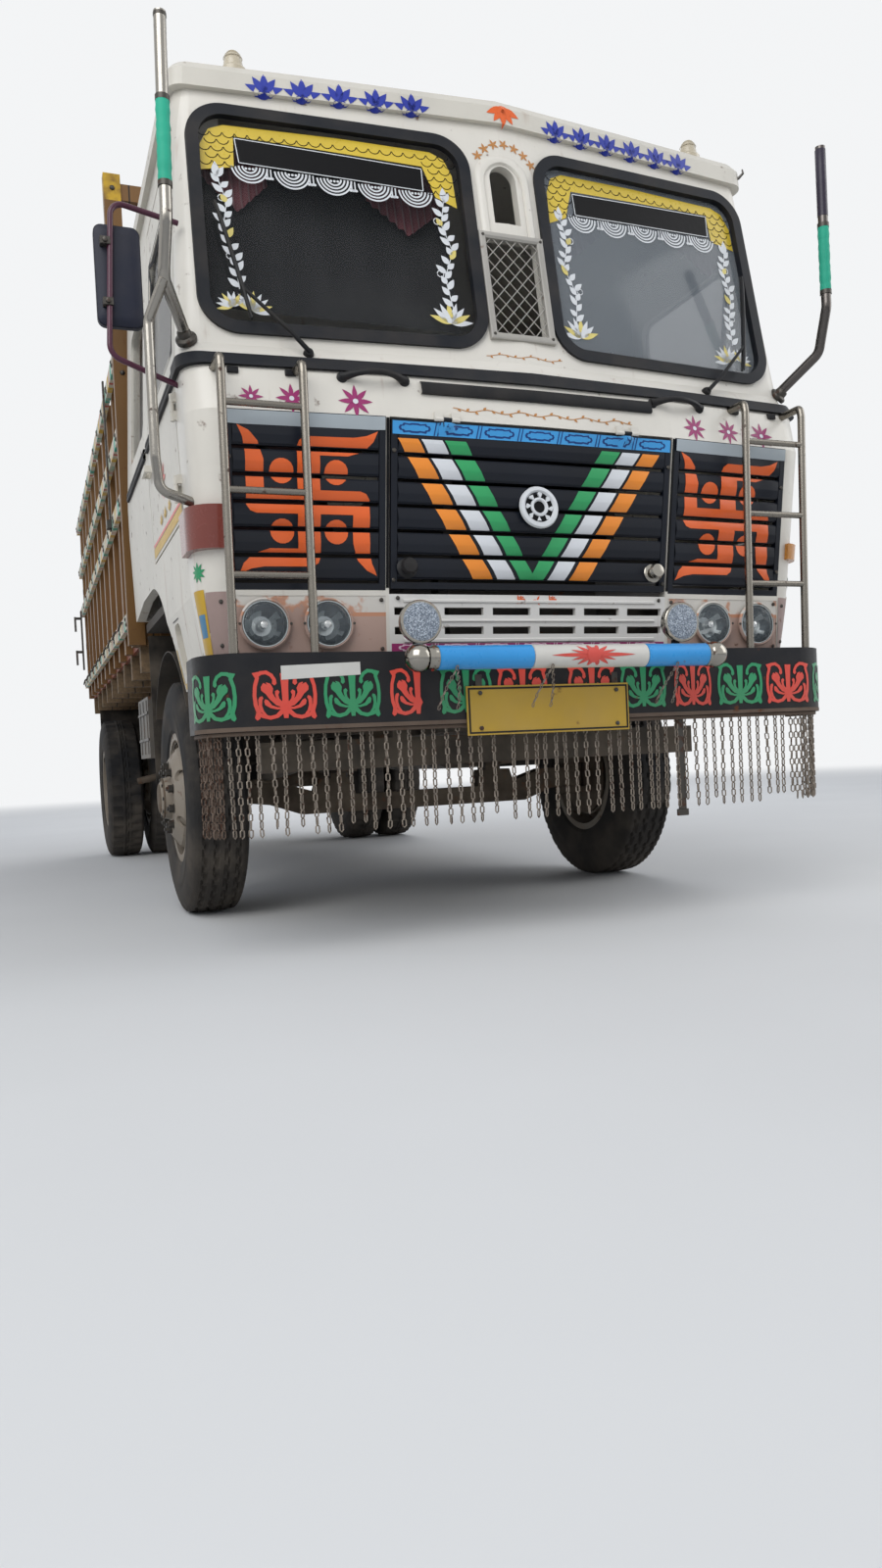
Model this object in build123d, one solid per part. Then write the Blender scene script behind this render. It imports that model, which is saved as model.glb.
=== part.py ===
from build123d import *
from math import cos, degrees, pi, radians, sin
import os

# A forward-control lorry with a hand-painted front, about 6.3 m long.
# Millimetres. X runs across the truck, Y from the front to the rear, Z up from the ground.
# All places below are measured from the truck's centre plane (x), the foot of the front
# grille (y) and the ground (z). place() moves them to the middle of the whole box.

os.makedirs("parts", exist_ok=True)

# Running gear
TYRE_RADIUS = 510
TYRE_WIDTH = 250
BEAD_RADIUS = 262
RIM_WALL = 9
FRONT_AXLE_Y = 1366
WHEELBASE = 3600
REAR_AXLE_Y = FRONT_AXLE_Y + WHEELBASE
FRONT_TRACK_HALF = 1008
REAR_OUTER_X = 1066
TWIN_SPACING = 300
REAR_INNER_X = REAR_OUTER_X - TWIN_SPACING
AXLE_Z = TYRE_RADIUS
BOSS_HEIGHT = 120
WHEEL_OFFSET = 140
HAND_HOLES = 6
REAR_MIDDLE_X = REAR_OUTER_X - TWIN_SPACING / 2
KINGPIN_X = 850
KINGPIN_RADIUS = 20
SPINDLE_RADIUS = 34
HUB_RADIUS = 95
DRUM_RADIUS = 205
RUN_GAP = 0.3

# Chassis
RAIL_OUTER_X = 425
RAIL_FLANGE = 70
RAIL_WALL = 8
RAIL_BOTTOM = 750
RAIL_TOP = 980
BODY_REAR_Y = 6040
RAIL_REAR_Y = 5940
CROSS_MEMBER_Y = (40, 2120, 3100, 4150, 5640)
CROSS_MEMBER_DEPTH = 60
CROSS_MEMBER_Z = (790, 940)
REAR_BAR_HALF = 1100
REAR_BAR_DEPTH = 60
REAR_BAR_Z = (820, 960)
JAW_Z = 890
JAW_GAP = 34
JAW_PLATE = 16
JAW_RADIUS = 26
TOW_PIN_RADIUS = 15
TOW_PIN_REACH = 36
ENGINE = ((-300, 300), (260, 1340), (724, 1560))
ENGINE_MOUNT_Y = (420, 1180)
RADIATOR = ((-300, 300), (100, 190), (800, 1480))
EXHAUST_RADIUS = 24
GEARBOX = ((-190, 190), (1340, 2080), (640, 930))
SHAFT_RADIUS = 52
AXLE_TUBE_RADIUS = 68
PINION_REACH = 260
REAR_SPINDLE_RADIUS = 45
BEAM_DEPTH = 90
SPRING_X = (355, 425)
SILENCER = (-620, 3500, 640)
SILENCER_RADIUS = 105
SILENCER_LENGTH = 900
EXHAUST_PIPE = ((-620, 3060, 640), (-620, 2950, 640), (-328, 2300, 690), (-328, 1300, 690))
TAIL_PIPE = ((-620, 3940, 640), (-620, 4150, 640), (-1000, 4300, 560))
TANK = ((480, 1120), (2320, 3320), (560, 960))
TANK_CORNER = 90
TANK_BRACKET_Y = (2480, 3160)
BATTERY_BOX = ((-1120, -480), (2300, 2780), (700, 1020))
BATTERY_ARM = ((-500, -RAIL_OUTER_X), (2400, 2680), (780, 960))
LEAF_THICK = 12
BACK_PLATE_RADIUS = 198

# Bumper, the chains under it and the tube in front of it
BUMPER_HALF = 1221
BUMPER_FRONT_Y = -130
BUMPER_CORNER = 170
BUMPER_END_Y = 150
BUMPER_BOTTOM = 742
BUMPER_TOP = 986
BUMPER_WALL = 6
BUMPER_FLANGE = 60
CHAIN_PITCH = 43
CHAIN_LENGTH = 352
CHAIN_INSET = 20
CHAIN_LINKS = 5
CHAIN_WIDE = 22
CHAIN_NARROW = 6
CHAIN_THICK = 8
CARRIER_DEPTH = 10
CARRIER_HEIGHT = 8
CRASH_BAR_Y = -263
CRASH_BAR_Z = 950
CRASH_BAR_RADIUS = 37
CRASH_BALL_X = 558
CRASH_BALL_RADIUS = 46
CRASH_ARM_X = 420
UNDERRUN_HALF = 930
UNDERRUN_Y = (430, 500)
UNDERRUN_Z = (604, 716)

# Cab
CAB_WALL = 40
CAB_REAR_Y = 1950
CAB_FRONT_SPLIT = 200
CAB_FLOOR_Z = 1300
CAB_FLOOR_THICK = 40
CAB_TOP_Z = 2930
CAB_SPLIT_TOP = 262
CAB_SIDE_X = 1000
COVER_HALF = 340
COVER_WALL = 30
COVER_REAR_Y = 1400
COVER_TOP = 1720
SEAT_X = ((-900, -420), (420, 900))
STEERING = (-650, 640, 1980)
DASH_X = (-1085, 1085)
DASH_Y = (190, 430)
DASH_Z = (1760, 1985)
DASH_SHELF = 30
ROOF_LAMP = (931, 284, 3026)
ROOF_LAMP_FOOT = 46
ROOF_LAMP_DOME = 32
ROOF_LAMP_HEIGHT = 78
SEAT_CUSHION_Y = (800, 1290)
SEAT_CUSHION_Z = (1400, 1560)
SEAT_BACK_Y = (1290.3, 1410)
SEAT_BACK_Z = (1560.3, 2160)
SEAT_CORNER = 40
BENCH_X = (-1080, 1080)
BENCH_FRONT_Y = 1500
BENCH_TOP = 1720
WHEEL_TILT = -28
WHEEL_RING = 220
WHEEL_GRIP = 13
COLUMN_REACH = 330
STEP_POCKET_Y = (560, 700)
STEP_POCKET_Z = (985, 1175)
STEP_POCKET_CORNER = 38
STEP_POCKET_DEPTH = 28
DOOR_FRONT_Y = 224
DOOR_REAR_Y = 1050
DOOR_BOTTOM = 1480
DOOR_TOP = 2800
DOOR_GAP = 9
DOOR_HINGE = (1212, 220)
DOOR_HINGE_Z = (1570, 1840)
DOOR_HINGE_LEAF_X = (1188, 1210)
DOOR_HINGE_LEAF = 38
HINGE_EYE = 8
HINGE_PIN = 4.5
HINGE_LENGTH = 90
WAIST_Z = 2010
WINDOW_BOTTOM = 2060
WINDOW_TOP = 2640
GLASS_THICK = 6
ARCH_RADIUS = 640
ARCH_FRONT = (780, 1090)
ARCH_SHOULDER = (950, 1300)
ARCH_TOP = (1230, 1400)
ARCH_REAR_TOP = (1560, 1400)
ARCH_REAR_Z = 1350
HANDLE_X = (1190, 1232)
HANDLE_Y = (915, 1025)
HANDLE_Z = (1812, 1838)
HANDLE_GRIP = 12

# Front face
FACE_Y = (-200, 150)
PANEL_JOINT_X = 550
GRILLE_TOP = 1760
GRILLE_BOTTOM = 1214
POST_WIDTH = 12
FLAP_GAP = 6
FLAP_HINGE = (-92, 1764)
FLAP_HINGE_X = (-350, 350)
FLAP_HINGE_LEAF_Y = (-93, -72)
FLAP_HINGE_LEAF_Z = 24
GRILLE_THICK = 24
GRILLE_FRAME = 22
GRILLE_OUTER_X = 1091
LOUVRE_GAP = 12
LOUVRE_DEPTH = (6, 18)
LOUVRES = 6
LAMP_RADIUS = 82
LAMP_X = (765, 978)
LAMP_Z = 1096
LAMP_HOLE = 70
LAMP_FACE_Y = 22
LAMP_FACE_SLOPE = 0.045
LAMP_BEZEL_DEPTH = 16
BOWL_DEPTH = 90
LAMP_PANEL_Z = (998, 1190)
LAMP_PANEL_DEPTH = (2, 10)
LOWER_GRILLE_TOP = 1196
LOWER_GRILLE_THICK = 20
SLOT_Z = (1060, 1126)
SLOT_HEIGHT = 26
SLOT_LENGTH = 148
SLOTS = 6
SPOT_X = 503
SPOT_Z = 1079
SPOT_RADIUS = 72
SPOT_Y = -161
STRIP_Z = (1916, 1964)
STRIP_PROUD = 16
LADDER_X = (848, 1108)
LADDER_Z = (BUMPER_TOP, 1940)
LADDER_RUNGS_Z = (1233, 1494, 1762)
LADDER_RADIUS = 14
LADDER_FOOT_Y = -92
LADDER_HEAD_Y = -118
LADDER_TOP_Y = (-25, -5)

# Windscreens: corners of one pane's opening, seen from the front (x, z)
SCREEN_CORNERS = ((150, 2070), (1110, 2070), (1098, 2862), (150, 2838))
SCREEN_CORNER_RADIUS = 110
GASKET_WIDTH = 42
GASKET_PROUD = 14
VENT_X = 104
VENT_Z = (2110, 2485)
VENT_TOP_Z = 2770

# Poles and mirror: the points of each bent tube on the +X side, or on the -X side for the rest
POLE_RADIUS = 19
GRAB_RADIUS = 16
POLE_PATH = ((1150, 130, 1995), (1256, -60, 2145), (1247, -122, 2300), (1235, -133, 2900))
GRAB_PATH = ((-1256, -62, 2140), (-1302, 0, 2030), (-1300, 20, 1620), (-1290, 40, 1520),
             (-1180, 70, 1490))
MIRROR_ARM_PATH = ((-1170, 160, 2425), (-1385, 105, 2440), (-1412, 105, 1955), (-1170, 150, 1880))
MIRROR_X = (-1443, -1295)
MIRROR_Z = (2052, 2378)
MIRROR_Y = (114.3, 150)
MIRROR_TUBE_RADIUS = 9

# Load body
BODY_HALF = 1221
BODY_FRONT_Y = 2105
BED_Z = 1300
BED_THICK = 40
LONG_BEARER = 150
CROSS_BEARERS = 9
BEARER_WIDTH = 70
FLAP_THICK = 8
FRONT_FLAP_Y = 2012
BOARDS = 4
SIDE_THICK = 60
BULKHEAD_PANEL_Y = BODY_FRONT_Y - 40
REAR_FLAP_BEARER = 7
SIDE_TOP = 2710
SIDE_BOARDS_TOP = 1948
RAIL_HEIGHTS = (1386, 1984, 2309, 2674)
SIDE_RAIL_HEIGHT = 72
UPRIGHT_WIDTH = 78
UPRIGHTS = 11
BULKHEAD_TOP = 3570
BULKHEAD_POST_X = 1140
BOARD_THICK = 18
BOARD_GAP = 8
SIDE_RAIL_DEPTH = 24
TAILGATE_TOP = 1990
TAILGATE_THICK = 45
GATE_RIB_X = (-1080, -560, -280, 280, 560, 1080)
GATE_RIB_WIDTH = 60
GATE_PANEL_DRAW = 12
LATCH_Y = 5970
LATCH_PIN_Z = (1650, 1930)
GATE_DEPTH = 50
BEARER_PITCH = (BODY_REAR_Y - GATE_DEPTH - BODY_FRONT_Y - BEARER_WIDTH) / (CROSS_BEARERS - 1)
GATE_AXIS_Y = BODY_REAR_Y + 10
GATE_AXIS_Z = BED_Z - 10
GATE_EYE = 14
GATE_PIN = 7
GATE_HINGE_X = (-850, 0, 850)
LATCH_REACH = 1285

# Middle of the whole box, from the grille's foot and the truck's centre plane
BOX_MID_X = (MIRROR_X[0] + LATCH_REACH) / 2
BOX_MID_Y = (CRASH_BAR_Y - CRASH_BALL_RADIUS + GATE_AXIS_Y + GATE_EYE) / 2

# Cab sections: height, y on the centre plane, y at the grille's panel joint,
# x and y where the corner starts, x of the side, y where the corner ends
CAB_SECTIONS = (
    (930, 35, 40, 1060, 60, 1140, 150),
    (1210, 10, 15, 1100, 42, 1185, 140),
    (1765, -88, -78, 1100, -42, 1200, 75),
    (1905, -62, -50, 1110, -5, 1200, 100),
    (2010, -10, 32, 1130, 78, 1195, 160),
    (2930, 150, 200, 1095, 255, 1148, 330),
)

# Roof sections: height, how far the outline is drawn in from the cab's top section
ROOF_SECTIONS = ((2930, -22), (2990, -20), (3020, 0), (3046, 60), (3066, 300))


def place(shape):
    """Moves a finished piece from the truck's own axes to the middle of its box."""
    return Pos(-BOX_MID_X, -BOX_MID_Y, 0) * shape


def save(node, shape):
    """Writes one node's solids."""
    moved = place(shape)
    export_step(moved, f"parts/{node}.step")


def block(x, y, z):
    """A box from its low and high x, y and z."""
    size = (x[1] - x[0], y[1] - y[0], z[1] - z[0])
    centre = Pos((x[0] + x[1]) / 2, (y[0] + y[1]) / 2, (z[0] + z[1]) / 2)
    return centre * Box(*size)


def both(shape):
    """A piece of the right-hand side with its mirror image."""
    return Compound([*shape.solids(), *mirror(shape, about=Plane.YZ).solids()])


def on_side(shape, side):
    """A piece drawn on the +X side, or its mirror image for side -1."""
    if side > 0:
        return shape
    return mirror(shape, about=Plane.YZ)


def side_slab(outline, x):
    """A slab of constant thickness across the truck, from an outline in y and z."""
    face = Plane.YZ.offset(x[0]) * make_face(outline)
    return extrude(face, amount=x[1] - x[0], dir=(1, 0, 0))


def front_slab(outline, y):
    """A slab of constant depth along the truck, from an outline in x and z."""
    plane = Plane(origin=(0, y[0], 0), x_dir=(1, 0, 0), z_dir=(0, -1, 0))
    face = plane * make_face(outline)
    return extrude(face, amount=y[1] - y[0], dir=(0, 1, 0))


def rod(start, end, radius):
    """A round bar between two points."""
    axis = Vector(*end) - Vector(*start)
    return extrude(Plane(origin=start, z_dir=axis) * Circle(radius), amount=axis.length)


def tube(points, radius, bend):
    """A bent tube through points, with every bend of one radius."""
    path = FilletPolyline(*points, radius=bend)
    return sweep(Plane(origin=path @ 0, z_dir=path % 0) * Circle(radius), path=path)


def turned(profile, centre):
    """A solid of revolution about a line across the truck, from points (x, radius)."""
    plane = Plane(origin=(0, 0, 0), x_dir=(1, 0, 0), z_dir=(0, -1, 0))
    solid = revolve(plane * make_face(Polyline(*profile, close=True)), axis=Axis.X)
    return Pos(*centre) * solid


# Cab shell

def cab_section(row, inset, z):
    """The cab's outline at one height, drawn in by inset, as a face."""
    _, centre_y, joint_y, corner_x, corner_y, side_x, side_y = row
    low = corner_y + inset
    side = side_x - inset
    start = corner_x - inset
    end = side_y + inset
    middle_x = (start + side) / 2
    middle_y = (low + end) / 2
    bulge = 0.414
    arc_x = middle_x + bulge * (side - middle_x)
    arc_y = middle_y + bulge * (low - middle_y)
    rear = CAB_REAR_Y - inset
    edges = [
        Line((-side, rear), (-side, end)),
        ThreePointArc((-side, end), (-arc_x, arc_y), (-start, low)),
        Line((-start, low), (-PANEL_JOINT_X, joint_y + inset)),
        Line((-PANEL_JOINT_X, joint_y + inset), (0, centre_y + inset)),
        Line((0, centre_y + inset), (PANEL_JOINT_X, joint_y + inset)),
        Line((PANEL_JOINT_X, joint_y + inset), (start, low)),
        ThreePointArc((start, low), (arc_x, arc_y), (side, end)),
        Line((side, end), (side, rear)),
        Line((side, rear), (-side, rear)),
    ]
    return Pos(0, 0, z) * make_face(edges)


def cab_solid(inset, margin):
    """The cab's whole form up to the roof seam, drawn in by inset."""
    faces = []
    for row in CAB_SECTIONS:
        z = row[0]
        if row is CAB_SECTIONS[0]:
            z -= margin
        if row is CAB_SECTIONS[-1]:
            z += margin
        faces.append(cab_section(row, inset, z))
    return loft(faces, ruled=True)


def arch_cut():
    """The wheel arch and the open space behind it, through both cab sides."""
    low = CAB_SECTIONS[0][0] - 20
    foot = (ARCH_FRONT[0] - 40, low)
    rear = CAB_REAR_Y + 20
    outline = [
        Line(foot, ARCH_FRONT),
        ThreePointArc(ARCH_FRONT, ARCH_SHOULDER, ARCH_TOP),
        Line(ARCH_TOP, ARCH_REAR_TOP),
        Line(ARCH_REAR_TOP, (rear, ARCH_REAR_Z)),
        Line((rear, ARCH_REAR_Z), (rear, low)),
        Line((rear, low), foot),
    ]
    return side_slab(outline, (-1300, 1300))


def step_pocket():
    """The blind step pocket in the cab's lower side, on the +X side."""
    (y0, y1), (z0, z1) = STEP_POCKET_Y, STEP_POCKET_Z
    outline = FilletPolyline((y0, z0), (y1, z0), (y1, z1), (y0, z1), radius=STEP_POCKET_CORNER, close=True)
    return side_slab(outline, (CAB_SIDE_X, 1300)) - cab_solid(STEP_POCKET_DEPTH, 1)


def screen_outline(grow):
    """One windscreen's rounded outline, in x and z."""
    (x0, z0), (x1, z1), (x2, z2), (x3, z3) = SCREEN_CORNERS
    points = ((x0 - grow, z0 - grow), (x1 + grow, z1 - grow),
              (x2 + grow, z2 + grow), (x3 - grow, z3 + grow))
    return FilletPolyline(*points, radius=SCREEN_CORNER_RADIUS + grow, close=True)


def vent_outline(grow):
    """The arch-topped vent in the middle pillar, in x and z."""
    half = VENT_X / 2 + grow
    low = VENT_Z[1] + 60 - grow
    spring = VENT_TOP_Z - VENT_X / 2
    return [
        Line((-half, low), (half, low)),
        Line((half, low), (half, spring)),
        ThreePointArc((half, spring), (0, spring + half), (-half, spring)),
        Line((-half, spring), (-half, low)),
    ]


def door_outline(grow):
    """The door's outline in y and z, drawn out by grow."""
    points = ((DOOR_FRONT_Y - grow, DOOR_BOTTOM - grow), (DOOR_REAR_Y + grow, DOOR_BOTTOM - grow),
              (DOOR_REAR_Y + grow, DOOR_TOP + grow), (DOOR_FRONT_Y + 70 - grow, DOOR_TOP + grow),
              (DOOR_FRONT_Y - grow, WAIST_Z))
    return Polyline(*points, close=True)


def window_outline(front, rear, lean):
    """A side window's rounded outline in y and z."""
    points = ((front, WINDOW_BOTTOM), (rear, WINDOW_BOTTOM), (rear, WINDOW_TOP), (front + lean, WINDOW_TOP))
    return FilletPolyline(*points, radius=50, close=True)


def hinge_eyes(places):
    """Round eyes along an upright axis, from (low, high) heights measured from the middle."""
    x, y = DOOR_HINGE
    return [Pos(x, y, (low + high) / 2) * Cylinder(HINGE_EYE, high - low) for low, high in places]


def door_hinges():
    """The cab's half of one door's hinges with their pins, and the door's half, on the +X side."""
    x, y = DOOR_HINGE
    third = HINGE_LENGTH / 6
    cab_half = []
    door_half = []
    for z in DOOR_HINGE_Z:
        cab_z = ((z - 3 * third, z - third - 0.5), (z + third + 0.5, z + 3 * third))
        door_z = ((z - third, z + third),)
        cab_half += hinge_eyes(cab_z)
        cab_half += [block(DOOR_HINGE_LEAF_X, (CAB_FRONT_SPLIT, y - 4), span) for span in cab_z]
        cab_half.append(Pos(x, y, z) * Cylinder(HINGE_PIN, HINGE_LENGTH))
        leaf = block(DOOR_HINGE_LEAF_X, (y + 4, y + DOOR_HINGE_LEAF), door_z[0])
        bore = Pos(x, y, z) * Cylinder(HINGE_PIN + RUN_GAP, HINGE_LENGTH)
        door_half.append(hinge_eyes(door_z)[0] + leaf - bore)
    return cab_half, door_half


def flap_hinges():
    """The cab's half of the centre grille's hinges with their pins, and the grille's half."""
    y, z = FLAP_HINGE
    sixth = HINGE_LENGTH / 6
    cab_half = []
    flap_half = []
    for x in FLAP_HINGE_X:
        for side in (-1, 1):
            middle = x + side * (2 * sixth + 0.25)
            width = 2 * sixth - 0.5
            cab_half.append(Pos(middle, y, z) * Rot(0, 90, 0) * Cylinder(HINGE_EYE - 1, width))
            span = (middle - width / 2, middle + width / 2)
            cab_half.append(block(span, FLAP_HINGE_LEAF_Y, (z + 5, z + FLAP_HINGE_LEAF_Z)))
        cab_half.append(Pos(x, y, z) * Rot(0, 90, 0) * Cylinder(HINGE_PIN - 1, HINGE_LENGTH))
        eye = Pos(x, y, z) * Rot(0, 90, 0) * Cylinder(HINGE_EYE - 1, 2 * sixth)
        eye += block((x - sixth, x + sixth), FLAP_HINGE_LEAF_Y, (z - FLAP_HINGE_LEAF_Z, z - 4))
        bore = Pos(x, y, z) * Rot(0, 90, 0) * Cylinder(HINGE_PIN - 1 + RUN_GAP, HINGE_LENGTH)
        flap_half.append(eye - bore)
    return cab_half, flap_half


OUTSIDE = cab_solid(0, 0)
INSIDE = cab_solid(CAB_WALL, 1)
SHELL = OUTSIDE - INSIDE
CLEAR = cab_solid(-RUN_GAP, 0)
ROOF_TOP = loft([cab_section(CAB_SECTIONS[-1], inset - RUN_GAP, z) for z, inset in ROOF_SECTIONS], ruled=True)
WIDE = (-1300, 1300)
DOOR_WINDOW = (DOOR_FRONT_Y + 70, DOOR_REAR_Y - 70, 70)
REAR_WINDOW = (1230, 1760, 0)
REAR_PANE_X = (-420, 420)
REAR_PANE_Z = (2150, 2550)
SIDE_PANEL_X = (PANEL_JOINT_X + POST_WIDTH, GRILLE_OUTER_X)
SIDE_GRILLE_Z = (GRILLE_BOTTOM - FLAP_GAP, GRILLE_TOP + FLAP_GAP)


def screen_slabs(grow, y):
    """Both windscreens' outlines as slabs along the truck."""
    right = front_slab(screen_outline(grow), y)
    return both(right)


def vent_slabs(grow, y):
    """The arched vent and the mesh window under it, in the middle pillar."""
    half = VENT_X + grow
    low = VENT_Z[0] - grow
    high = VENT_Z[1] + grow
    window = front_slab(Polyline((-half, low), (half, low), (half, high), (-half, high), close=True), y)
    return Compound([*window.solids(), *front_slab(vent_outline(grow), y).solids()])


def make_cab_shell():
    """Front, sides, rear wall, roof and floor of the cab."""
    depth = (-200, 480)
    front_zone = side_slab(Polyline((-300, 900), (CAB_FRONT_SPLIT, 900), (CAB_FRONT_SPLIT, WAIST_Z),
                                    (CAB_SPLIT_TOP, CAB_TOP_Z + 1), (-300, CAB_TOP_Z + 1), close=True), WIDE)
    front = SHELL & front_zone
    notch = RAIL_OUTER_X + 15
    front -= block((-notch, notch), (-200, CAB_FRONT_SPLIT), (900, RAIL_TOP + 5))
    deep = (-200, 150)
    front -= block((-PANEL_JOINT_X, PANEL_JOINT_X), deep, (LAMP_PANEL_Z[0], GRILLE_TOP + FLAP_GAP))
    front -= both(block(SIDE_PANEL_X, deep, SIDE_GRILLE_Z))
    front -= both(block(SIDE_PANEL_X, deep, LAMP_PANEL_Z))
    front -= screen_slabs(0, depth)
    front -= vent_slabs(0, depth)
    front += flap_hinges()[0]
    save("cab_front", front)

    sides = SHELL & block(WIDE, (0, CAB_REAR_Y - CAB_WALL), (900, CAB_TOP_Z))
    sides -= front_zone
    sides -= block((-CAB_SIDE_X, CAB_SIDE_X), (0, CAB_REAR_Y), (900, CAB_TOP_Z + 1))
    sides -= arch_cut()
    sides -= both(step_pocket())
    sides -= side_slab(door_outline(DOOR_GAP), WIDE)
    sides -= side_slab(window_outline(*REAR_WINDOW), WIDE)
    hinge_half = door_hinges()[0]
    sides += hinge_half
    sides += [mirror(piece, about=Plane.YZ) for piece in hinge_half]
    save("cab_sides", sides)

    rear = SHELL & block(WIDE, (CAB_REAR_Y - CAB_WALL, CAB_REAR_Y), (1360, CAB_TOP_Z))
    rear -= block(REAR_PANE_X, (CAB_REAR_Y - 100, CAB_REAR_Y + 10), REAR_PANE_Z)
    save("cab_rear", rear)
    return front


def make_roof():
    """The roof with its lip over the windscreens, drawn in towards its top."""
    sections = [cab_section(CAB_SECTIONS[-1], inset, z) for z, inset in ROOF_SECTIONS]
    save("cab_roof", loft(sections, ruled=True))


def make_floor():
    """The cab's floor with the hollow engine cover standing on it."""
    floor_z = (CAB_FLOOR_Z, CAB_FLOOR_Z + CAB_FLOOR_THICK)
    cover = block((-COVER_HALF, COVER_HALF), (-200, COVER_REAR_Y), (CAB_FLOOR_Z, COVER_TOP))
    inner = COVER_HALF - COVER_WALL
    hollow_z = (CAB_FLOOR_Z - 5, COVER_TOP - COVER_WALL)
    hollow = block((-inner, inner), (-200, COVER_REAR_Y - COVER_WALL), hollow_z)
    floor = INSIDE & (block(WIDE, (-200, CAB_REAR_Y), floor_z) + cover) - hollow
    save("cab_floor", floor)


def make_glass_and_rubber(front):
    """Windscreens, quarter panes, and the rubber round them and across the cab."""
    pane_out = cab_solid(12, 1)
    pane_in = cab_solid(12 + GLASS_THICK, 2)
    skin = pane_out - pane_in
    depth = (-200, 480)
    panes = skin & screen_slabs(-RUN_GAP, depth)
    quarter = skin & side_slab(window_outline(*REAR_WINDOW), WIDE)
    rear_pane = block(REAR_PANE_X, (CAB_REAR_Y - 24, CAB_REAR_Y - 24 + GLASS_THICK), REAR_PANE_Z)
    save("cab_glass", Compound([*panes.solids(), *quarter.solids(), *rear_pane.solids()]))

    proud = cab_solid(-GASKET_PROUD, 1)
    ring = screen_slabs(GASKET_WIDTH / 2, depth) - screen_slabs(-GASKET_WIDTH / 2, depth)
    gaskets = ((proud - pane_out) & ring) - front
    strip = (cab_solid(-STRIP_PROUD, 1) - OUTSIDE) & block(WIDE, (-200, CAB_FRONT_SPLIT), STRIP_Z)
    save("cab_rubber", Compound([*gaskets.solids(), *strip.solids()]))


def skin(depth):
    """The cab's outer layer between two depths below its surface."""
    return cab_solid(depth[0], 2) - cab_solid(depth[1], 3)


def louvre_panel(x, z):
    """A framed panel of flat louvres that follows the cab's face."""
    wide = block(x, FACE_Y, z)
    layer = skin((0, GRILLE_THICK))
    x_in = (x[0] + GRILLE_FRAME, x[1] - GRILLE_FRAME)
    z_in = (z[0] + GRILLE_FRAME, z[1] - GRILLE_FRAME)
    panel = (layer & wide) - block(x_in, FACE_Y, z_in)
    pitch = (z_in[1] - z_in[0] - LOUVRE_GAP) / LOUVRES
    bands = [
        block((x[0] + 5, x[1] - 5), FACE_Y, (z_in[0] + LOUVRE_GAP + i * pitch, z_in[0] + (i + 1) * pitch))
        for i in range(LOUVRES)
    ]
    return panel + (skin(LOUVRE_DEPTH) & Compound(bands))


def make_front_face():
    """Grilles, the lower slotted panel, lamp panels and lamps."""
    save("side_grilles", both(louvre_panel(SIDE_PANEL_X, SIDE_GRILLE_Z)))
    flap_x = PANEL_JOINT_X - FLAP_GAP
    flap = louvre_panel((-flap_x, flap_x), (GRILLE_BOTTOM, GRILLE_TOP))
    save("centre_grille", flap + flap_hinges()[1])

    lower_z = (LAMP_PANEL_Z[0], LOWER_GRILLE_TOP)
    lower = skin((0, LOWER_GRILLE_THICK)) & block((-PANEL_JOINT_X, PANEL_JOINT_X), FACE_Y, lower_z)
    pitch = 2 * PANEL_JOINT_X / SLOTS
    for z in SLOT_Z:
        for i in range(SLOTS):
            middle = -PANEL_JOINT_X + (i + 0.5) * pitch
            slot_x = (middle - SLOT_LENGTH / 2, middle + SLOT_LENGTH / 2)
            lower -= block(slot_x, FACE_Y, (z, z + SLOT_HEIGHT))
    save("lower_grille", lower)

    panel = skin(LAMP_PANEL_DEPTH) & block(SIDE_PANEL_X, FACE_Y, LAMP_PANEL_Z)
    for x in LAMP_X:
        panel -= Pos(x, 0, LAMP_Z) * Rot(90, 0, 0) * Cylinder(LAMP_HOLE, 400)
    save("lamp_panels", both(panel))

    lamps = []
    for x in LAMP_X:
        face = LAMP_FACE_Y + (x - LAMP_X[0]) * LAMP_FACE_SLOPE
        lamps.append(lamp(x, face, LAMP_Z, LAMP_RADIUS, LAMP_HOLE - RUN_GAP))
    lamps.append(spot_lamp())
    save("front_lamps", both(Compound(lamps)))


def lamp(x, y, z, radius, barrel):
    """A round lamp with its bezel in front of y and its barrel behind."""
    lens = LAMP_BEZEL_DEPTH + 10
    rim_x = radius - 14
    profile = [
        (0, -lens), (0, BOWL_DEPTH), (barrel * 0.5, BOWL_DEPTH), (barrel, 20), (barrel, 0), (radius, 0),
        (radius - 4, -LAMP_BEZEL_DEPTH), (rim_x, -LAMP_BEZEL_DEPTH),
        (rim_x * 0.72, -lens + 4.5), (rim_x * 0.36, -lens + 1),
    ]
    return Pos(x, y, z) * revolve(make_face(Polyline(*profile, close=True)), axis=Axis.Y)


def spot_lamp():
    """A round white spot lamp on a foot that stands on the bumper."""
    can = Pos(SPOT_X, SPOT_Y + 30, SPOT_Z) * Rot(90, 0, 0) * Cylinder(SPOT_RADIUS, 56)
    foot_y = (SPOT_Y + 40, SPOT_Y + 58)
    foot = block((SPOT_X - 14, SPOT_X + 14), foot_y, (BUMPER_TOP, SPOT_Z - SPOT_RADIUS + 12))
    return (can + foot).solid()


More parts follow.
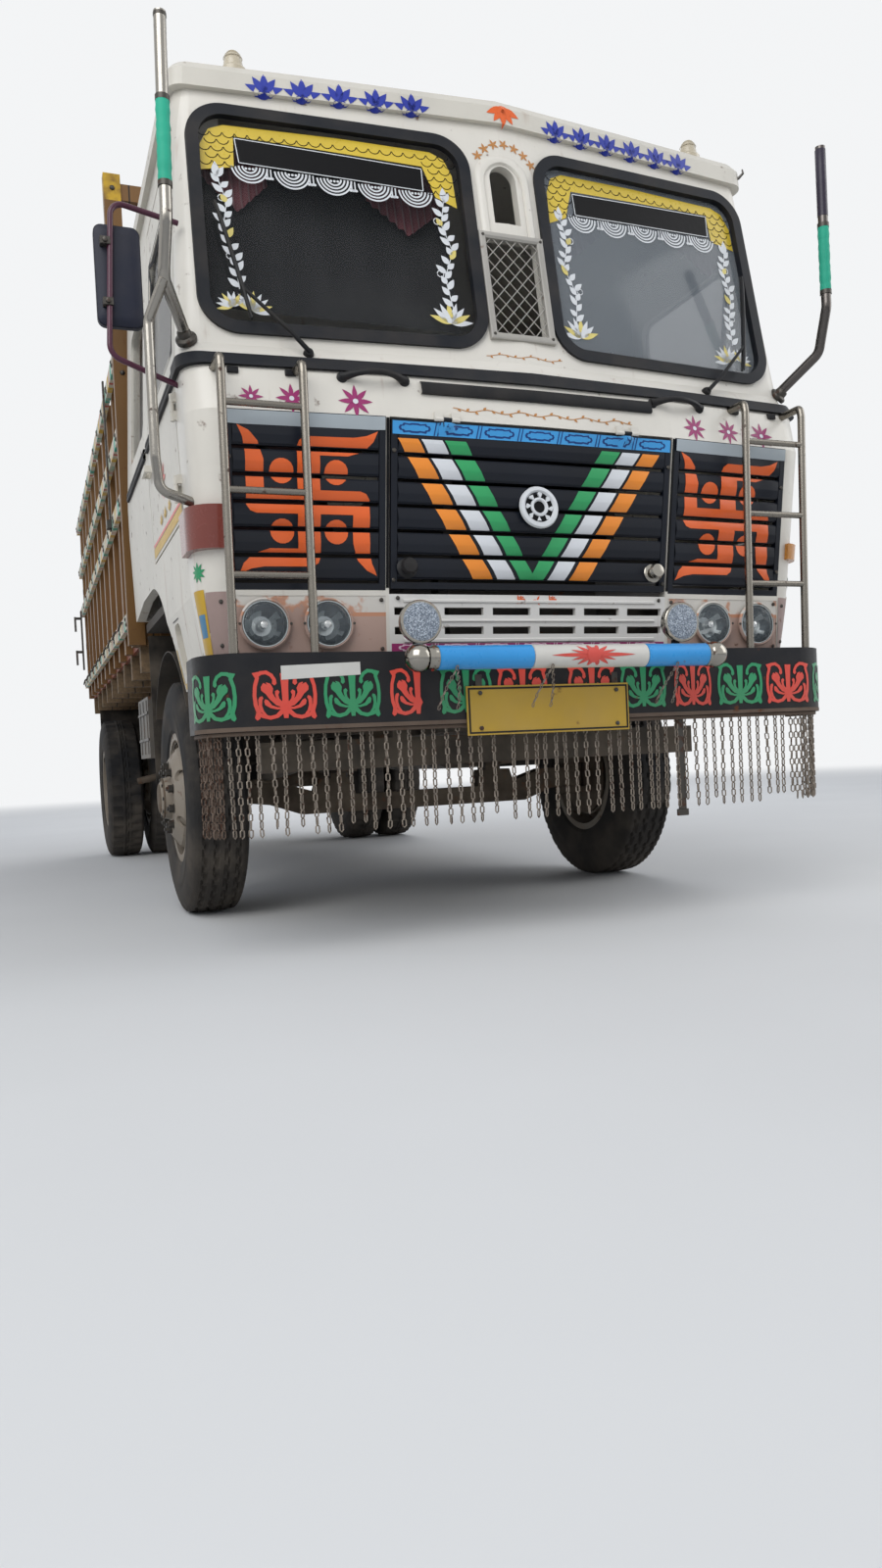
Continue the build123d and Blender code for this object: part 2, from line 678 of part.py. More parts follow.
def bumper_outline(inset):
    """The bumper's line in plan, drawn in by inset, from its right end to its left end."""
    half = BUMPER_HALF - inset
    front = BUMPER_FRONT_Y + inset
    radius = BUMPER_CORNER - inset
    turn = half - radius
    mid = radius * (1 - cos(radians(45)))
    return [
        Line((-half, BUMPER_END_Y), (-half, front + radius)),
        ThreePointArc((-half, front + radius), (-half + mid, front + mid), (-turn, front)),
        Line((-turn, front), (turn, front)),
        ThreePointArc((turn, front), (half - mid, front + mid), (half, front + radius)),
        Line((half, front + radius), (half, BUMPER_END_Y)),
    ]


def bumper_band(outer, inner, z):
    """The strip in plan between two inset lines of the bumper, between two heights."""
    half_out = BUMPER_HALF - outer
    half_in = BUMPER_HALF - inner
    edges = [
        *bumper_outline(outer),
        Line((half_out, BUMPER_END_Y), (half_in, BUMPER_END_Y)),
        *bumper_outline(inner),
        Line((-half_in, BUMPER_END_Y), (-half_out, BUMPER_END_Y)),
    ]
    return extrude(Pos(0, 0, z[0]) * make_face(edges), amount=z[1] - z[0], dir=(0, 0, 1))


def make_bumper():
    """The channel bumper and the tube in front of it."""
    wall = bumper_band(0, BUMPER_WALL, (BUMPER_BOTTOM, BUMPER_TOP))
    low = bumper_band(0, BUMPER_FLANGE, (BUMPER_BOTTOM, BUMPER_BOTTOM + BUMPER_WALL))
    high = bumper_band(0, BUMPER_FLANGE, (BUMPER_TOP - BUMPER_WALL, BUMPER_TOP))
    save("front_bumper", wall + low + high)

    bar = Pos(0, CRASH_BAR_Y, CRASH_BAR_Z) * Rot(0, 90, 0) * Cylinder(CRASH_BAR_RADIUS, 2 * CRASH_BALL_X)
    for side in (1, -1):
        bar += Pos(side * CRASH_BALL_X, CRASH_BAR_Y, CRASH_BAR_Z) * Sphere(CRASH_BALL_RADIUS)
        x = (side * CRASH_ARM_X - 25, side * CRASH_ARM_X + 25)
        bar += block(x, (CRASH_BAR_Y, BUMPER_FRONT_Y), (CRASH_BAR_Z - 24, CRASH_BAR_Z + 24))
    save("crash_bar", bar)


def chain_strand():
    """One hanging chain as links turned edge on, pinched where two links meet."""
    half = CHAIN_LENGTH / CHAIN_LINKS / 2
    right = []
    for i in range(2 * CHAIN_LINKS + 1):
        width = CHAIN_WIDE if i % 2 else CHAIN_NARROW
        right.append((width / 2, -i * half))
    left = [(-x, z) for x, z in reversed(right)]
    return front_slab(Polyline(*right, *left, close=True), (-CHAIN_THICK / 2, CHAIN_THICK / 2))


def make_chains():
    """The fringe of chains on its carrier, under the bumper's front and corners."""
    carrier_inner = CHAIN_INSET + CARRIER_DEPTH
    top = BUMPER_BOTTOM
    fringe = bumper_band(CHAIN_INSET, carrier_inner, (top - CARRIER_HEIGHT, top))
    strand = chain_strand()
    middle = CHAIN_INSET + CARRIER_DEPTH / 2
    radius = BUMPER_CORNER - middle
    turn = BUMPER_HALF - BUMPER_CORNER
    y_front = BUMPER_FRONT_Y + middle
    drop = top - CARRIER_HEIGHT / 2
    strands = []
    straight = int(turn / CHAIN_PITCH)
    for i in range(-straight, straight + 1):
        strands.append(Pos(i * CHAIN_PITCH, y_front, drop) * strand)
    corner = int(radius * pi / 2 / CHAIN_PITCH)
    for i in range(1, corner + 1):
        angle = (i - 0.5) * CHAIN_PITCH / radius
        x = turn + radius * sin(angle)
        y = y_front + radius * (1 - cos(angle))
        strands.append(Pos(x, y, drop) * Rot(0, 0, degrees(angle)) * strand)
        strands.append(Pos(-x, y, drop) * Rot(0, 0, -degrees(angle)) * strand)
    save("chain_fringe", fringe + strands)


def make_ladders():
    """The two short ladders in front of the lamps and side grilles."""
    ladder = None
    foot_z = LADDER_Z[0]
    head_z = LADDER_Z[1] - 70
    top_z = LADDER_Z[1] - 38
    for x, top_y in zip(LADDER_X, LADDER_TOP_Y):
        points = ((x, LADDER_FOOT_Y, foot_z), (x, LADDER_HEAD_Y, head_z),
                  (x, LADDER_HEAD_Y + 6, top_z), (x, top_y, top_z))
        rail = tube(points, LADDER_RADIUS, 16)
        ladder = rail if ladder is None else ladder + rail
    for z in LADDER_RUNGS_Z:
        y = LADDER_FOOT_Y + (LADDER_HEAD_Y - LADDER_FOOT_Y) * (z - foot_z) / (head_z - foot_z)
        ladder += rod((LADDER_X[0], y, z), (LADDER_X[1], y, z), LADDER_RADIUS - 3)
    ladder -= CLEAR + block(WIDE, (-200, 0), (BUMPER_TOP - 50, BUMPER_TOP))
    save("front_ladders", both(ladder))


def make_poles_and_mirror():
    """The bent poles at the cab's corners and the mirror on its own bracket."""
    right = tube(POLE_PATH, POLE_RADIUS, 60)
    left = mirror(right, about=Plane.YZ) + tube(GRAB_PATH, GRAB_RADIUS, 45)
    save("corner_poles", Compound([*(right - CLEAR).solids(), *(left - CLEAR).solids()]))
    bracket = tube(MIRROR_ARM_PATH, MIRROR_TUBE_RADIUS, 45)
    save("mirror_bracket", bracket - CLEAR)
    glass = block(MIRROR_X, MIRROR_Y, MIRROR_Z)
    glass = fillet(glass.edges().filter_by(Axis.Y), 28)
    save("mirror", glass)


def roof_lamp():
    """A dome lamp on a flared foot, which reaches down into the roof's front edge."""
    foot = ROOF_LAMP_FOOT
    dome = ROOF_LAMP_DOME
    top = ROOF_LAMP_HEIGHT
    profile = [(0, -36), (foot, -36), (foot, 8), (foot - 6, 15), (dome + 3, 19), (dome, top - 40),
               (dome * 0.86, top - 20), (dome * 0.5, top - 5), (0, top)]
    return Pos(*ROOF_LAMP) * revolve(Plane.XZ * make_face(Polyline(*profile, close=True)), axis=Axis.Z)


def make_marker_lamps():
    """Turn lamps on the cab's corners, dome lamps on the roof and rear lamps."""
    wrap = (cab_solid(-22, 1) - CLEAR) & block((1095, 1260), (-80, 190), (1335, 1470))
    amber = (cab_solid(-16, 1) - CLEAR) & block((1120, 1260), (-80, 150), (1350, 1410))
    roof = both(roof_lamp() - ROOF_TOP)
    rear = both(block((820, 1060), (RAIL_REAR_Y + 60, RAIL_REAR_Y + 90), (850, 930)))
    turn_lamps = [*mirror(wrap, about=Plane.YZ).solids(), *amber.solids()]
    save("marker_lamps", Compound([*turn_lamps, *roof.solids(), *rear.solids()]))


def make_doors():
    """Both doors with their panes."""
    layer = cab_solid(12, 1) - cab_solid(12 + GLASS_THICK, 2)
    reach = (CAB_SIDE_X, 1300)
    panel = SHELL & side_slab(door_outline(0), reach)
    panel -= side_slab(window_outline(*DOOR_WINDOW), reach)
    panel += door_hinges()[1]
    grip = block(HANDLE_X, HANDLE_Y, HANDLE_Z)
    palm = block((HANDLE_X[0], HANDLE_X[1] - HANDLE_GRIP), (HANDLE_Y[0] + 14, HANDLE_Y[1] - 14), HANDLE_Z)
    panel += grip - palm - cab_solid(5, 1)
    pane = layer & side_slab(window_outline(*DOOR_WINDOW), reach)
    for name, side in (("left", 1), ("right", -1)):
        save(f"door_{name}", on_side(panel, side))
        save(f"door_{name}_glass", on_side(pane, side))


def make_interior():
    """Seats, dashboard, steering wheel and column."""
    seats = []
    for x in SEAT_X:
        cushion = block(x, SEAT_CUSHION_Y, SEAT_CUSHION_Z)
        back = block(x, SEAT_BACK_Y, SEAT_BACK_Z)
        seats.append(fillet(cushion.edges().filter_by(Axis.Z), SEAT_CORNER))
        seats.append(fillet(back.edges().filter_by(Axis.Y), SEAT_CORNER))
    floor_top = CAB_FLOOR_Z + CAB_FLOOR_THICK
    seats.append(block(BENCH_X, (BENCH_FRONT_Y, CAB_REAR_Y - CAB_WALL - 2), (floor_top, BENCH_TOP)))
    save("seats", Compound(seats))
    base_y = (SEAT_CUSHION_Y[0] + 60, SEAT_CUSHION_Y[1] - 40)
    base = [block((x[0] + 60, x[1] - 60), base_y, (floor_top, SEAT_CUSHION_Z[0])) for x in SEAT_X]
    dash = block(DASH_X, DASH_Y, DASH_Z) - block((-1200, 1200), (300, 440), (1700, 1830))
    shelf = INSIDE & block(DASH_X, (-200, DASH_Y[0]), (DASH_Z[1] - DASH_SHELF, DASH_Z[1]))
    save("dashboard", Compound([*(dash + shelf).solids(), *base]))
    tilted = Pos(*STEERING) * Rot(WHEEL_TILT, 0, 0)
    wheel = tilted * Torus(WHEEL_RING, WHEEL_GRIP)
    wheel += tilted * (Cylinder(38, 40) + Box(2 * WHEEL_RING - 10, 26, 10))
    wheel += rod(STEERING, (STEERING[0], STEERING[1] - COLUMN_REACH, floor_top), 22)
    save("steering_wheel", wheel - block(WIDE, (0, 900), (CAB_FLOOR_Z, floor_top)))


def underrun_beam():
    """The beam under the frame's front end, on a bracket below each rail."""
    beam = block((-UNDERRUN_HALF, UNDERRUN_HALF), UNDERRUN_Y, UNDERRUN_Z)
    middle = RAIL_OUTER_X - RAIL_FLANGE / 2
    for side in (1, -1):
        x = (side * middle - 30, side * middle + 30)
        beam += block(x, UNDERRUN_Y, (UNDERRUN_Z[1] - 5, RAIL_BOTTOM))
    return beam


def rear_bar_with_jaw():
    """The bar across the frame's rear end, with the two plates that hold a tow pin."""
    bar_y = (RAIL_REAR_Y, RAIL_REAR_Y + REAR_BAR_DEPTH)
    bar = block((-REAR_BAR_HALF, REAR_BAR_HALF), bar_y, REAR_BAR_Z)
    pin_y = bar_y[1] + TOW_PIN_REACH
    for side in (1, -1):
        z = JAW_Z + side * (JAW_GAP + JAW_PLATE) / 2
        plate_z = (z - JAW_PLATE / 2, z + JAW_PLATE / 2)
        plate = block((-JAW_RADIUS, JAW_RADIUS), (bar_y[1] - 10, pin_y), plate_z)
        bar += plate + Pos(0, pin_y, z) * Cylinder(JAW_RADIUS, JAW_PLATE)
    return (bar - Pos(0, pin_y, JAW_Z) * Cylinder(TOW_PIN_RADIUS, 2 * JAW_GAP + 2 * JAW_PLATE)).solid()


def make_chassis():
    """Side rails, cross members, engine, gearbox, shaft, exhaust and tanks."""
    out = RAIL_OUTER_X
    inner = out - RAIL_FLANGE
    wall = RAIL_WALL
    profile = Polyline((out, RAIL_BOTTOM), (out, RAIL_TOP), (inner, RAIL_TOP), (inner, RAIL_TOP - wall),
                       (out - wall, RAIL_TOP - wall), (out - wall, RAIL_BOTTOM + wall),
                       (inner, RAIL_BOTTOM + wall), (inner, RAIL_BOTTOM), close=True)
    rail = front_slab(profile, (BUMPER_FRONT_Y + BUMPER_WALL, RAIL_REAR_Y))
    save("frame_rails", both(rail))

    members = []
    half = RAIL_OUTER_X - RAIL_WALL
    for y in CROSS_MEMBER_Y:
        member = block((-half, half), (y, y + CROSS_MEMBER_DEPTH), CROSS_MEMBER_Z)
        hollow_z = (CROSS_MEMBER_Z[0] + 8, CROSS_MEMBER_Z[1] - 8)
        member -= block((-half - 1, half + 1), (y + 8, y + CROSS_MEMBER_DEPTH + 1), hollow_z)
        members.append(member)
    members.append(rear_bar_with_jaw())
    members.append(underrun_beam())
    save("cross_members", Compound(members))

    engine = block(*ENGINE)
    for y in ENGINE_MOUNT_Y:
        engine += block((-half, half), (y, y + 70), (800, 900))
    save("engine", Compound([*engine.solids(), *block(*RADIATOR).solids()]))

    front_end = (0, GEARBOX[1][1], 720)
    rear_end = (0, REAR_AXLE_Y - PINION_REACH + 10, 560)
    shaft = block(*GEARBOX) + rod(front_end, rear_end, SHAFT_RADIUS)
    shaft -= block((-100, 100), (REAR_AXLE_Y - PINION_REACH, REAR_AXLE_Y), (400, 700))
    save("driveline", shaft)
    x, y, z = SILENCER
    silencer = Pos(x, y, z) * Rot(90, 0, 0) * Cylinder(SILENCER_RADIUS, SILENCER_LENGTH)
    pipe = tube(EXHAUST_PIPE, EXHAUST_RADIUS, 120)
    tail = tube(TAIL_PIPE, EXHAUST_RADIUS, 100)
    hanger = block((x - 20, -RAIL_OUTER_X), (y - 20, y + 20), (z + 90, z + 150))
    save("exhaust", silencer + pipe + tail + hanger)

    tank = fillet(block(*TANK).edges().filter_by(Axis.Y), TANK_CORNER)
    for y in TANK_BRACKET_Y:
        tank += block((RAIL_OUTER_X, TANK[0][0] + 40), (y, y + 60), (780, 960))
    battery = block(*BATTERY_BOX) + block(*BATTERY_ARM)
    save("side_tanks", Compound([*tank.solids(), *battery.solids()]))


def leaf_pack(centre_y, half, middle_z, rise, leaves, seat_z):
    """One leaf spring with its hangers and its seat on the axle."""
    pack = None
    for i in range(leaves):
        reach = half * (1 - 0.16 * i)
        low = middle_z - LEAF_THICK * (i + 1)
        lift = rise * (reach / half) ** 2
        front = centre_y - reach
        back = centre_y + reach
        end = low + lift
        outline = [
            ThreePointArc((front, end), (centre_y, low), (back, end)),
            Line((back, end), (back, end + LEAF_THICK)),
            ThreePointArc((back, end + LEAF_THICK), (centre_y, low + LEAF_THICK), (front, end + LEAF_THICK)),
            Line((front, end + LEAF_THICK), (front, end)),
        ]
        leaf = side_slab(outline, SPRING_X)
        pack = leaf if pack is None else pack + leaf
    low = middle_z - LEAF_THICK * leaves
    pack += block(SPRING_X, (centre_y - 45, centre_y + 45), (seat_z, low + 8))
    for end in (-1, 1):
        y = centre_y + end * (half - 20)
        pack += block(SPRING_X, (y - 20, y + 20), (middle_z + rise - LEAF_THICK, RAIL_BOTTOM))
    return pack


def make_axles():
    """Springs, the dropped front beam and the driven rear axle."""
    front = leaf_pack(FRONT_AXLE_Y, 640, 640, 70, 5, 560)
    rear = leaf_pack(REAR_AXLE_Y, 700, 660, 50, 6, AXLE_Z + AXLE_TUBE_RADIUS - 4)
    springs = [*both(front).solids(), *both(rear).solids()]
    y = (FRONT_AXLE_Y - BEAM_DEPTH / 2, FRONT_AXLE_Y + BEAM_DEPTH / 2)
    low_side = ((560, 400), (700, 450), (KINGPIN_X, 470))
    top_side = ((KINGPIN_X, 550), (660, 550), (500, 500), (480, 560), (330, 560), (310, 480))
    half_line = low_side + top_side
    outline = Polyline(*half_line, *[(-x, z) for x, z in reversed(half_line)], close=True)
    beam = front_slab(outline, y)
    for side in (1, -1):
        boss = Pos(side * KINGPIN_X, FRONT_AXLE_Y, AXLE_Z) * Cylinder(48, BOSS_HEIGHT)
        bore = Pos(side * KINGPIN_X, FRONT_AXLE_Y, AXLE_Z) * Cylinder(KINGPIN_RADIUS + RUN_GAP, 300)
        beam = beam + boss - bore
    save("front_axle", beam)

    tube_half = 650
    axle = Pos(0, REAR_AXLE_Y, AXLE_Z) * Rot(0, 90, 0) * Cylinder(AXLE_TUBE_RADIUS, 2 * tube_half)
    axle += Pos(0, REAR_AXLE_Y, AXLE_Z) * Sphere(190)
    axle += Pos(0, REAR_AXLE_Y - PINION_REACH + 100, AXLE_Z + 30) * Rot(90, 0, 0) * Cylinder(95, 200)
    across = Pos(0, REAR_AXLE_Y, AXLE_Z) * Rot(0, 90, 0)
    axle += across * Cylinder(REAR_SPINDLE_RADIUS, 2 * (REAR_MIDDLE_X + 20))
    for side in (1, -1):
        axle += across * Pos(0, 0, side * (tube_half - 8)) * Cylinder(BACK_PLATE_RADIUS, 12)
    axle -= Compound(springs)
    save("rear_axle", axle)
    save("leaf_springs", Compound(springs))


def tyre(x):
    """A road tyre without its tread pattern."""
    w = TYRE_WIDTH / 2
    r = TYRE_RADIUS
    b = BEAD_RADIUS
    half = [(w - 29, b), (w - 26, b + 23), (w, b + 118), (w - 3, r - 82), (w - 24, r - 14), (w - 44, r)]
    profile = half + [(-x_out, radius) for x_out, radius in reversed(half)]
    return turned(profile, (x, 0, 0))


def rim(offset):
    """A disc wheel: barrel with flanges, and a dished disc with hand holes."""
    edge = TYRE_WIDTH / 2 - 25.5
    seat = BEAD_RADIUS - RUN_GAP
    flange = edge + 7
    lip = seat + 21
    barrel = turned([(-flange, seat - RIM_WALL), (-flange, lip), (-edge, lip), (-edge, seat),
                     (edge, seat), (edge, lip), (flange, lip), (flange, seat - RIM_WALL)], (0, 0, 0))
    foot = offset - 130 if offset > 0 else offset + 130
    lean = 10 if offset > 0 else -10
    eye = HUB_RADIUS - 5
    disc = turned([(foot, seat - 4), (offset - lean * 4, 205), (offset - lean, 160), (offset - lean, eye),
                   (offset, eye), (offset, 164), (offset - lean * 3, 212), (foot + lean, seat - 4)],
                  (0, 0, 0))
    for i in range(HAND_HOLES):
        hole = Rot(360 / HAND_HOLES * i, 0, 0) * Pos(0, 0, 196) * Rot(0, 90, 0) * Cylinder(24, 500)
        disc -= hole
    return barrel + disc


def make_front_wheels():
    """Knuckles with their kingpins and spindles, and the steered wheels."""
    for name, side in (("left", 1), ("right", -1)):
        x = KINGPIN_X
        arm = BOSS_HEIGHT / 2 + 1
        knuckle = Pos(x, FRONT_AXLE_Y, AXLE_Z) * Cylinder(KINGPIN_RADIUS, 2 * arm + 60)
        for up in (1, -1):
            z = AXLE_Z + up * (arm + 16)
            knuckle += block((x - 46, x + 78), (FRONT_AXLE_Y - 46, FRONT_AXLE_Y + 46), (z - 16, z + 16))
        web_z = (AXLE_Z - arm - 32, AXLE_Z + arm + 32)
        knuckle += block((x + 54, x + 78), (FRONT_AXLE_Y - 46, FRONT_AXLE_Y + 46), web_z)
        spindle_end = FRONT_TRACK_HALF + WHEEL_OFFSET - 20
        knuckle += rod((x + 60, FRONT_AXLE_Y, AXLE_Z), (spindle_end, FRONT_AXLE_Y, AXLE_Z), SPINDLE_RADIUS)
        knuckle += Pos(x + 70, FRONT_AXLE_Y, AXLE_Z) * Rot(0, 90, 0) * Cylinder(BACK_PLATE_RADIUS, 10)
        save(f"knuckle_{name}", on_side(knuckle, side))

        centre = Pos(FRONT_TRACK_HALF, FRONT_AXLE_Y, AXLE_Z)
        drum_in = x + 84 - FRONT_TRACK_HALF
        out = WHEEL_OFFSET
        bore = SPINDLE_RADIUS + RUN_GAP
        hub = turned([(drum_in, DRUM_RADIUS - 12), (drum_in, DRUM_RADIUS), (out - 60, DRUM_RADIUS),
                      (out - 10, 165), (out - 10, HUB_RADIUS), (out + 32, HUB_RADIUS - 8), (out + 46, 60),
                      (out + 46, 0), (out - 16, 0), (out - 16, bore), (drum_in + 10, bore),
                      (drum_in + 10, 80), (out - 60, 90), (out - 70, DRUM_RADIUS - 12)], (0, 0, 0))
        wheel = centre * (rim(WHEEL_OFFSET) + hub)
        save(f"rim_front_{name}", on_side(wheel, side))
        save(f"tyre_front_{name}", on_side(centre * tyre(0), side))


def make_rear_wheels():
    """Twin wheels on one drum on each side."""
    for name, side in (("left", 1), ("right", -1)):
        outer = Pos(REAR_OUTER_X, REAR_AXLE_Y, AXLE_Z)
        inner = Pos(REAR_INNER_X, REAR_AXLE_Y, AXLE_Z)
        middle = Pos(REAR_MIDDLE_X, REAR_AXLE_Y, AXLE_Z)
        drum_in = -260
        bore = REAR_SPINDLE_RADIUS + RUN_GAP
        hub = turned([(drum_in, DRUM_RADIUS - 12), (drum_in, DRUM_RADIUS), (-60, DRUM_RADIUS), (-10, 150),
                      (-10, HUB_RADIUS), (110, HUB_RADIUS), (125, 70), (125, 0), (26, 0), (26, bore),
                      (drum_in + 30, bore), (drum_in + 30, 80), (-80, 90), (-80, DRUM_RADIUS - 12)],
                     (0, 0, 0))
        wheels = outer * rim(-WHEEL_OFFSET) + inner * rim(WHEEL_OFFSET) + middle * hub
        save(f"rims_rear_{name}", on_side(wheels, side))
        tyres = Compound([*(outer * tyre(0)).solids(), *(inner * tyre(0)).solids()])
        save(f"tyres_rear_{name}", on_side(tyres, side))


def make_load_body():
    """Floor on its bearers, lattice sides, bulkhead, tailgate and latches."""
    inner = BODY_HALF - SIDE_THICK
    rear = BODY_REAR_Y - GATE_DEPTH
    floor_half = inner - BOARD_THICK
    floor = block((-floor_half, floor_half), (BODY_FRONT_Y, rear), (BED_Z - BED_THICK, BED_Z))
    for side in (1, -1):
        x = sorted((side * SPRING_X[0], side * SPRING_X[1]))
        floor += block(x, (BODY_FRONT_Y, rear), (RAIL_TOP, RAIL_TOP + LONG_BEARER))
    for i in range(CROSS_BEARERS):
        y = BODY_FRONT_Y + i * BEARER_PITCH
        floor += block((-inner, inner), (y, y + BEARER_WIDTH), (RAIL_TOP + LONG_BEARER, BED_Z - BED_THICK))
    for x in GATE_HINGE_X:
        eye = Pos(x, GATE_AXIS_Y, GATE_AXIS_Z) * Rot(0, 90, 0) * Cylinder(GATE_EYE, 60)
        strap = block((x - 30, x + 30), (rear - 10, GATE_AXIS_Y), (GATE_AXIS_Z - 14, GATE_AXIS_Z - 2))
        floor += eye + strap
        floor -= Pos(x, GATE_AXIS_Y, GATE_AXIS_Z) * Rot(0, 90, 0) * Cylinder(GATE_PIN + RUN_GAP, 80)
    save("bed_floor", floor)

    pitch = (BODY_REAR_Y - BODY_FRONT_Y - UPRIGHT_WIDTH) / (UPRIGHTS - 1)
    upright_x = (inner, BODY_HALF - SIDE_RAIL_DEPTH)
    uprights = []
    for i in range(UPRIGHTS):
        y = BODY_FRONT_Y + i * pitch
        uprights.append(block(upright_x, (y, y + UPRIGHT_WIDTH), (BED_Z - BED_THICK, SIDE_TOP)))
    save("side_uprights", both(Compound(uprights)))

    half = SIDE_RAIL_HEIGHT / 2
    rail_x = (upright_x[1], BODY_HALF)
    rails = [block(rail_x, (BODY_FRONT_Y, BODY_REAR_Y), (z - half, z + half)) for z in RAIL_HEIGHTS]
    save("side_rails", both(Compound(rails)))

    board_foot = BED_Z - BED_THICK
    board = (SIDE_BOARDS_TOP - board_foot) / BOARDS
    board_x = (floor_half, inner)
    board_y = (BODY_FRONT_Y, rear - BOARD_GAP)
    boards = []
    for i in range(BOARDS):
        low = board_foot + i * board
        boards.append(block(board_x, board_y, (low, low + board - BOARD_GAP)))
    save("side_boards", both(Compound(boards)))

    front_y = BODY_FRONT_Y - SIDE_THICK
    panel_y = (BULKHEAD_PANEL_Y, BODY_FRONT_Y)
    panel_z = (BED_Z - BED_THICK, BULKHEAD_TOP - 420)
    bulkhead = block((-BULKHEAD_POST_X, BULKHEAD_POST_X), panel_y, panel_z)
    bar_y = (front_y + 10, BODY_FRONT_Y)
    bar = block((-BULKHEAD_POST_X, BULKHEAD_POST_X), bar_y, (BULKHEAD_TOP - 120, BULKHEAD_TOP - 40))
    save("bulkhead", Compound([bulkhead, bar]))
    post = block((BULKHEAD_POST_X, BODY_HALF), (front_y, BODY_FRONT_Y), (BED_Z - BED_THICK, BULKHEAD_TOP))
    save("bulkhead_posts", both(post))

    gate_half = inner - FLAP_GAP
    gate_y = (BODY_REAR_Y - TAILGATE_THICK, BODY_REAR_Y)
    face_y = (gate_y[1] - GATE_PANEL_DRAW, gate_y[1])
    gate = block((-gate_half, gate_half), (gate_y[0], face_y[0]), (BED_Z + 10, TAILGATE_TOP))
    for z in (BED_Z + 10, TAILGATE_TOP - GATE_RIB_WIDTH):
        gate += block((-gate_half, gate_half), face_y, (z, z + GATE_RIB_WIDTH))
    for x in GATE_RIB_X:
        half_rib = GATE_RIB_WIDTH / 2
        gate += block((x - half_rib, x + half_rib), face_y, (BED_Z + 10, TAILGATE_TOP))
    strap_y = (face_y[0], GATE_AXIS_Y + 8)
    for x in GATE_HINGE_X:
        for step in (-62, 62):
            eye = Pos(x + step, GATE_AXIS_Y, GATE_AXIS_Z) * Rot(0, 90, 0) * Cylinder(GATE_EYE, 56)
            strap = block((x + step - 28, x + step + 28), strap_y, (GATE_AXIS_Z, BED_Z + 160))
            gate += eye + strap
        gate += Pos(x, GATE_AXIS_Y, GATE_AXIS_Z) * Rot(0, 90, 0) * Cylinder(GATE_PIN, 180)
    save("tailgate", gate)

    latch = block((BODY_HALF, BODY_HALF + 14), (LATCH_Y - 20, LATCH_Y + 20), (1500, TAILGATE_TOP))
    for z in LATCH_PIN_Z:
        latch += rod((BODY_HALF + 7, LATCH_Y, z), (LATCH_REACH, LATCH_Y, z), 11)
        latch += block((LATCH_REACH - 16, LATCH_REACH), (LATCH_Y - 10, LATCH_Y + 10), (z - 110, z + 12))
    drop = block((BODY_HALF, BODY_HALF + 10), (2640, 2668), (1950, 2760))
    drop += block((BODY_HALF, BODY_HALF + 26), (2620, 2688), (1962, 2006))
    save("body_latches", both(Compound([*latch.solids(), *drop.solids()])))


def make_mudguards():
    """Curved guards over the front wheels and hanging flaps behind all wheels."""
    outer = Pos(0, FRONT_AXLE_Y, AXLE_Z) * Rot(0, 90, 0) * Cylinder(ARCH_RADIUS, 3000)
    inner = Pos(0, FRONT_AXLE_Y, AXLE_Z) * Rot(0, 90, 0) * Cylinder(ARCH_RADIUS - 4, 3000)
    ring = (outer - inner) & block((640, 1130), (0, 3000), (880, 1400))
    stay = block((700, 740), (FRONT_AXLE_Y - 30, FRONT_AXLE_Y + 30), (AXLE_Z + ARCH_RADIUS - 6, CAB_FLOOR_Z))
    save("front_guards", both(ring + stay))
    front_y = (FRONT_FLAP_Y, FRONT_FLAP_Y + FLAP_THICK)
    front_flap = block((620, 1130), front_y, (560, BED_Z))
    flap_ledge = block((620, 1130), (front_y[1], BULKHEAD_PANEL_Y), (BED_Z - 12, BED_Z))
    front_flap += flap_ledge
    rear_y = BODY_FRONT_Y + REAR_FLAP_BEARER * BEARER_PITCH + BEARER_WIDTH
    rear_flap = block((650, 1150), (rear_y, rear_y + FLAP_THICK), (420, BED_Z - BED_THICK - 20))
    save("mud_flaps", both(Compound([*front_flap.solids(), *rear_flap.solids()])))


CAB_FRONT = make_cab_shell()
make_roof()
make_floor()
make_glass_and_rubber(CAB_FRONT)
make_front_face()
make_bumper()
make_chains()
make_ladders()
make_poles_and_mirror()
make_marker_lamps()
make_doors()
make_interior()
make_chassis()
make_axles()
make_front_wheels()
make_rear_wheels()
make_load_body()
make_mudguards()
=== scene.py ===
"""The looks of a hand-painted lorry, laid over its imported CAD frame.

Lengths are metres. The makers work in the lorry's own axes: x from its centre
plane, y from the foot of the grille towards the rear, z from the ground.
"""
from __future__ import annotations

import logging
import math
import random
from dataclasses import dataclass
from enum import Enum
from typing import Callable, Iterable, Optional, Sequence, Union

import bmesh
import bpy
from mathutils import Matrix, Vector
from mathutils.bvhtree import BVHTree
from mathutils.geometry import delaunay_2d_cdt


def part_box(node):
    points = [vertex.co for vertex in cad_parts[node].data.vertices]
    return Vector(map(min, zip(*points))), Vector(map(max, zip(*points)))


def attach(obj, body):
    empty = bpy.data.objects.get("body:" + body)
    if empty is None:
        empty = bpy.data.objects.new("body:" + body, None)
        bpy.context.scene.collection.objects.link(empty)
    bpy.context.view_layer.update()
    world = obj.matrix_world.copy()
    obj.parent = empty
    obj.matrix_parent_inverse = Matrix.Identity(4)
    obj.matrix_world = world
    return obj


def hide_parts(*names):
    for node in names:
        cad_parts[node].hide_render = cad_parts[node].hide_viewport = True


Colour = tuple[float, float, float]
Point2 = tuple[float, float]
Point3 = Sequence[float]
Number = Union[float, "Value"]

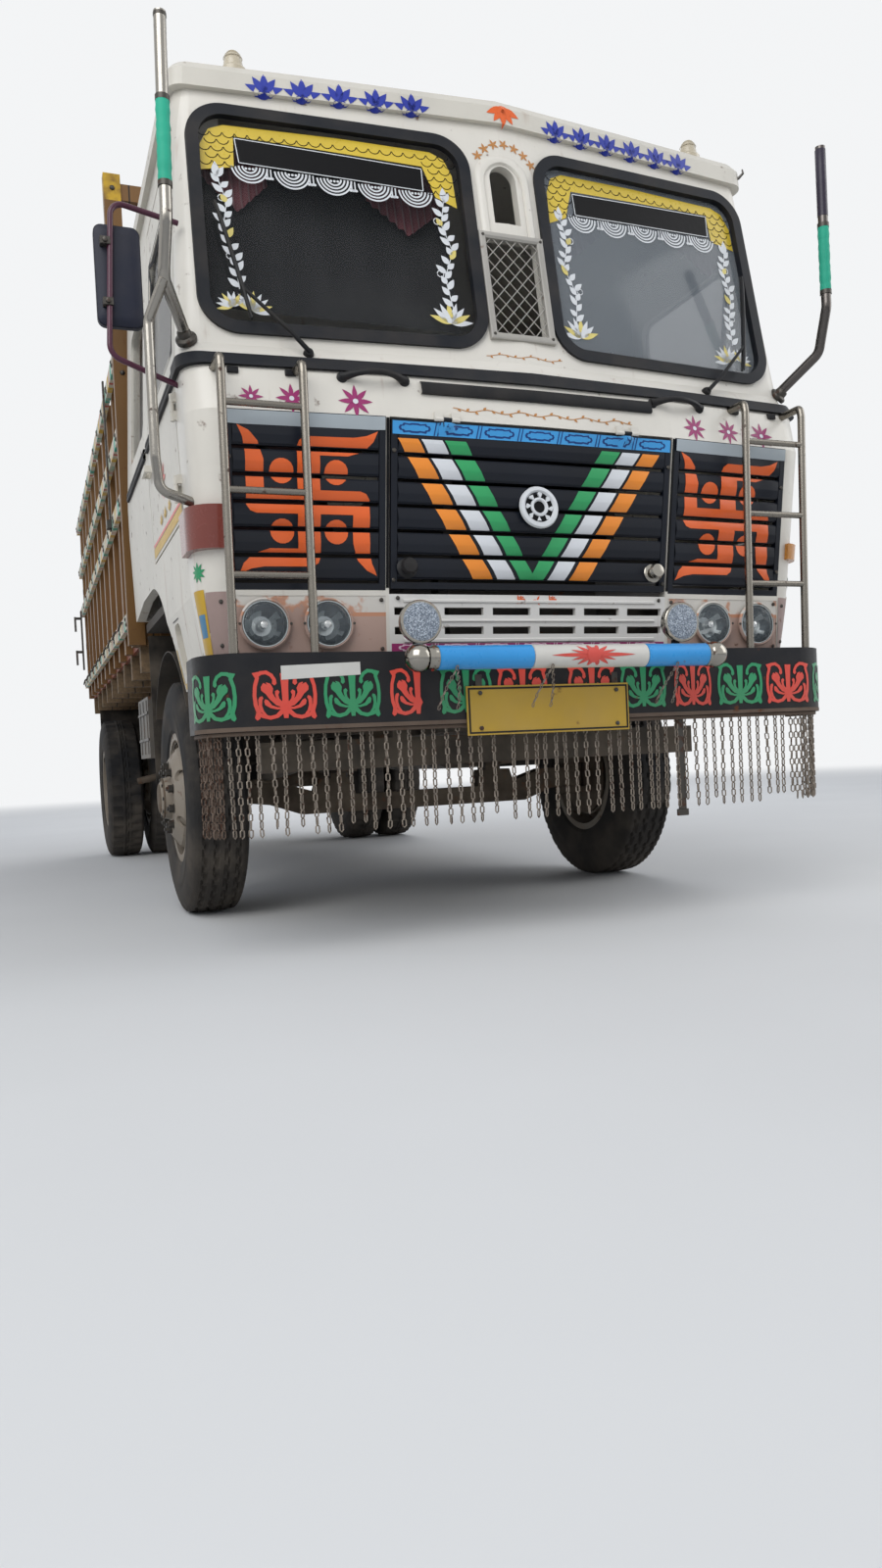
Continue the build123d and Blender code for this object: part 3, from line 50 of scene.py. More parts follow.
LOG = logging.getLogger("lorry")
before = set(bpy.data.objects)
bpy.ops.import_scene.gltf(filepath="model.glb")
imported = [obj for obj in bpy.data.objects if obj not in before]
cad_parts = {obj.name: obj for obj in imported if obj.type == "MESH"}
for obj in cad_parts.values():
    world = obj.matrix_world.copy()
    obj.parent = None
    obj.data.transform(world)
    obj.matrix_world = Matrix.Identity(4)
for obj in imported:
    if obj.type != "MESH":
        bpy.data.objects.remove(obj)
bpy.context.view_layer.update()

BUMPER_LOW, BUMPER_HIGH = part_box("front_bumper")
BUMPER_FRONT_Y = -0.130
SHIFT = Vector(((BUMPER_LOW[0] + BUMPER_HIGH[0]) / 2, BUMPER_LOW[1] - BUMPER_FRONT_Y, 0.0))
FIXED = "chassis"
AHEAD = (0, -1, 0)
SIDES = ((-1, "right"), (1, "left"))
PLANK_SHUFFLE = 12.9898
WELD = 1e-5


def srgb(code: str) -> Colour:
    """Turns a hex colour as it looks on a screen into linear light.

    Args:
        code: six hex digits, such as "e0602a".

    Returns:
        The red, green and blue in linear light.
    """
    parts = [int(code[i:i + 2], 16) / 255 for i in (0, 2, 4)]
    linear = [p / 12.92 if p <= 0.04045 else ((p + 0.055) / 1.055) ** 2.4 for p in parts]
    return (linear[0], linear[1], linear[2])


class Value:
    """A number that varies over a surface; its operators add Math nodes."""

    def __init__(self, shader: "Shader", socket: bpy.types.NodeSocket) -> None:
        """Wraps one output socket."""
        self.shader = shader
        self.socket = socket

    def math(self, operation: str, *others: Number) -> "Value":
        """Adds one Math node with this value as its first input.

        Args:
            operation: the node's operation.
            others: the further inputs, values or plain numbers.

        Returns:
            The node's result.
        """
        inputs = dict(enumerate((self, *others)))
        node = self.shader.node("ShaderNodeMath", inputs, operation=operation)
        return Value(self.shader, node.outputs[0])

    def flipped(self, operation: str, other: float) -> "Value":
        """Adds one Math node with a plain number first and this value second."""
        node = self.shader.node("ShaderNodeMath", {0: other, 1: self}, operation=operation)
        return Value(self.shader, node.outputs[0])

    def __add__(self, other: Number) -> "Value":
        """Sum."""
        return self.math("ADD", other)

    def __sub__(self, other: Number) -> "Value":
        """Difference."""
        return self.math("SUBTRACT", other)

    def __rsub__(self, other: float) -> "Value":
        """Difference from a plain number."""
        return self.flipped("SUBTRACT", other)

    def __mul__(self, other: Number) -> "Value":
        """Product."""
        return self.math("MULTIPLY", other)

    def __truediv__(self, other: Number) -> "Value":
        """Quotient."""
        return self.math("DIVIDE", other)

    def __gt__(self, other: Number) -> "Value":
        """1 where this value is the greater."""
        return self.math("GREATER_THAN", other)

    def __lt__(self, other: Number) -> "Value":
        """1 where this value is the smaller."""
        return self.math("LESS_THAN", other)

    def __abs__(self) -> "Value":
        """Size without its sign."""
        return self.math("ABSOLUTE")

    def fract(self) -> "Value":
        """What is left above the whole number."""
        return self.math("FRACT")

    def sine(self) -> "Value":
        """Sine of this value in radians."""
        return self.math("SINE")

    def step(self, low: float, high: float) -> "Value":
        """Rises smoothly from 0 at low to 1 at high."""
        node = self.shader.node("ShaderNodeMapRange", {0: self, 1: low, 2: high, 3: 0.0, 4: 1.0},
                                interpolation_type="SMOOTHSTEP")
        return Value(self.shader, node.outputs[0])


class Shader:
    """One material while its nodes are being made."""

    def __init__(self, name: str) -> None:
        """Starts an empty material with its surface shader and output."""
        self.material = bpy.data.materials.new(name)
        self.material.use_nodes = True
        self.tree = self.material.node_tree
        self.tree.nodes.clear()
        self.surface = self.tree.nodes.new("ShaderNodeBsdfPrincipled")
        self.output = self.tree.nodes.new("ShaderNodeOutputMaterial")
        self.tree.links.new(self.surface.outputs[0], self.output.inputs[0])
        self.place = self.node("ShaderNodeTexCoord", {}).outputs[3]
        parts = self.node("ShaderNodeSeparateXYZ", {0: self.place}).outputs
        self.x, self.y, self.z = (Value(self, part) for part in parts)

    def node(self, kind: str, inputs: dict, **settings: object) -> bpy.types.Node:
        """Adds one node.

        Args:
            kind: the node's type.
            inputs: values or links by the input's name or number.
            settings: the node's own settings, set first.

        Returns:
            The node.
        """
        node = self.tree.nodes.new(kind)
        for key, setting in settings.items():
            setattr(node, key, setting)
        for key, source in inputs.items():
            self.feed(node.inputs[key], source)
        return node

    def feed(self, target: bpy.types.NodeSocket, source: object) -> None:
        """Links a value or socket to an input, or sets its plain number or colour."""
        if isinstance(source, Value):
            self.tree.links.new(source.socket, target)
        elif isinstance(source, bpy.types.NodeSocket):
            self.tree.links.new(source, target)
        elif isinstance(source, tuple) and target.type == "RGBA":
            target.default_value = (*source[:3], 1.0)
        else:
            target.default_value = source

    def set(self, **inputs: object) -> None:
        """Sets or links the surface shader's inputs; underscores stand for spaces."""
        for key, source in inputs.items():
            self.feed(self.surface.inputs[key.replace("_", " ")], source)

    def mix(self, factor: Number, first: object, second: object) -> bpy.types.NodeSocket:
        """Mixes two colours.

        Args:
            factor: 0 for the first, 1 for the second.
            first: a colour or a socket.
            second: a colour or a socket.

        Returns:
            The mixed colour's socket.
        """
        return self.node("ShaderNodeMix", {0: factor, 6: first, 7: second}, data_type="RGBA").outputs[2]

    def scaled(self, size: Point3) -> bpy.types.NodeSocket:
        """The place on the lorry, stretched along each axis."""
        node = self.node("ShaderNodeMapping", {0: self.place, 3: tuple(size)})
        return node.outputs[0]

    def noise(self, scale: float, detail: float = 3.0, stretch: Optional[Point3] = None) -> Value:
        """Soft random variation from 0 to 1.

        Args:
            scale: how many lumps there are in a metre.
            detail: how many finer layers are added.
            stretch: lumps in a metre along x, y and z, in place of one scale.

        Returns:
            The variation.
        """
        source = self.place if stretch is None else self.scaled(stretch)
        inputs = {"Vector": source, "Scale": scale if stretch is None else 1.0, "Detail": detail}
        return Value(self, self.node("ShaderNodeTexNoise", inputs).outputs[0])

    def cells(self, scale: float, feature: str = "F1") -> Value:
        """Distance to the nearest of many scattered points."""
        node = self.node("ShaderNodeTexVoronoi", {"Vector": self.place, "Scale": scale}, feature=feature)
        return Value(self, node.outputs[0])

    def bump(self, height: Number, strength: float, distance: float) -> None:
        """Raises the surface's shading by a height."""
        node = self.node("ShaderNodeBump", {"Height": height, "Strength": strength, "Distance": distance})
        self.set(Normal=node.outputs[0])


Pattern = Callable[[Shader, object], object]


@dataclass(frozen=True)
class Paint:
    """Brushed enamel on steel, with the dust, stains and rust of long use."""

    name: str
    colour: Colour
    roughness: float = 0.42
    coat: float = 0.15
    metallic: float = 0.0
    tone: float = 0.18
    dust: float = 0.35
    streaks: float = 0.0
    rust: float = 0.0
    grain: float = 0.12
    gloss: float = 0.32
    pattern: Optional[Pattern] = None

    def build(self) -> bpy.types.Material:
        """Makes the material.

        Returns:
            The finished material.
        """
        shader = Shader(self.name)
        shade = tuple(c * (1 - self.tone) for c in self.colour)
        base: object = shader.mix(shader.noise(2.6, 5).step(0.3, 0.75), self.colour, shade)
        if self.pattern:
            base = self.pattern(shader, base)
        fine = shader.noise(55, 4)
        rough = fine * 0.22 + (self.roughness - 0.11)
        if self.streaks:
            run = shader.noise(1, 3, (26, 26, 1.1)).step(0.60, 0.78) * shader.noise(5, 2).step(0.38, 0.7)
            base = shader.mix(run * self.streaks, base, srgb("8a5a34"))
        if self.rust:
            spots = shader.noise(19, 8).step(0.70 - 0.16 * self.rust, 0.80 - 0.12 * self.rust)
            tint = shader.mix(fine, srgb("6e3f22"), srgb("3c2415"))
            base = shader.mix(spots, base, tint)
            rough = rough + spots * 0.4
        if self.dust:
            low = (1.5 - shader.z).step(0.0, 1.5) * self.dust
            film = low * (shader.noise(7, 5).step(0.3, 0.7) * 0.7 + 0.3)
            base = shader.mix(film, base, srgb("857868"))
            rough = rough + film * 0.3
        shader.set(Base_Color=base, Roughness=rough, Metallic=self.metallic)
        shader.set(Coat_Weight=self.coat, Coat_Roughness=0.25, Specular_IOR_Level=self.gloss)
        shader.bump(fine + shader.noise(9, 3) * 1.5, self.grain, 0.002)
        return shader.material


@dataclass(frozen=True)
class Steel:
    """Bare, plated or rusty metal."""

    name: str
    colour: Colour
    roughness: float = 0.3
    metallic: float = 1.0
    rust: float = 0.3
    scale: float = 30.0
    left_darkening: float = 0.0

    def build(self) -> bpy.types.Material:
        """Makes the material, pitted with rust where the plate has gone and darker on the lorry's left."""
        shader = Shader(self.name)
        fine = shader.noise(self.scale * 2, 5)
        pits = shader.noise(self.scale, 7).step(0.68 - 0.3 * self.rust, 0.78 - 0.24 * self.rust)
        worn = shader.mix(fine, srgb("5a3a26"), srgb("2e2019"))
        plate: object = self.colour
        # The plate is mixed towards a dark purplish grey on the lorry's left, where x is above 0.5.
        if self.left_darkening:
            plate = shader.mix((shader.x > 0.5) * self.left_darkening, self.colour, srgb("2f282c"))
        shader.set(Base_Color=shader.mix(pits, plate, worn), Metallic=(1 - pits * 0.85) * self.metallic)
        shader.set(Roughness=fine * 0.2 + pits * 0.45 + (self.roughness - 0.1))
        shader.bump(fine * 0.5 + pits, 0.25, 0.0015)
        return shader.material


@dataclass(frozen=True)
class Rubber:
    """Weathered rubber or moulded plastic, dusty towards the ground."""

    name: str
    colour: Colour
    roughness: float = 0.72
    dust: float = 0.5
    grain: float = 0.3

    def build(self) -> bpy.types.Material:
        """Makes the material, greyed where dust and sun have worked on it."""
        shader = Shader(self.name)
        grey = shader.noise(6, 6).step(0.35, 0.8)
        film = grey * self.dust + (0.6 - shader.z).step(0.0, 0.6) * (0.5 * self.dust)
        shader.set(Base_Color=shader.mix(film, self.colour, srgb("6f665b")))
        shader.set(Roughness=grey * 0.15 + self.roughness, Specular_IOR_Level=0.2)
        shader.bump(shader.noise(140, 3), self.grain, 0.001)
        return shader.material


@dataclass(frozen=True)
class Glass:
    """Tinted pane with dried rain on it; with a pattern, the passenger's pane is more opaque and carries a
    painted reflection of the sky.
    """

    name: str
    tint: Colour
    alpha: float = 0.4
    roughness: float = 0.06
    pattern: Optional[Pattern] = None

    def build(self) -> bpy.types.Material:
        """Makes the material, a thin see-through film."""
        shader = Shader(self.name)
        stain = shader.noise(2.2, 3).step(0.42, 0.8)
        tint: object = self.pattern(shader, self.tint) if self.pattern else self.tint
        shader.set(Base_Color=shader.mix(stain * 0.16, tint, srgb("8e8f8c")))
        # Painted sky reflection: the passenger's pane, x above 0.08, is made more opaque so that its painted
        # grey shows.
        bright = (shader.x > 0.08) * 0.36 if self.pattern else 0.0
        shader.set(Alpha=stain * 0.06 + bright + self.alpha, Roughness=stain * 0.1 + self.roughness)
        shader.set(IOR=1.5, Specular_IOR_Level=0.3)
        return shader.material


@dataclass(frozen=True)
class FlutedGlass:
    """A lamp's clear glass with upright flutes pressed into it."""

    name: str
    tint: Colour
    alpha: float = 0.2
    pitch: float = 0.0055

    def build(self) -> bpy.types.Material:
        """Makes the material; each flute's crest is painted paler and more opaque, a painted highlight
        streak.
        """
        shader = Shader(self.name)
        flute = (shader.x * (math.tau / self.pitch)).sine() * 0.5 + 0.5
        mist = shader.noise(22, 3).step(0.35, 0.75)
        # Painted highlight: paler colour and more opacity along each flute's crest; the bump is the real
        # fluting.
        shader.set(Base_Color=shader.mix(flute, self.tint, srgb("b9c2c8")))
        shader.set(Alpha=flute.step(0.6, 1.0) * 0.2 + mist * 0.05 + self.alpha, Roughness=mist * 0.1 + 0.04)
        shader.set(IOR=1.5, Specular_IOR_Level=0.6)
        shader.bump(flute, 0.15, 0.0008)
        return shader.material


@dataclass(frozen=True)
class Timber:
    """Worn planks, grained along the lorry."""

    name: str
    colour: Colour
    plank: float = 0.14
    stretch: Point3 = (60.0, 3.0, 60.0)

    def build(self) -> bpy.types.Material:
        """Makes the material, with a tone to each plank and dark joints."""
        shader = Shader(self.name)
        across = shader.x / self.plank
        joint = abs(across.fract() - 0.5).step(0.46, 0.49)
        grain = shader.noise(1, 6, self.stretch)
        board = (across.math("FLOOR") * PLANK_SHUFFLE).sine() * 0.5 + 0.5
        dark = tuple(c * 0.45 for c in self.colour)
        base = shader.mix(grain.step(0.35, 0.7), self.colour, dark)
        base = shader.mix(board * 0.35, base, srgb("8c7a62"))
        base = shader.mix(shader.noise(3, 6).step(0.5, 0.8) * 0.5, base, srgb("4a4036"))
        shader.set(Base_Color=shader.mix(joint, base, (0.01, 0.008, 0.006)), Roughness=grain * 0.2 + 0.68)
        shader.bump(grain * 0.6 - joint * 2, 0.4, 0.002)
        return shader.material


@dataclass(frozen=True)
class Cloth:
    """Woven or pile cloth, and stitched leatherette with a finer grain."""

    name: str
    colour: Colour
    second: Colour
    weave: float = 700.0
    roughness: float = 0.85
    alpha: float = 1.0
    sheen: float = 0.3

    def build(self) -> bpy.types.Material:
        """Makes the material from two crossed sets of threads."""
        shader = Shader(self.name)
        warp = (shader.x * self.weave).sine()
        weft = (shader.z * self.weave).sine()
        thread = warp * weft * 0.5 + 0.5
        fade = shader.noise(5, 4).step(0.3, 0.75)
        shader.set(Base_Color=shader.mix(thread * 0.4 + fade * 0.5, self.colour, self.second))
        shader.set(Roughness=fade * 0.1 + (self.roughness - 0.05), Sheen_Weight=self.sheen, Alpha=self.alpha)
        shader.bump(thread + shader.noise(60, 3), 0.3, 0.001)
        return shader.material


Finish = Union[Paint, Steel, Rubber, Glass, FlutedGlass, Timber, Cloth]


class Shop:
    """Keeps one material for each finish."""

    made: dict[str, bpy.types.Material] = {}

    @classmethod
    def material(cls, finish: Finish) -> bpy.types.Material:
        """Returns the finish's material, made at its first use."""
        if finish.name not in cls.made:
            cls.made[finish.name] = finish.build()
        return cls.made[finish.name]


def spread(start: float, end: float, count: int) -> list[float]:
    """Evenly spaced numbers from start to end, in so many steps."""
    return [start + (end - start) * k / count for k in range(count + 1)]


def circle(count: int, shift: float = 0.0) -> list[Point2]:
    """The cosine and sine of evenly spaced angles; shift is the first one's, in steps."""
    angles = [math.tau * (k + shift) / count for k in range(count)]
    return [(math.cos(angle), math.sin(angle)) for angle in angles]


def rect(x0: float, x1: float, z0: float, z1: float) -> list[Point2]:
    """A rectangle's corners, from its lower left one round."""
    return [(x0, z0), (x1, z0), (x1, z1), (x0, z1)]


def placed(shape: Sequence[Point2], angle: float, u: float = 0.0, v: float = 0.0) -> list[Point2]:
    """A shape turned about the origin by an angle in radians, then moved to (u, v)."""
    c, s = math.cos(angle), math.sin(angle)
    return [(u + a * c - b * s, v + a * s + b * c) for a, b in shape]


def shifted(outline: Sequence[Point2], move: Matrix) -> list[Point2]:
    """An outline moved by a matrix."""
    moved = [move @ Vector((u, v, 0)) for u, v in outline]
    return [(p.x, p.y) for p in moved]


class Form:
    """Geometry gathered part by part, which becomes one mesh in the lorry's own axes."""

    def __init__(self, *finishes: Finish) -> None:
        """Starts an empty form whose faces are marked with these finishes by number."""
        self.finishes = finishes
        self.points: list[Vector] = []
        self.faces: list[tuple[int, ...]] = []
        self.marks: list[int] = []

    def add(self, points: Iterable[Point3], faces: Iterable[Sequence[int]], mark: int = 0) -> None:
        """Adds points and the faces between them.

        Args:
            points: the new points.
            faces: indices into the new points.
            mark: which finish they take.
        """
        base = len(self.points)
        self.points.extend(Vector(p) for p in points)
        for face in faces:
            self.faces.append(tuple(base + i for i in face))
            self.marks.append(mark)

    def rings(self, rings: Sequence[Sequence[Point3]], mark: int = 0, round_trip: bool = False,
              caps: bool = True) -> None:
        """Skins a row of rings of equal count.

        Args:
            rings: each ring's points in order.
            mark: which finish they take.
            round_trip: whether the last ring joins the first.
            caps: whether the two ends are closed.
        """
        count = len(rings[0])
        points = [p for ring in rings for p in ring]
        faces: list[Sequence[int]] = []
        last = len(rings) if round_trip else len(rings) - 1
        for i in range(last):
            low, high = i * count, (i + 1) % len(rings) * count
            faces += [(low + k, low + (k + 1) % count, high + (k + 1) % count, high + k)
                      for k in range(count)]
        if caps and not round_trip:
            faces += [tuple(reversed(range(count))), tuple(range(len(points) - count, len(points)))]
        self.add(points, faces, mark)

    def box(self, low: Point3, high: Point3, mark: int = 0, ease: float = 0.0) -> None:
        """Adds a box whose upright edges are cut back by ease."""
        (x0, y0, z0), (x1, y1, z1) = low, high
        e = min(ease, (x1 - x0) / 3, (y1 - y0) / 3, (z1 - z0) / 3)

        def ring(z: float, cut: float) -> list[Point3]:
            """One level of the box, drawn in by cut."""
            a, b, c, d = x0 + cut, x1 - cut, y0 + cut, y1 - cut
            if e == 0:
                return [(a, c, z), (b, c, z), (b, d, z), (a, d, z)]
            return [(a + e, c, z), (b - e, c, z), (b, c + e, z), (b, d - e, z),
                    (b - e, d, z), (a + e, d, z), (a, d - e, z), (a, c + e, z)]

        levels = [ring(z0, 0), ring(z1, 0)] if e == 0 else [ring(z0, e * 0.6), ring(z0 + e * 0.6, 0),
                                                           ring(z1 - e * 0.6, 0), ring(z1, e * 0.6)]
        self.rings(levels, mark)

    def tube(self, path: Sequence[Point3], radius: Union[float, Sequence[float]], sides: int = 10,
             mark: int = 0, closed: bool = False) -> None:
        """Adds a round bar along a path.

        Args:
            path: the points of its centre line.
            radius: one radius, or one at each point.
            sides: faces round it.
            mark: which finish it takes.
            closed: whether it runs back into itself.
        """
        line = [Vector(p) for p in path]
        count = len(line)
        sizes = [radius] * count if isinstance(radius, (int, float)) else list(radius)
        rings = []
        turns = circle(sides)
        up = Vector((0.31, 0.22, 0.92))
        for i, centre in enumerate(line):
            before = line[i - 1] if i or closed else centre
            after = line[(i + 1) % count] if i < count - 1 or closed else centre
            along = (after - before).normalized()
            side = along.cross(up)
            if side.length < 0.2:
                side = along.cross(Vector((1, 0, 0)))
            side.normalize()
            lift = side.cross(along).normalized()
            up = lift
            rings.append([centre + (side * c + lift * s) * sizes[i] for c, s in turns])
        self.rings(rings, mark, closed)

    def turned(self, profile: Sequence[Point2], centre: Point3, axis: Point3 = (1, 0, 0), sides: int = 24,
               mark: int = 0, closed: bool = False) -> None:
        """Adds a solid of revolution.

        Args:
            profile: places along the axis and radii, from one end to the other.
            centre: the profile's zero point.
            axis: its direction.
            sides: faces round it.
            mark: which finish it takes.
            closed: whether the profile runs back to its start, as on a ring.
        """
        turn = Vector((0, 0, 1)).rotation_difference(Vector(axis)).to_matrix()
        rings = []
        for along, radius in profile:
            ring = [Vector((radius * c, radius * s, along)) for c, s in circle(sides)]
            rings.append([Vector(centre) + turn @ p for p in ring])
        self.rings(rings, mark, closed)

    def mesh(self, name: str) -> bpy.types.Object:
        """Turns the gathered geometry into an object at the origin, in the frame's axes."""
        data = bpy.data.meshes.new(name)
        data.from_pydata([p + SHIFT for p in self.points], [], self.faces)
        data.polygons.foreach_set("material_index", self.marks)
        for finish in self.finishes:
            data.materials.append(Shop.material(finish))
        data.update()
        piece = bpy.data.objects.new(name, data)
        bpy.context.scene.collection.objects.link(piece)
        return piece


def finish_piece(piece: bpy.types.Object, body: str, solid: bool = True,
                 angle: float = 38.0) -> bpy.types.Object:
    """Cleans a mesh, shades it and fixes it to a body.

    Args:
        piece: the object, at the origin.
        body: the CAD body that carries it.
        solid: whether it is closed, so that its faces can be turned outwards.
        angle: edges sharper than this many degrees stay crisp.

    Returns:
        The same object.
    """
    shape = bmesh.new()
    shape.from_mesh(piece.data)
    bmesh.ops.remove_doubles(shape, verts=shape.verts, dist=WELD)
    bmesh.ops.dissolve_degenerate(shape, dist=1e-6, edges=shape.edges)
    if solid:
        bmesh.ops.recalc_face_normals(shape, faces=shape.faces)
    shape.to_mesh(piece.data)
    shape.free()
    piece.data.polygons.foreach_set("use_smooth", [True] * len(piece.data.polygons))
    piece.data.set_sharp_from_angle(angle=math.radians(angle))
    piece.data.update()
    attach(piece, body)
    LOG.info("%s: %d faces on %s", piece.name, len(piece.data.polygons), body)
    return piece


@dataclass
class Wall:
    """Some of the lorry's surfaces, seen along one direction, that paint is laid on."""

    nodes: Sequence[str]
    place: Callable[[float, float], tuple[Vector, Vector]]
    extra: Sequence[bpy.types.Object] = ()
    reach: float = 6.0

    def __post_init__(self) -> None:
        """Gathers the triangles of the nodes and of any pieces laid over them."""
        points: list[Vector] = []
        faces: list[list[int]] = []
        for piece in [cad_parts[n] for n in self.nodes] + list(self.extra):
            base = len(points)
            points += [v.co - SHIFT for v in piece.data.vertices]
            faces += [[base + i for i in p.vertices] for p in piece.data.polygons]
        self.tree = BVHTree.FromPolygons(points, faces)

    def at(self, u: float, v: float, lift: float) -> Optional[Vector]:
        """The point of the surface at (u, v), raised by lift towards the viewer."""
        start, way = self.place(u, v)
        hit = self.tree.ray_cast(start, way, self.reach)[0]
        if hit is None:
            return None
        return hit - way * lift


def front_place(u: float, v: float) -> tuple[Vector, Vector]:
    """Looks at the lorry's front: u is x and v is z."""
    return Vector((u, -1.5, v)), Vector((0, 1, 0))


def rear_place(u: float, v: float) -> tuple[Vector, Vector]:
    """Looks at the lorry's rear: u is x and v is z."""
    return Vector((u, 7.5, v)), Vector(AHEAD)


def side_place(side: int) -> Callable[[float, float], tuple[Vector, Vector]]:
    """Looks at one side: u is y and v is z.

    Args:
        side: 1 for the lorry's left side (+x), -1 for its right.

    Returns:
        The place function.
    """
    return lambda u, v: (Vector((side * 2.5, u, v)), Vector((-side, 0, 0)))


BUMPER_HALF = 1.221
BUMPER_CORNER = 0.170
BUMPER_REACH = BUMPER_HALF - BUMPER_CORNER + BUMPER_CORNER * math.pi / 2
STAND_OFF = 0.2
COAT = 0.0007


def bumper_place(u: float, v: float) -> tuple[Vector, Vector]:
    """Follows the bumper round its corners: u is the way along it from its middle."""
    side = 1 if u >= 0 else -1
    flat = BUMPER_HALF - BUMPER_CORNER
    along = abs(u) - flat
    if along <= 0:
        return Vector((u, BUMPER_FRONT_Y - STAND_OFF, v)), Vector((0, 1, 0))
    angle = min(along / BUMPER_CORNER, math.pi / 2)
    rest = max(along - BUMPER_CORNER * math.pi / 2, 0.0)
    out = Vector((side * math.sin(angle), -math.cos(angle), 0))
    centre = Vector((side * flat, BUMPER_FRONT_Y + BUMPER_CORNER + rest, v))
    return centre + out * (BUMPER_CORNER + STAND_OFF), -out


class Skin(Form):
    """Painted shapes laid on a wall, each a thin skin that follows the surface."""

    inside_only = 1
    close_enough = 1e-6
    inner_step = 0.97
    longest_span = 2.4

    def __init__(self, wall: Wall, *finishes: Finish, lift: float = 0.0014, pace: float = 0.035) -> None:
        """Starts a skin on one wall; pace is the longest edge of its triangles."""
        super().__init__(*finishes)
        self.wall = wall
        self.lift = lift
        self.pace = pace

    def lay(self, outline: Sequence[Point2], mark: int = 0, coat: float = 0.0) -> None:
        """Lays one painted shape, without the triangles that would leave the surface.

        Args:
            outline: its corners.
            mark: which finish it takes.
            coat: how many coats it lies over.
        """
        coords: list[Vector] = []
        for (x0, y0), (x1, y1) in zip(outline, [*outline[1:], outline[0]]):
            cuts = max(1, int(math.hypot(x1 - x0, y1 - y0) / self.pace))
            coords += [Vector((x0 + (x1 - x0) * k / cuts, y0 + (y1 - y0) * k / cuts)) for k in range(cuts)]
        edges = [(k, (k + 1) % len(coords)) for k in range(len(coords))]
        step = self.pace * self.inner_step
        low = [min(p[i] for p in coords) for i in (0, 1)]
        high = [max(p[i] for p in coords) for i in (0, 1)]
        for i in range(1, int((high[0] - low[0]) / self.pace) + 1):
            for k in range(1, int((high[1] - low[1]) / self.pace) + 1):
                coords.append(Vector((low[0] + i * step, low[1] + k * step)))
        flat, _, faces, *_ = delaunay_2d_cdt(coords, edges, [], self.inside_only, self.close_enough)
        points = [self.wall.at(p.x, p.y, self.lift + COAT * coat) for p in flat]
        middle = flat[faces[0][0]] if faces else Vector((0, 0))
        way = self.wall.place(middle.x, middle.y)[1]
        kept = []
        for face in faces:
            corners = [points[i] for i in face]
            if any(c is None for c in corners):
                continue
            span = max((a - b).length for a in corners for b in corners)
            if span > self.pace * self.longest_span:
                continue
            facing = (corners[1] - corners[0]).cross(corners[2] - corners[0])
            kept.append(tuple(face) if facing.dot(way) < 0 else tuple(reversed(face)))
        used = sorted({i for face in kept for i in face})
        number = {old: new for new, old in enumerate(used)}
        self.add([points[i] for i in used], [[number[i] for i in face] for face in kept], mark)

    def lattice(self, rows: Sequence[Sequence[tuple[float, float, float]]]) -> None:
        """Lays a raised strip from rows of (u, v, lift), from its lower edge to its upper one."""
        points = [[self.wall.at(u, v, lift) for u, v, lift in row] for row in rows]
        count = len(points[0])
        columns = [k for k in range(count) if all(row[k] is not None for row in points)]
        if len(columns) < 2:
            return
        flat = [row[k] for row in points for k in columns]
        width = len(columns)
        faces = [(r * width + k, r * width + k + 1, (r + 1) * width + k + 1, (r + 1) * width + k)
                 for r in range(len(rows) - 1) for k in range(width - 1)]
        way = self.wall.place(rows[0][0][0], rows[0][0][1])[1]
        total = Vector((0, 0, 0))
        for a, b, c, _ in faces:
            total += (flat[b] - flat[a]).cross(flat[c] - flat[a])
        if total.dot(way) > 0:
            faces = [tuple(reversed(face)) for face in faces]
        self.add(flat, faces)

    def strip(self, row: Sequence[float], section: Sequence[Point2]) -> None:
        """Lays a raised strip along a row, from its section's heights and lifts."""
        self.lattice([[(u, v, lift) for u in row] for v, lift in section])

    def lay_all(self, shapes: Iterable[Sequence[Point2]], mark: int, move: Matrix, coat: float = 0.0) -> None:
        """Lays the shapes of one ornament in one finish, moved into place."""
        for outline in shapes:
            self.lay(shifted(outline, move), mark, coat)


def spot(u: float, v: float, size: float = 1.0, turn: float = 0.0) -> Matrix:
    """Where an ornament goes on its wall.

    Args:
        u: its middle along the wall.
        v: its middle's height.
        size: its scale.
        turn: its turn in degrees.

    Returns:
        The matrix that moves it there.
    """
    scale = Matrix.Diagonal((size, size, 1, 1))
    return Matrix.Translation((u, v, 0)) @ Matrix.Rotation(math.radians(turn), 4, "Z") @ scale


def stroke(path: Sequence[Point2], widths: Union[float, Sequence[float]],
           round_end: bool = True) -> list[Point2]:
    """The outline of a brush stroke.

    Args:
        path: the brush's way.
        widths: one width, or one at each point.
        round_end: whether the last end is rounded by one more point.

    Returns:
        The outline's corners.
    """
    count = len(path)
    sizes = [widths] * count if isinstance(widths, (int, float)) else list(widths)
    left, right = [], []
    for i, (u, v) in enumerate(path):
        (u0, v0), (u1, v1) = path[max(i - 1, 0)], path[min(i + 1, count - 1)]
        length = math.hypot(u1 - u0, v1 - v0) or 1
        nu, nv = -(v1 - v0) / length, (u1 - u0) / length
        left.append((u + nu * sizes[i] / 2, v + nv * sizes[i] / 2))
        right.append((u - nu * sizes[i] / 2, v - nv * sizes[i] / 2))
    tip = []
    if round_end and sizes[-1] > 0:
        (u0, v0), (u1, v1) = path[-2], path[-1]
        length = math.hypot(u1 - u0, v1 - v0) or 1
        tip = [(u1 + (u1 - u0) / length * sizes[-1] / 2, v1 + (v1 - v0) / length * sizes[-1] / 2)]
    return left + tip + right[::-1]


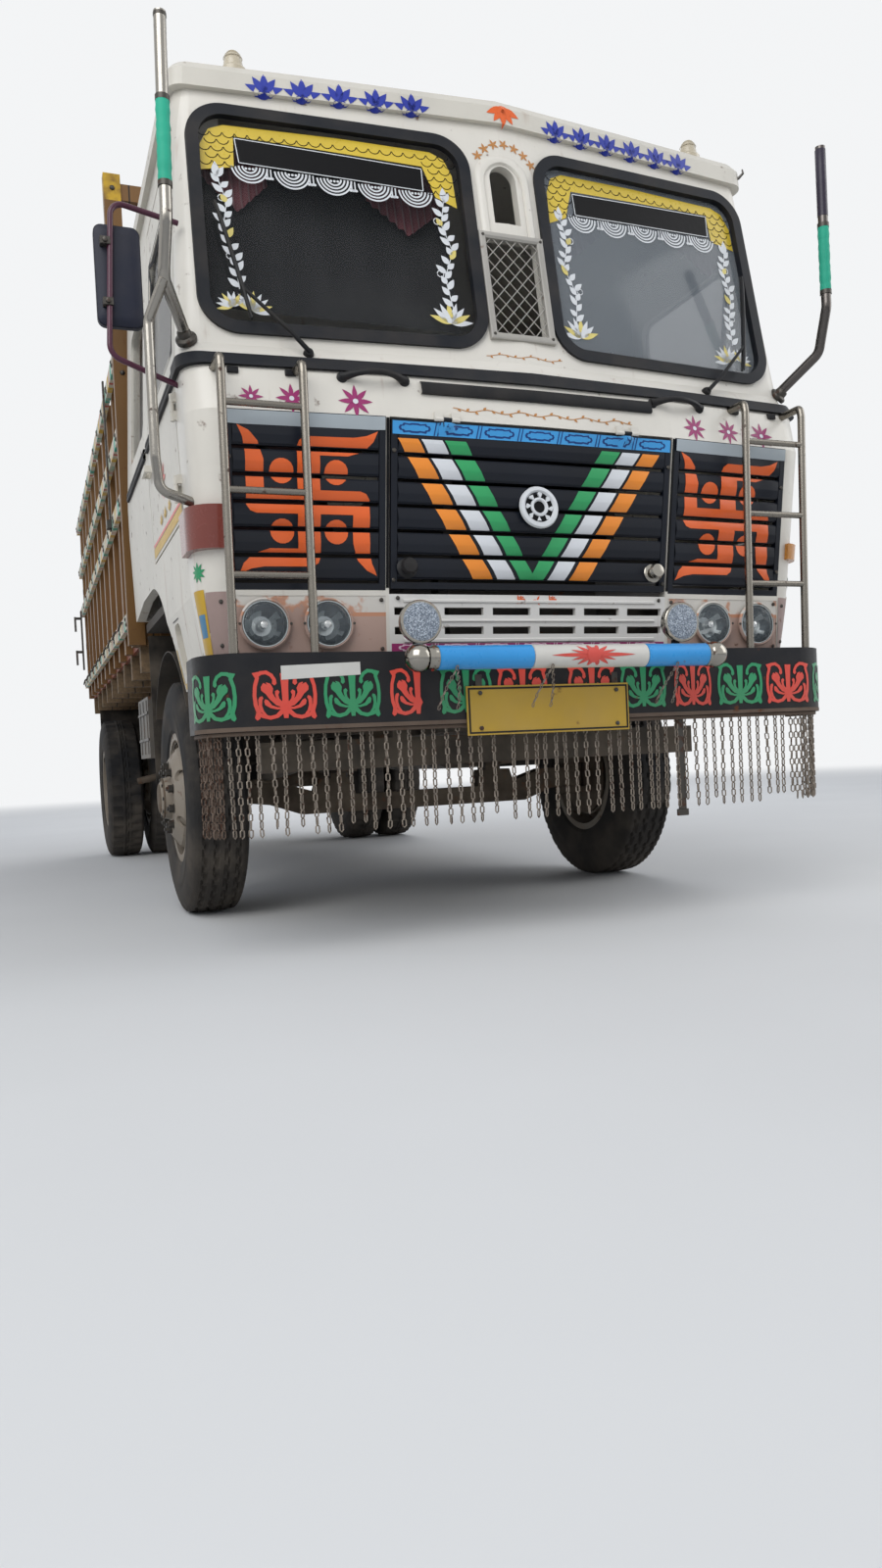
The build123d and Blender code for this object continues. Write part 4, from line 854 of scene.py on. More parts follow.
def arc(centre: Point2, radius: float, start: float, end: float, count: int = 10) -> list[Point2]:
    """Points along an arc between two angles in degrees."""
    angles = [math.radians(start + (end - start) * (k / count)) for k in range(count + 1)]
    return [(centre[0] + radius * math.cos(angle), centre[1] + radius * math.sin(angle)) for angle in angles]


def disc(centre: Point2, radius: float, count: int = 20) -> list[Point2]:
    """A round outline."""
    return arc(centre, radius, 0, 360 - 360 / count, count - 1)


def leaf(length: float, width: float, bend: float = 0.0, count: int = 6) -> list[Point2]:
    """A pointed leaf that grows upwards from the origin, bent sideways at its tip."""
    right, left = [], []
    for k in range(count + 1):
        t = k / count
        half = width / 2 * math.sin(math.pi * t ** 0.8) if 0 < k < count else 0
        middle = bend * t * t
        right.append((middle + half, length * t))
        left.append((middle - half, length * t))
    return right + left[1:-1][::-1]


class Copies:
    """Geometry Nodes that set one small shape at many points."""

    def __init__(self, title: str) -> None:
        """Builds the tree: points, the shape to copy, its size and its finish."""
        self.tree = bpy.data.node_groups.new(title, "GeometryNodeTree")
        make = self.tree.interface.new_socket
        make("Geometry", in_out="INPUT", socket_type="NodeSocketGeometry")
        sockets = (("Shape", "Object"), ("Size", "Float"), ("Sway", "Float"), ("Seed", "Int"),
                   ("Finish", "Material"))
        self.keys = [make(name, in_out="INPUT", socket_type=f"NodeSocket{kind}").identifier for name,
                     kind in sockets]
        make("Geometry", in_out="OUTPUT", socket_type="NodeSocketGeometry")
        new, link = self.tree.nodes.new, self.tree.links.new
        source, result = new("NodeGroupInput"), new("NodeGroupOutput")
        shape = new("GeometryNodeObjectInfo")
        link(source.outputs["Shape"], shape.inputs["Object"])
        turn = new("GeometryNodeInputNamedAttribute")
        turn.data_type = "FLOAT_VECTOR"
        turn.inputs[0].default_value = "turn"
        sway = new("FunctionNodeRandomValue")
        sway.data_type = "FLOAT_VECTOR"
        link(source.outputs["Seed"], sway.inputs["Seed"])
        least = new("ShaderNodeMath")
        least.operation = "MULTIPLY"
        least.inputs[1].default_value = -1.0
        link(source.outputs["Sway"], least.inputs[0])
        link(least.outputs[0], sway.inputs[0])
        link(source.outputs["Sway"], sway.inputs[1])
        total = new("ShaderNodeVectorMath")
        link(turn.outputs[0], total.inputs[0])
        link(sway.outputs[0], total.inputs[1])
        spin = new("FunctionNodeEulerToRotation")
        link(total.outputs[0], spin.inputs[0])
        points = new("GeometryNodeMeshToPoints")
        link(source.outputs["Geometry"], points.inputs[0])
        copies = new("GeometryNodeInstanceOnPoints")
        link(points.outputs[0], copies.inputs["Points"])
        link(shape.outputs["Geometry"], copies.inputs["Instance"])
        link(spin.outputs[0], copies.inputs["Rotation"])
        link(source.outputs["Size"], copies.inputs["Scale"])
        real = new("GeometryNodeRealizeInstances")
        link(copies.outputs[0], real.inputs[0])
        dress = new("GeometryNodeSetMaterial")
        link(real.outputs[0], dress.inputs[0])
        link(source.outputs["Finish"], dress.inputs["Material"])
        link(dress.outputs[0], result.inputs[0])

    def set_out(self, name: str, shape: Form, points: Sequence[Point3], turns: Sequence[Point3],
                finish: Finish, size: float = 1.0, sway: float = 0.0, seed: int = 7) -> bpy.types.Object:
        """Copies a shape to each point and returns the plain mesh.

        Args:
            name: the new piece's name.
            shape: the small shape, about the origin.
            points: where the copies go, in the lorry's axes.
            turns: each copy's turn about x, y and z in radians.
            finish: what they are finished in.
            size: the copies' scale.
            sway: how far each may turn at random.
            seed: the seed of that sway.

        Returns:
            The plain mesh object at the origin.
        """
        data = bpy.data.meshes.new(name + "_points")
        data.from_pydata([Vector(p) + SHIFT for p in points], [], [])
        attribute = data.attributes.new("turn", "FLOAT_VECTOR", "POINT")
        attribute.data.foreach_set("vector", [c for turn in turns for c in turn])
        carrier = bpy.data.objects.new(name + "_carrier", data)
        small = bpy.data.meshes.new(name + "_shape")
        small.from_pydata(shape.points, [], shape.faces)
        model = bpy.data.objects.new(name + "_model", small)
        for item in (carrier, model):
            bpy.context.scene.collection.objects.link(item)
        step = carrier.modifiers.new("copies", "NODES")
        step.node_group = self.tree
        for key, setting in zip(self.keys, (model, size, sway, seed, Shop.material(finish))):
            step[key] = setting
        graph = bpy.context.evaluated_depsgraph_get()
        made = bpy.data.meshes.new_from_object(carrier.evaluated_get(graph))
        carrier.modifiers.remove(step)
        for item in (carrier, model):
            bpy.data.objects.remove(item)
        made.name = name
        piece = bpy.data.objects.new(name, made)
        bpy.context.scene.collection.objects.link(piece)
        return piece


def lamp_panel_wear(shader: Shader, base: object) -> object:
    """White paint left above the lamps, where the rest has worn down to pink primer."""
    patch = (shader.z > 1.135) * shader.noise(9, 4).step(0.44, 0.5)
    edge = (shader.z > 1.122) * shader.noise(9, 4).step(0.40, 0.46)
    worn = shader.mix(shader.noise(30, 5).step(0.64, 0.70) * 0.6, base, srgb("9b7566"))
    return shader.mix(patch, shader.mix(edge, worn, srgb("c08a6c")), srgb("cfcac1"))


def post_cap(shader: Shader, base: object) -> object:
    """The post's yellow top and the yellow line along its edges."""
    scuffed = shader.noise(12, 6).step(0.3, 0.62) * 0.85
    return shader.mix((shader.z > 3.44) * scuffed, base, srgb("c9a227"))


def board_bands(shader: Shader, base: object) -> object:
    """Painted lozenges of three colours along the side boards."""
    cell = (shader.y / 0.48).fract() - 0.5
    row = ((shader.z - 1.31) / 0.32).fract() - 0.5
    lozenge = (abs(cell) * 1.1 + abs(row)) < 0.36
    heart = (abs(cell) * 1.1 + abs(row)) < 0.2
    worn = shader.noise(14, 6).step(0.28, 0.6)
    first = shader.mix(lozenge * worn, base, srgb("c9a227"))
    return shader.mix(heart * worn, first, srgb("a8362c"))


def rail_bands(shader: Shader, base: object) -> object:
    """Short bars of teal, red and yellow repeated along the side rails."""
    cell = (shader.y / 0.36).fract()
    worn = shader.noise(16, 6).step(0.3, 0.62)
    teal = shader.mix(((cell > 0.08) * (cell < 0.3)) * worn, base, srgb("2f9d86"))
    red = shader.mix(((cell > 0.42) * (cell < 0.5)) * worn, teal, srgb("b43a30"))
    return shader.mix(((cell > 0.62) * (cell < 0.84)) * worn, red, srgb("c9a227"))


def marker_colours(shader: Shader, base: object) -> object:
    """Red-brown lens on the driver's side, amber on the other, clear above and red behind."""
    roof = shader.mix(shader.z > 2.8, base, srgb("b9ae97"))
    amber = shader.mix((shader.x > 0.3) * (shader.z > 1.2) * (shader.z < 2.0), roof, srgb("b87a2e"))
    return shader.mix(shader.z < 1.2, amber, srgb("7d1f18"))


def bare_planks(shader: Shader, base: object) -> object:
    """Dark joints between upright planks, with a tone to each plank."""
    across = shader.x / 0.17
    tone = (across.math("FLOOR") * PLANK_SHUFFLE).sine() * 0.5 + 0.5
    joint = abs(across.fract() - 0.5).step(0.465, 0.49) * (abs(shader.x) < 1.12)
    toned = shader.mix(tone * 0.3, base, srgb("4f3517"))
    return shader.mix(joint, toned, srgb("171009"))


def lamp_cells(shader: Shader, base: object) -> object:
    """Hundreds of bright and dark facets in a spot lamp's face."""
    cell = shader.cells(175.0).step(0.18, 0.55)
    broad = shader.noise(240, 2).step(0.42, 0.6)
    return shader.mix(cell * 0.7 + broad * 0.3, base, srgb("5b6674"))


def pane_sky_reflection(shader: Shader, base: object) -> object:
    """The pane in front of the driver keeps its dark tint; the other one is painted grey, a painted
    reflection of the sky.
    """
    return shader.mix(shader.x > 0.08, base, srgb("7e8489"))


CAB_WHITE = Paint("cab_white", srgb("d8d3c8"), 0.36, 0.3, streaks=0.5, rust=0.22, tone=0.10, dust=0.3)
SIDE_WHITE = Paint("cab_side_white", srgb("d0cbbf"), 0.42, 0.2, streaks=0.7, rust=0.4, tone=0.14, dust=0.45)
ROOF_WHITE = Paint("roof_white", srgb("cdc8bc"), 0.45, 0.15, streaks=0.6, rust=0.2, tone=0.14, dust=0.0)
GRILLE_WHITE = Paint("grille_white", srgb("dcd9d3"), 0.34, 0.35, streaks=0.2, rust=0.1, tone=0.08, dust=0.2)
LOUVRE_NAVY = Paint("louvre_navy", srgb("141821"), 0.34, 0.12, tone=0.3, dust=0.12, gloss=0.22)
SILVER_GREY = Paint("silver_grey", srgb("a9b1b5"), 0.38, 0.2, streaks=0.3, tone=0.12, dust=0.2)
PRIMER_PINK = Paint("primer_pink", srgb("b4988b"), 0.5, 0.1, rust=0.1, dust=0.25, pattern=lamp_panel_wear)
PLAIN_PINK = Paint("corner_pink", srgb("a08a83"), 0.5, 0.1, rust=0.2, dust=0.3)
BUMPER_BLACK = Paint("bumper_black", srgb("16191f"), 0.42, 0.04, rust=0.12, dust=0.16, tone=0.3, grain=0.2,
                     gloss=0.16)
ORANGE = Paint("emblem_orange", srgb("df6125"), 0.35, 0.3, tone=0.12, dust=0.15)
SAFFRON = Paint("saffron", srgb("ea8b2c"), 0.35, 0.3, tone=0.1, dust=0.15)
LEAF_GREEN = Paint("leaf_green", srgb("2c9c5c"), 0.35, 0.3, tone=0.1, dust=0.15)
STRIPE_WHITE = Paint("stripe_white", srgb("d5d7d9"), 0.35, 0.3, tone=0.06, dust=0.15)
BELT_BLUE = Paint("belt_blue", srgb("3f9ad8"), 0.35, 0.3, tone=0.12, dust=0.1)
BELT_LINE = Paint("belt_line", srgb("153a78"), 0.4, 0.2, dust=0.1)
ROYAL_BLUE = Paint("royal_blue", srgb("23349a"), 0.35, 0.25, tone=0.15, dust=0.0)
MAGENTA = Paint("magenta", srgb("962c66"), 0.4, 0.2, tone=0.15, dust=0.2)
OCHRE = Paint("ochre_line", srgb("b9814a"), 0.45, 0.1, tone=0.15, dust=0.2)
PALE_PINK = Paint("pale_pink", srgb("e3c5d2"), 0.4, 0.2, dust=0.2)
SCROLL_RED = Paint("scroll_red", srgb("da4638"), 0.36, 0.25, tone=0.15, rust=0.12, dust=0.3)
SCROLL_GREEN = Paint("scroll_green", srgb("1f8e5c"), 0.36, 0.25, tone=0.15, rust=0.1, dust=0.3)
YELLOW = Paint("edge_yellow", srgb("c8a02c"), 0.42, 0.15, rust=0.3, dust=0.35)
PATCH_BLUE = Paint("patch_blue", srgb("4a83a8"), 0.45, 0.1, rust=0.2, dust=0.35)
TAPE_WHITE = Paint("tape_white", srgb("cdccc6"), 0.6, 0.0, rust=0.25, dust=0.4)
BAR_BLUE = Paint("bar_blue", srgb("2b93d6"), 0.3, 0.4, tone=0.12, dust=0.1, rust=0.08)
BAR_WHITE = Paint("bar_white", srgb("cfccc4"), 0.35, 0.3, tone=0.12, dust=0.15, rust=0.12)
STAR_RED = Paint("star_red", srgb("cf4a40"), 0.36, 0.25, dust=0.15)
PLATE_YELLOW = Paint("plate_yellow", srgb("bf9a2e"), 0.4, 0.2, dust=0.4, rust=0.15)
BODY_BROWN = Paint("body_brown", srgb("6b4a1f"), 0.5, 0.12, rust=0.25, dust=0.3, pattern=post_cap)
PANEL_BROWN = Paint("panel_brown", srgb("74522a"), 0.5, 0.12, rust=0.3, dust=0.3, pattern=bare_planks)
RAIL_CREAM = Paint("rail_cream", srgb("cfc8b4"), 0.5, 0.1, rust=0.35, dust=0.35, pattern=rail_bands)
BOARD_BROWN = Paint("board_brown", srgb("7a3a22"), 0.55, 0.08, rust=0.2, dust=0.4, pattern=board_bands)
GATE_BROWN = Paint("gate_brown", srgb("7a3a22"), 0.5, 0.12, rust=0.2, dust=0.4)
TEAL = Paint("wrap_teal", srgb("2fae8e"), 0.6, 0.0, tone=0.25, dust=0.0, grain=0.5)
SCALE_YELLOW = Paint("scale_yellow", srgb("d6b93c"), 0.3, 0.3, tone=0.2, dust=0.0)
BANNER_BLACK = Paint("banner_black", srgb("0d0d0f"), 0.4, 0.0, dust=0.0, gloss=0.12)
LACE_WHITE = Paint("lace_white", srgb("d3d5d6"), 0.4, 0.2, tone=0.05, dust=0.0)
PETAL_YELLOW = Paint("petal_yellow", srgb("d9c874"), 0.4, 0.2, dust=0.0)
TANK_GREY = Paint("tank_grey", srgb("4b4a47"), 0.5, 0.1, rust=0.5, dust=0.8)
WHEEL_GREY = Paint("wheel_grey", srgb("8c8478"), 0.5, 0.1, rust=0.6, dust=0.8)
IRON = Paint("engine_iron", srgb("3b3835"), 0.6, 0.0, metallic=0.3, rust=0.5, dust=0.8)
FRAME_BLACK = Paint("frame_black", srgb("2a2622"), 0.6, 0.05, rust=0.4, dust=0.9)
AXLE_RUST = Paint("axle_rust", srgb("34291f"), 0.65, 0.0, metallic=0.2, rust=0.8, dust=0.9)
LENS_RED = Paint("marker_lens", srgb("7a3a30"), 0.25, 0.6, dust=0.2, pattern=marker_colours)
CHROME = Steel("chrome", srgb("99958d"), 0.16, rust=0.1)
POLISHED = Steel("polished_steel", srgb("96928b"), 0.24, rust=0.1, left_darkening=0.7)
LADDER_STEEL = Steel("ladder_steel", srgb("807b73"), 0.28, rust=0.12)
DARK_STEEL = Steel("dark_steel", srgb("4a4743"), 0.42, 0.8, rust=0.4)
CHAIN_STEEL = Steel("chain_steel", srgb("857b70"), 0.5, 0.6, rust=0.4, scale=60)
RUSTY_CHAIN = Steel("rusty_chain", srgb("66574c"), 0.6, 0.5, rust=0.6, scale=60)
MESH_GREY = Paint("mesh_grey", srgb("a5a199"), 0.42, 0.15, rust=0.3, tone=0.2, dust=0.0)
SPOT_FACE = Paint("spot_face", srgb("d3dbe4"), 0.25, 0.5, tone=0.1, dust=0.0, grain=0.3, pattern=lamp_cells)
CARRIER_RUST = Paint("carrier_rust", srgb("5c4c42"), 0.65, 0.0, metallic=0.2, rust=0.7, dust=0.5)
# The bulb shield is a real part; its near-white colour is a painted highlight, the bulb's glint in each head
# lamp.
BULB_SHIELD = Steel("bulb_shield", srgb("e3e4e2"), 0.2, 0.8, rust=0.0)
LAMP_BOWL = Steel("lamp_bowl", srgb("b3b9ba"), 0.3, rust=0.0)
# Painted shade and painted dark reflections on the head lamp bowls' darker facets, a shaded copy of
# lamp_bowl.
BOWL_PAINTED_SHADE = Steel("bowl_shade", srgb("42494c"), 0.35, rust=0.0)
MAROON_TUBE = Paint("maroon_tube", srgb("47182f"), 0.35, 0.3, dust=0.0)
TIP_VIOLET = Paint("tip_violet", srgb("241b30"), 0.4, 0.2, dust=0.0)
TYRE_RUBBER = Rubber("tyre_rubber", srgb("1e1e1f"), 0.75, 0.42)
GASKET = Rubber("gasket", srgb("15181e"), 0.5, 0.16, 0.2)
BLACK_PLASTIC = Rubber("black_plastic", srgb("17181b"), 0.42, 0.15, 0.2)
FLAP_RUBBER = Rubber("flap_rubber", srgb("201e1c"), 0.75, 0.7)
MIRROR_SHELL = Rubber("mirror_shell", srgb("232633"), 0.4, 0.1, 0.15)
DASH_PLASTIC = Rubber("dash_plastic", srgb("3a3632"), 0.6, 0.3)
WIND_GLASS = Glass("windscreen", srgb("10151a"), 0.16, 0.05, pane_sky_reflection)
DOOR_GLASS = Glass("door_pane", srgb("12181c"), 0.4, 0.08)
LAMP_GLASS = FlutedGlass("lamp_glass", srgb("6f787b"), 0.12)
BED_PLANKS = Timber("bed_planks", srgb("6d5436"))
SEAT_CLOTH = Cloth("seat_cloth", srgb("4a2a2c"), srgb("2b1a1c"))
SEAT_PIPING = Cloth("seat_piping", srgb("b9a98a"), srgb("8a7a5c"))
MIRROR_GLASS = Steel("mirror_glass", srgb("8f969b"), 0.06, rust=0.0)
CURTAIN = Cloth("curtain_maroon", srgb("7c3a42"), srgb("552228"), 500, 0.8, sheen=0.5)
NET = Cloth("sun_net", srgb("0b0b0c"), srgb("19191b"), 900, 0.9)

NODE_LOOKS: dict[str, Finish] = {
    "bed_floor": BED_PLANKS, "body_latches": DARK_STEEL, "bulkhead": PANEL_BROWN,
                                 "bulkhead_posts": BODY_BROWN,
    "cab_floor": DASH_PLASTIC, "cab_front": CAB_WHITE, "cab_glass": WIND_GLASS, "cab_rear": SIDE_WHITE,
    "cab_roof": ROOF_WHITE, "cab_rubber": GASKET, "cab_sides": SIDE_WHITE, "centre_grille": LOUVRE_NAVY,
    "chain_fringe": CHAIN_STEEL, "corner_poles": POLISHED, "crash_bar": CHROME, "cross_members": FRAME_BLACK,
    "dashboard": DASH_PLASTIC, "door_left": SIDE_WHITE, "door_left_glass": DOOR_GLASS,
    "door_right": SIDE_WHITE, "door_right_glass": DOOR_GLASS, "driveline": IRON, "engine": IRON,
    "exhaust": AXLE_RUST, "frame_rails": FRAME_BLACK, "front_axle": AXLE_RUST, "front_bumper": BUMPER_BLACK,
    "front_guards": FRAME_BLACK, "front_ladders": LADDER_STEEL, "front_lamps": CHROME,
    "knuckle_left": AXLE_RUST, "knuckle_right": AXLE_RUST, "lamp_panels": PRIMER_PINK,
                                 "leaf_springs": AXLE_RUST,
    "lower_grille": GRILLE_WHITE, "marker_lamps": LENS_RED, "mirror": MIRROR_SHELL,
                                 "mirror_bracket": MAROON_TUBE,
    "mud_flaps": FLAP_RUBBER, "rear_axle": AXLE_RUST, "rim_front_left": WHEEL_GREY,
                                 "rim_front_right": WHEEL_GREY,
    "rims_rear_left": WHEEL_GREY, "rims_rear_right": WHEEL_GREY, "seats": SEAT_CLOTH,
                                 "side_boards": BOARD_BROWN,
    "side_grilles": LOUVRE_NAVY, "side_rails": RAIL_CREAM, "side_tanks": TANK_GREY,
                                 "side_uprights": PANEL_BROWN,
    "steering_wheel": BLACK_PLASTIC, "tailgate": GATE_BROWN, "tyre_front_left": TYRE_RUBBER,
    "tyre_front_right": TYRE_RUBBER, "tyres_rear_left": TYRE_RUBBER, "tyres_rear_right": TYRE_RUBBER,
}


def dress_nodes() -> None:
    """Gives every CAD node its finish."""
    for name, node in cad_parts.items():
        material = Shop.material(NODE_LOOKS[name])
        if not node.material_slots:
            node.data.materials.append(None)
        for place in node.material_slots:
            place.material = material
        LOG.info("%s: %s", name, material.name)


@dataclass
class Stage:
    """The floor, the soft light and the camera low in front of the lorry."""

    eye: Point3 = (-1.732, -3.401, 0.640)
    yaw: float = 21.378
    pitch: float = -1.558
    roll: float = -2.781
    focal_share: float = 1079.3 / 1600
    film: float = 36.0
    floor_half: float = 60.0
    fade: Point2 = (6.5, 20.0)
    backdrop: Colour = (0.90, 0.91, 0.92)
    sky: Colour = (0.82, 0.88, 1.0)
    sky_strength: float = 0.56
    lamps: tuple[tuple[str, Point3, Point3, float, float], ...] = (
        ("key", (-5, -8, 7), (0, -2, 1.4), 7.0, 530.0),
        ("fill", (8, -5, 5), (0, -1, 1.4), 6.0, 220.0),
        ("back", (4, 9, 7), (0, 2, 1.6), 7.0, 330.0))

    def build(self) -> None:
        """Makes the floor, the sky and lamps, and the camera."""
        self.lay_floor()
        self.light()
        self.place_camera()

    def lay_floor(self) -> None:
        """A pale floor that fades into the background."""
        shader = Shader("studio_floor")
        shade = shader.noise(0.7, 3)
        shader.set(Base_Color=shader.mix(shade, srgb("dcdcda"), srgb("d2d2d0")), Roughness=0.9)
        near, far = self.fade
        away = (shader.x * shader.x + shader.y * shader.y).step(near ** 2, far ** 2)
        seen = Value(shader, shader.node("ShaderNodeLightPath", {}).outputs["Is Camera Ray"])
        glow = shader.node("ShaderNodeEmission", {0: self.backdrop, 1: 1.0})
        both = shader.node("ShaderNodeMixShader",
                           {0: away * seen, 1: shader.surface.outputs[0], 2: glow.outputs[0]})
        shader.tree.links.new(both.outputs[0], shader.output.inputs[0])
        half = self.floor_half
        data = bpy.data.meshes.new("studio_floor")
        data.from_pydata([(-half, -half, 0), (half, -half, 0), (half, half, 0), (-half, half, 0)], [],
                         [(0, 1, 2, 3)])
        data.materials.append(shader.material)
        floor = bpy.data.objects.new("studio_floor", data)
        bpy.context.scene.collection.objects.link(floor)

    def light(self) -> None:
        """A soft even sky, a broad lamp from the front and above, and a weaker one from the other side."""
        world = bpy.data.worlds.new("soft_sky")
        bpy.context.scene.world = world
        world.use_nodes = True
        tree = world.node_tree
        tree.nodes.clear()
        lit, seen = tree.nodes.new("ShaderNodeBackground"), tree.nodes.new("ShaderNodeBackground")
        lit.inputs[0].default_value = (*self.sky, 1.0)
        lit.inputs[1].default_value = self.sky_strength
        seen.inputs[0].default_value = (*self.backdrop, 1.0)
        seen.inputs[1].default_value = 1.0
        path = tree.nodes.new("ShaderNodeLightPath")
        first, second = tree.nodes.new("ShaderNodeMath"), tree.nodes.new("ShaderNodeMath")
        first.operation = second.operation = "MAXIMUM"
        mix, output = tree.nodes.new("ShaderNodeMixShader"), tree.nodes.new("ShaderNodeOutputWorld")
        link = tree.links.new
        link(path.outputs["Is Camera Ray"], first.inputs[0])
        link(path.outputs["Is Glossy Ray"], first.inputs[1])
        link(first.outputs[0], second.inputs[0])
        link(path.outputs["Is Transmission Ray"], second.inputs[1])
        link(second.outputs[0], mix.inputs[0])
        link(lit.outputs[0], mix.inputs[1])
        link(seen.outputs[0], mix.inputs[2])
        link(mix.outputs[0], output.inputs[0])
        for name, place, aim, size, power in self.lamps:
            lamp = bpy.data.lights.new(name, "AREA")
            lamp.size = size
            lamp.energy = power
            holder = bpy.data.objects.new(name, lamp)
            way = Vector(aim) - Vector(place)
            holder.matrix_world = Matrix.Translation(place) @ way.to_track_quat("-Z",
                                                                                "Y").to_matrix().to_4x4()
            bpy.context.scene.collection.objects.link(holder)
        bpy.context.scene.view_settings.view_transform = "Standard"

    def place_camera(self) -> None:
        """Stands the camera where the picture was taken, low and close in front of the driver's side."""
        yaw, pitch, roll = (math.radians(a) for a in (self.yaw, self.pitch, self.roll))
        ahead = Vector((math.sin(yaw) * math.cos(pitch), math.cos(yaw) * math.cos(pitch), math.sin(pitch)))
        level = Vector((math.cos(yaw), -math.sin(yaw), 0))
        above = level.cross(ahead)
        right = level * math.cos(roll) + above * math.sin(roll)
        up = above * math.cos(roll) - level * math.sin(roll)
        turn = Matrix((right, up, -ahead)).transposed().to_4x4()
        data = bpy.data.cameras.new("camera")
        data.sensor_fit = "VERTICAL"
        data.sensor_height = self.film
        data.lens = self.film * self.focal_share
        data.clip_end = 200.0
        camera = bpy.data.objects.new("camera", data)
        camera.matrix_world = Matrix.Translation(Vector(self.eye) + SHIFT) @ turn
        bpy.context.scene.collection.objects.link(camera)
        bpy.context.scene.camera = camera


Shape = tuple[list[Point2], int]


def clipped(outline: Sequence[Point2], low: float, high: float) -> list[Point2]:
    """The part of an outline that lies between two heights.

    Args:
        outline: its corners.
        low: the lower height.
        high: the upper height.

    Returns:
        The corners that are left; empty where nothing is.
    """
    for edge, sign in ((low, 1), (high, -1)):
        kept: list[Point2] = []
        for (x0, y0), (x1, y1) in zip(outline, [*outline[1:], *outline[:1]]):
            inside, beyond = sign * (y0 - edge) >= 0, sign * (y1 - edge) >= 0
            if inside:
                kept.append((x0, y0))
            if inside != beyond:
                share = (edge - y0) / (y1 - y0)
                kept.append((x0 + (x1 - x0) * share, edge))
        outline = kept
    return list(outline)


@dataclass
class LouvrePanel:
    """One framed set of slats; each slat folds outwards at a crease."""

    name: str
    nodes: tuple[str, ...]
    body: str
    x: tuple[float, float]
    first: float
    pitch: float
    slats: int = 6
    gap: float = 0.012
    crease: float = 0.42
    fold: float = 0.009
    column: float = 0.045

    def bands(self) -> list[tuple[float, float, float]]:
        """Each slat's foot, crease and top."""
        rows = []
        for i in range(self.slats):
            low = self.first + i * self.pitch
            high = low + self.pitch - self.gap
            rows.append((low, low + self.crease * (high - low), high))
        return rows

    def build(self) -> bpy.types.Object:
        """Makes the folded slats.

        Returns:
            The slats as one piece.
        """
        wall = Wall(self.nodes, front_place)
        form = Skin(wall, LOUVRE_NAVY)
        count = max(4, int((self.x[1] - self.x[0]) / self.column))
        for low, middle, high in self.bands():
            rows = []
            for z, lift, draw in ((low + 0.0015, 0.0012, 0.0), (low + 0.006, 0.005, 0.001),
                                  (middle, self.fold, 0.003),
                                  (middle + 0.003, self.fold, 0.003), (high - 0.006, 0.0045, 0.001),
                                  (high - 0.0015, 0.001, 0.0)):
                row = spread(self.x[0] + draw + 0.001, self.x[1] - draw - 0.001, count)
                rows.append([(x, z, lift) for x in row])
            form.lattice(rows)
        return finish_piece(form.mesh(self.name), self.body, solid=False, angle=25)


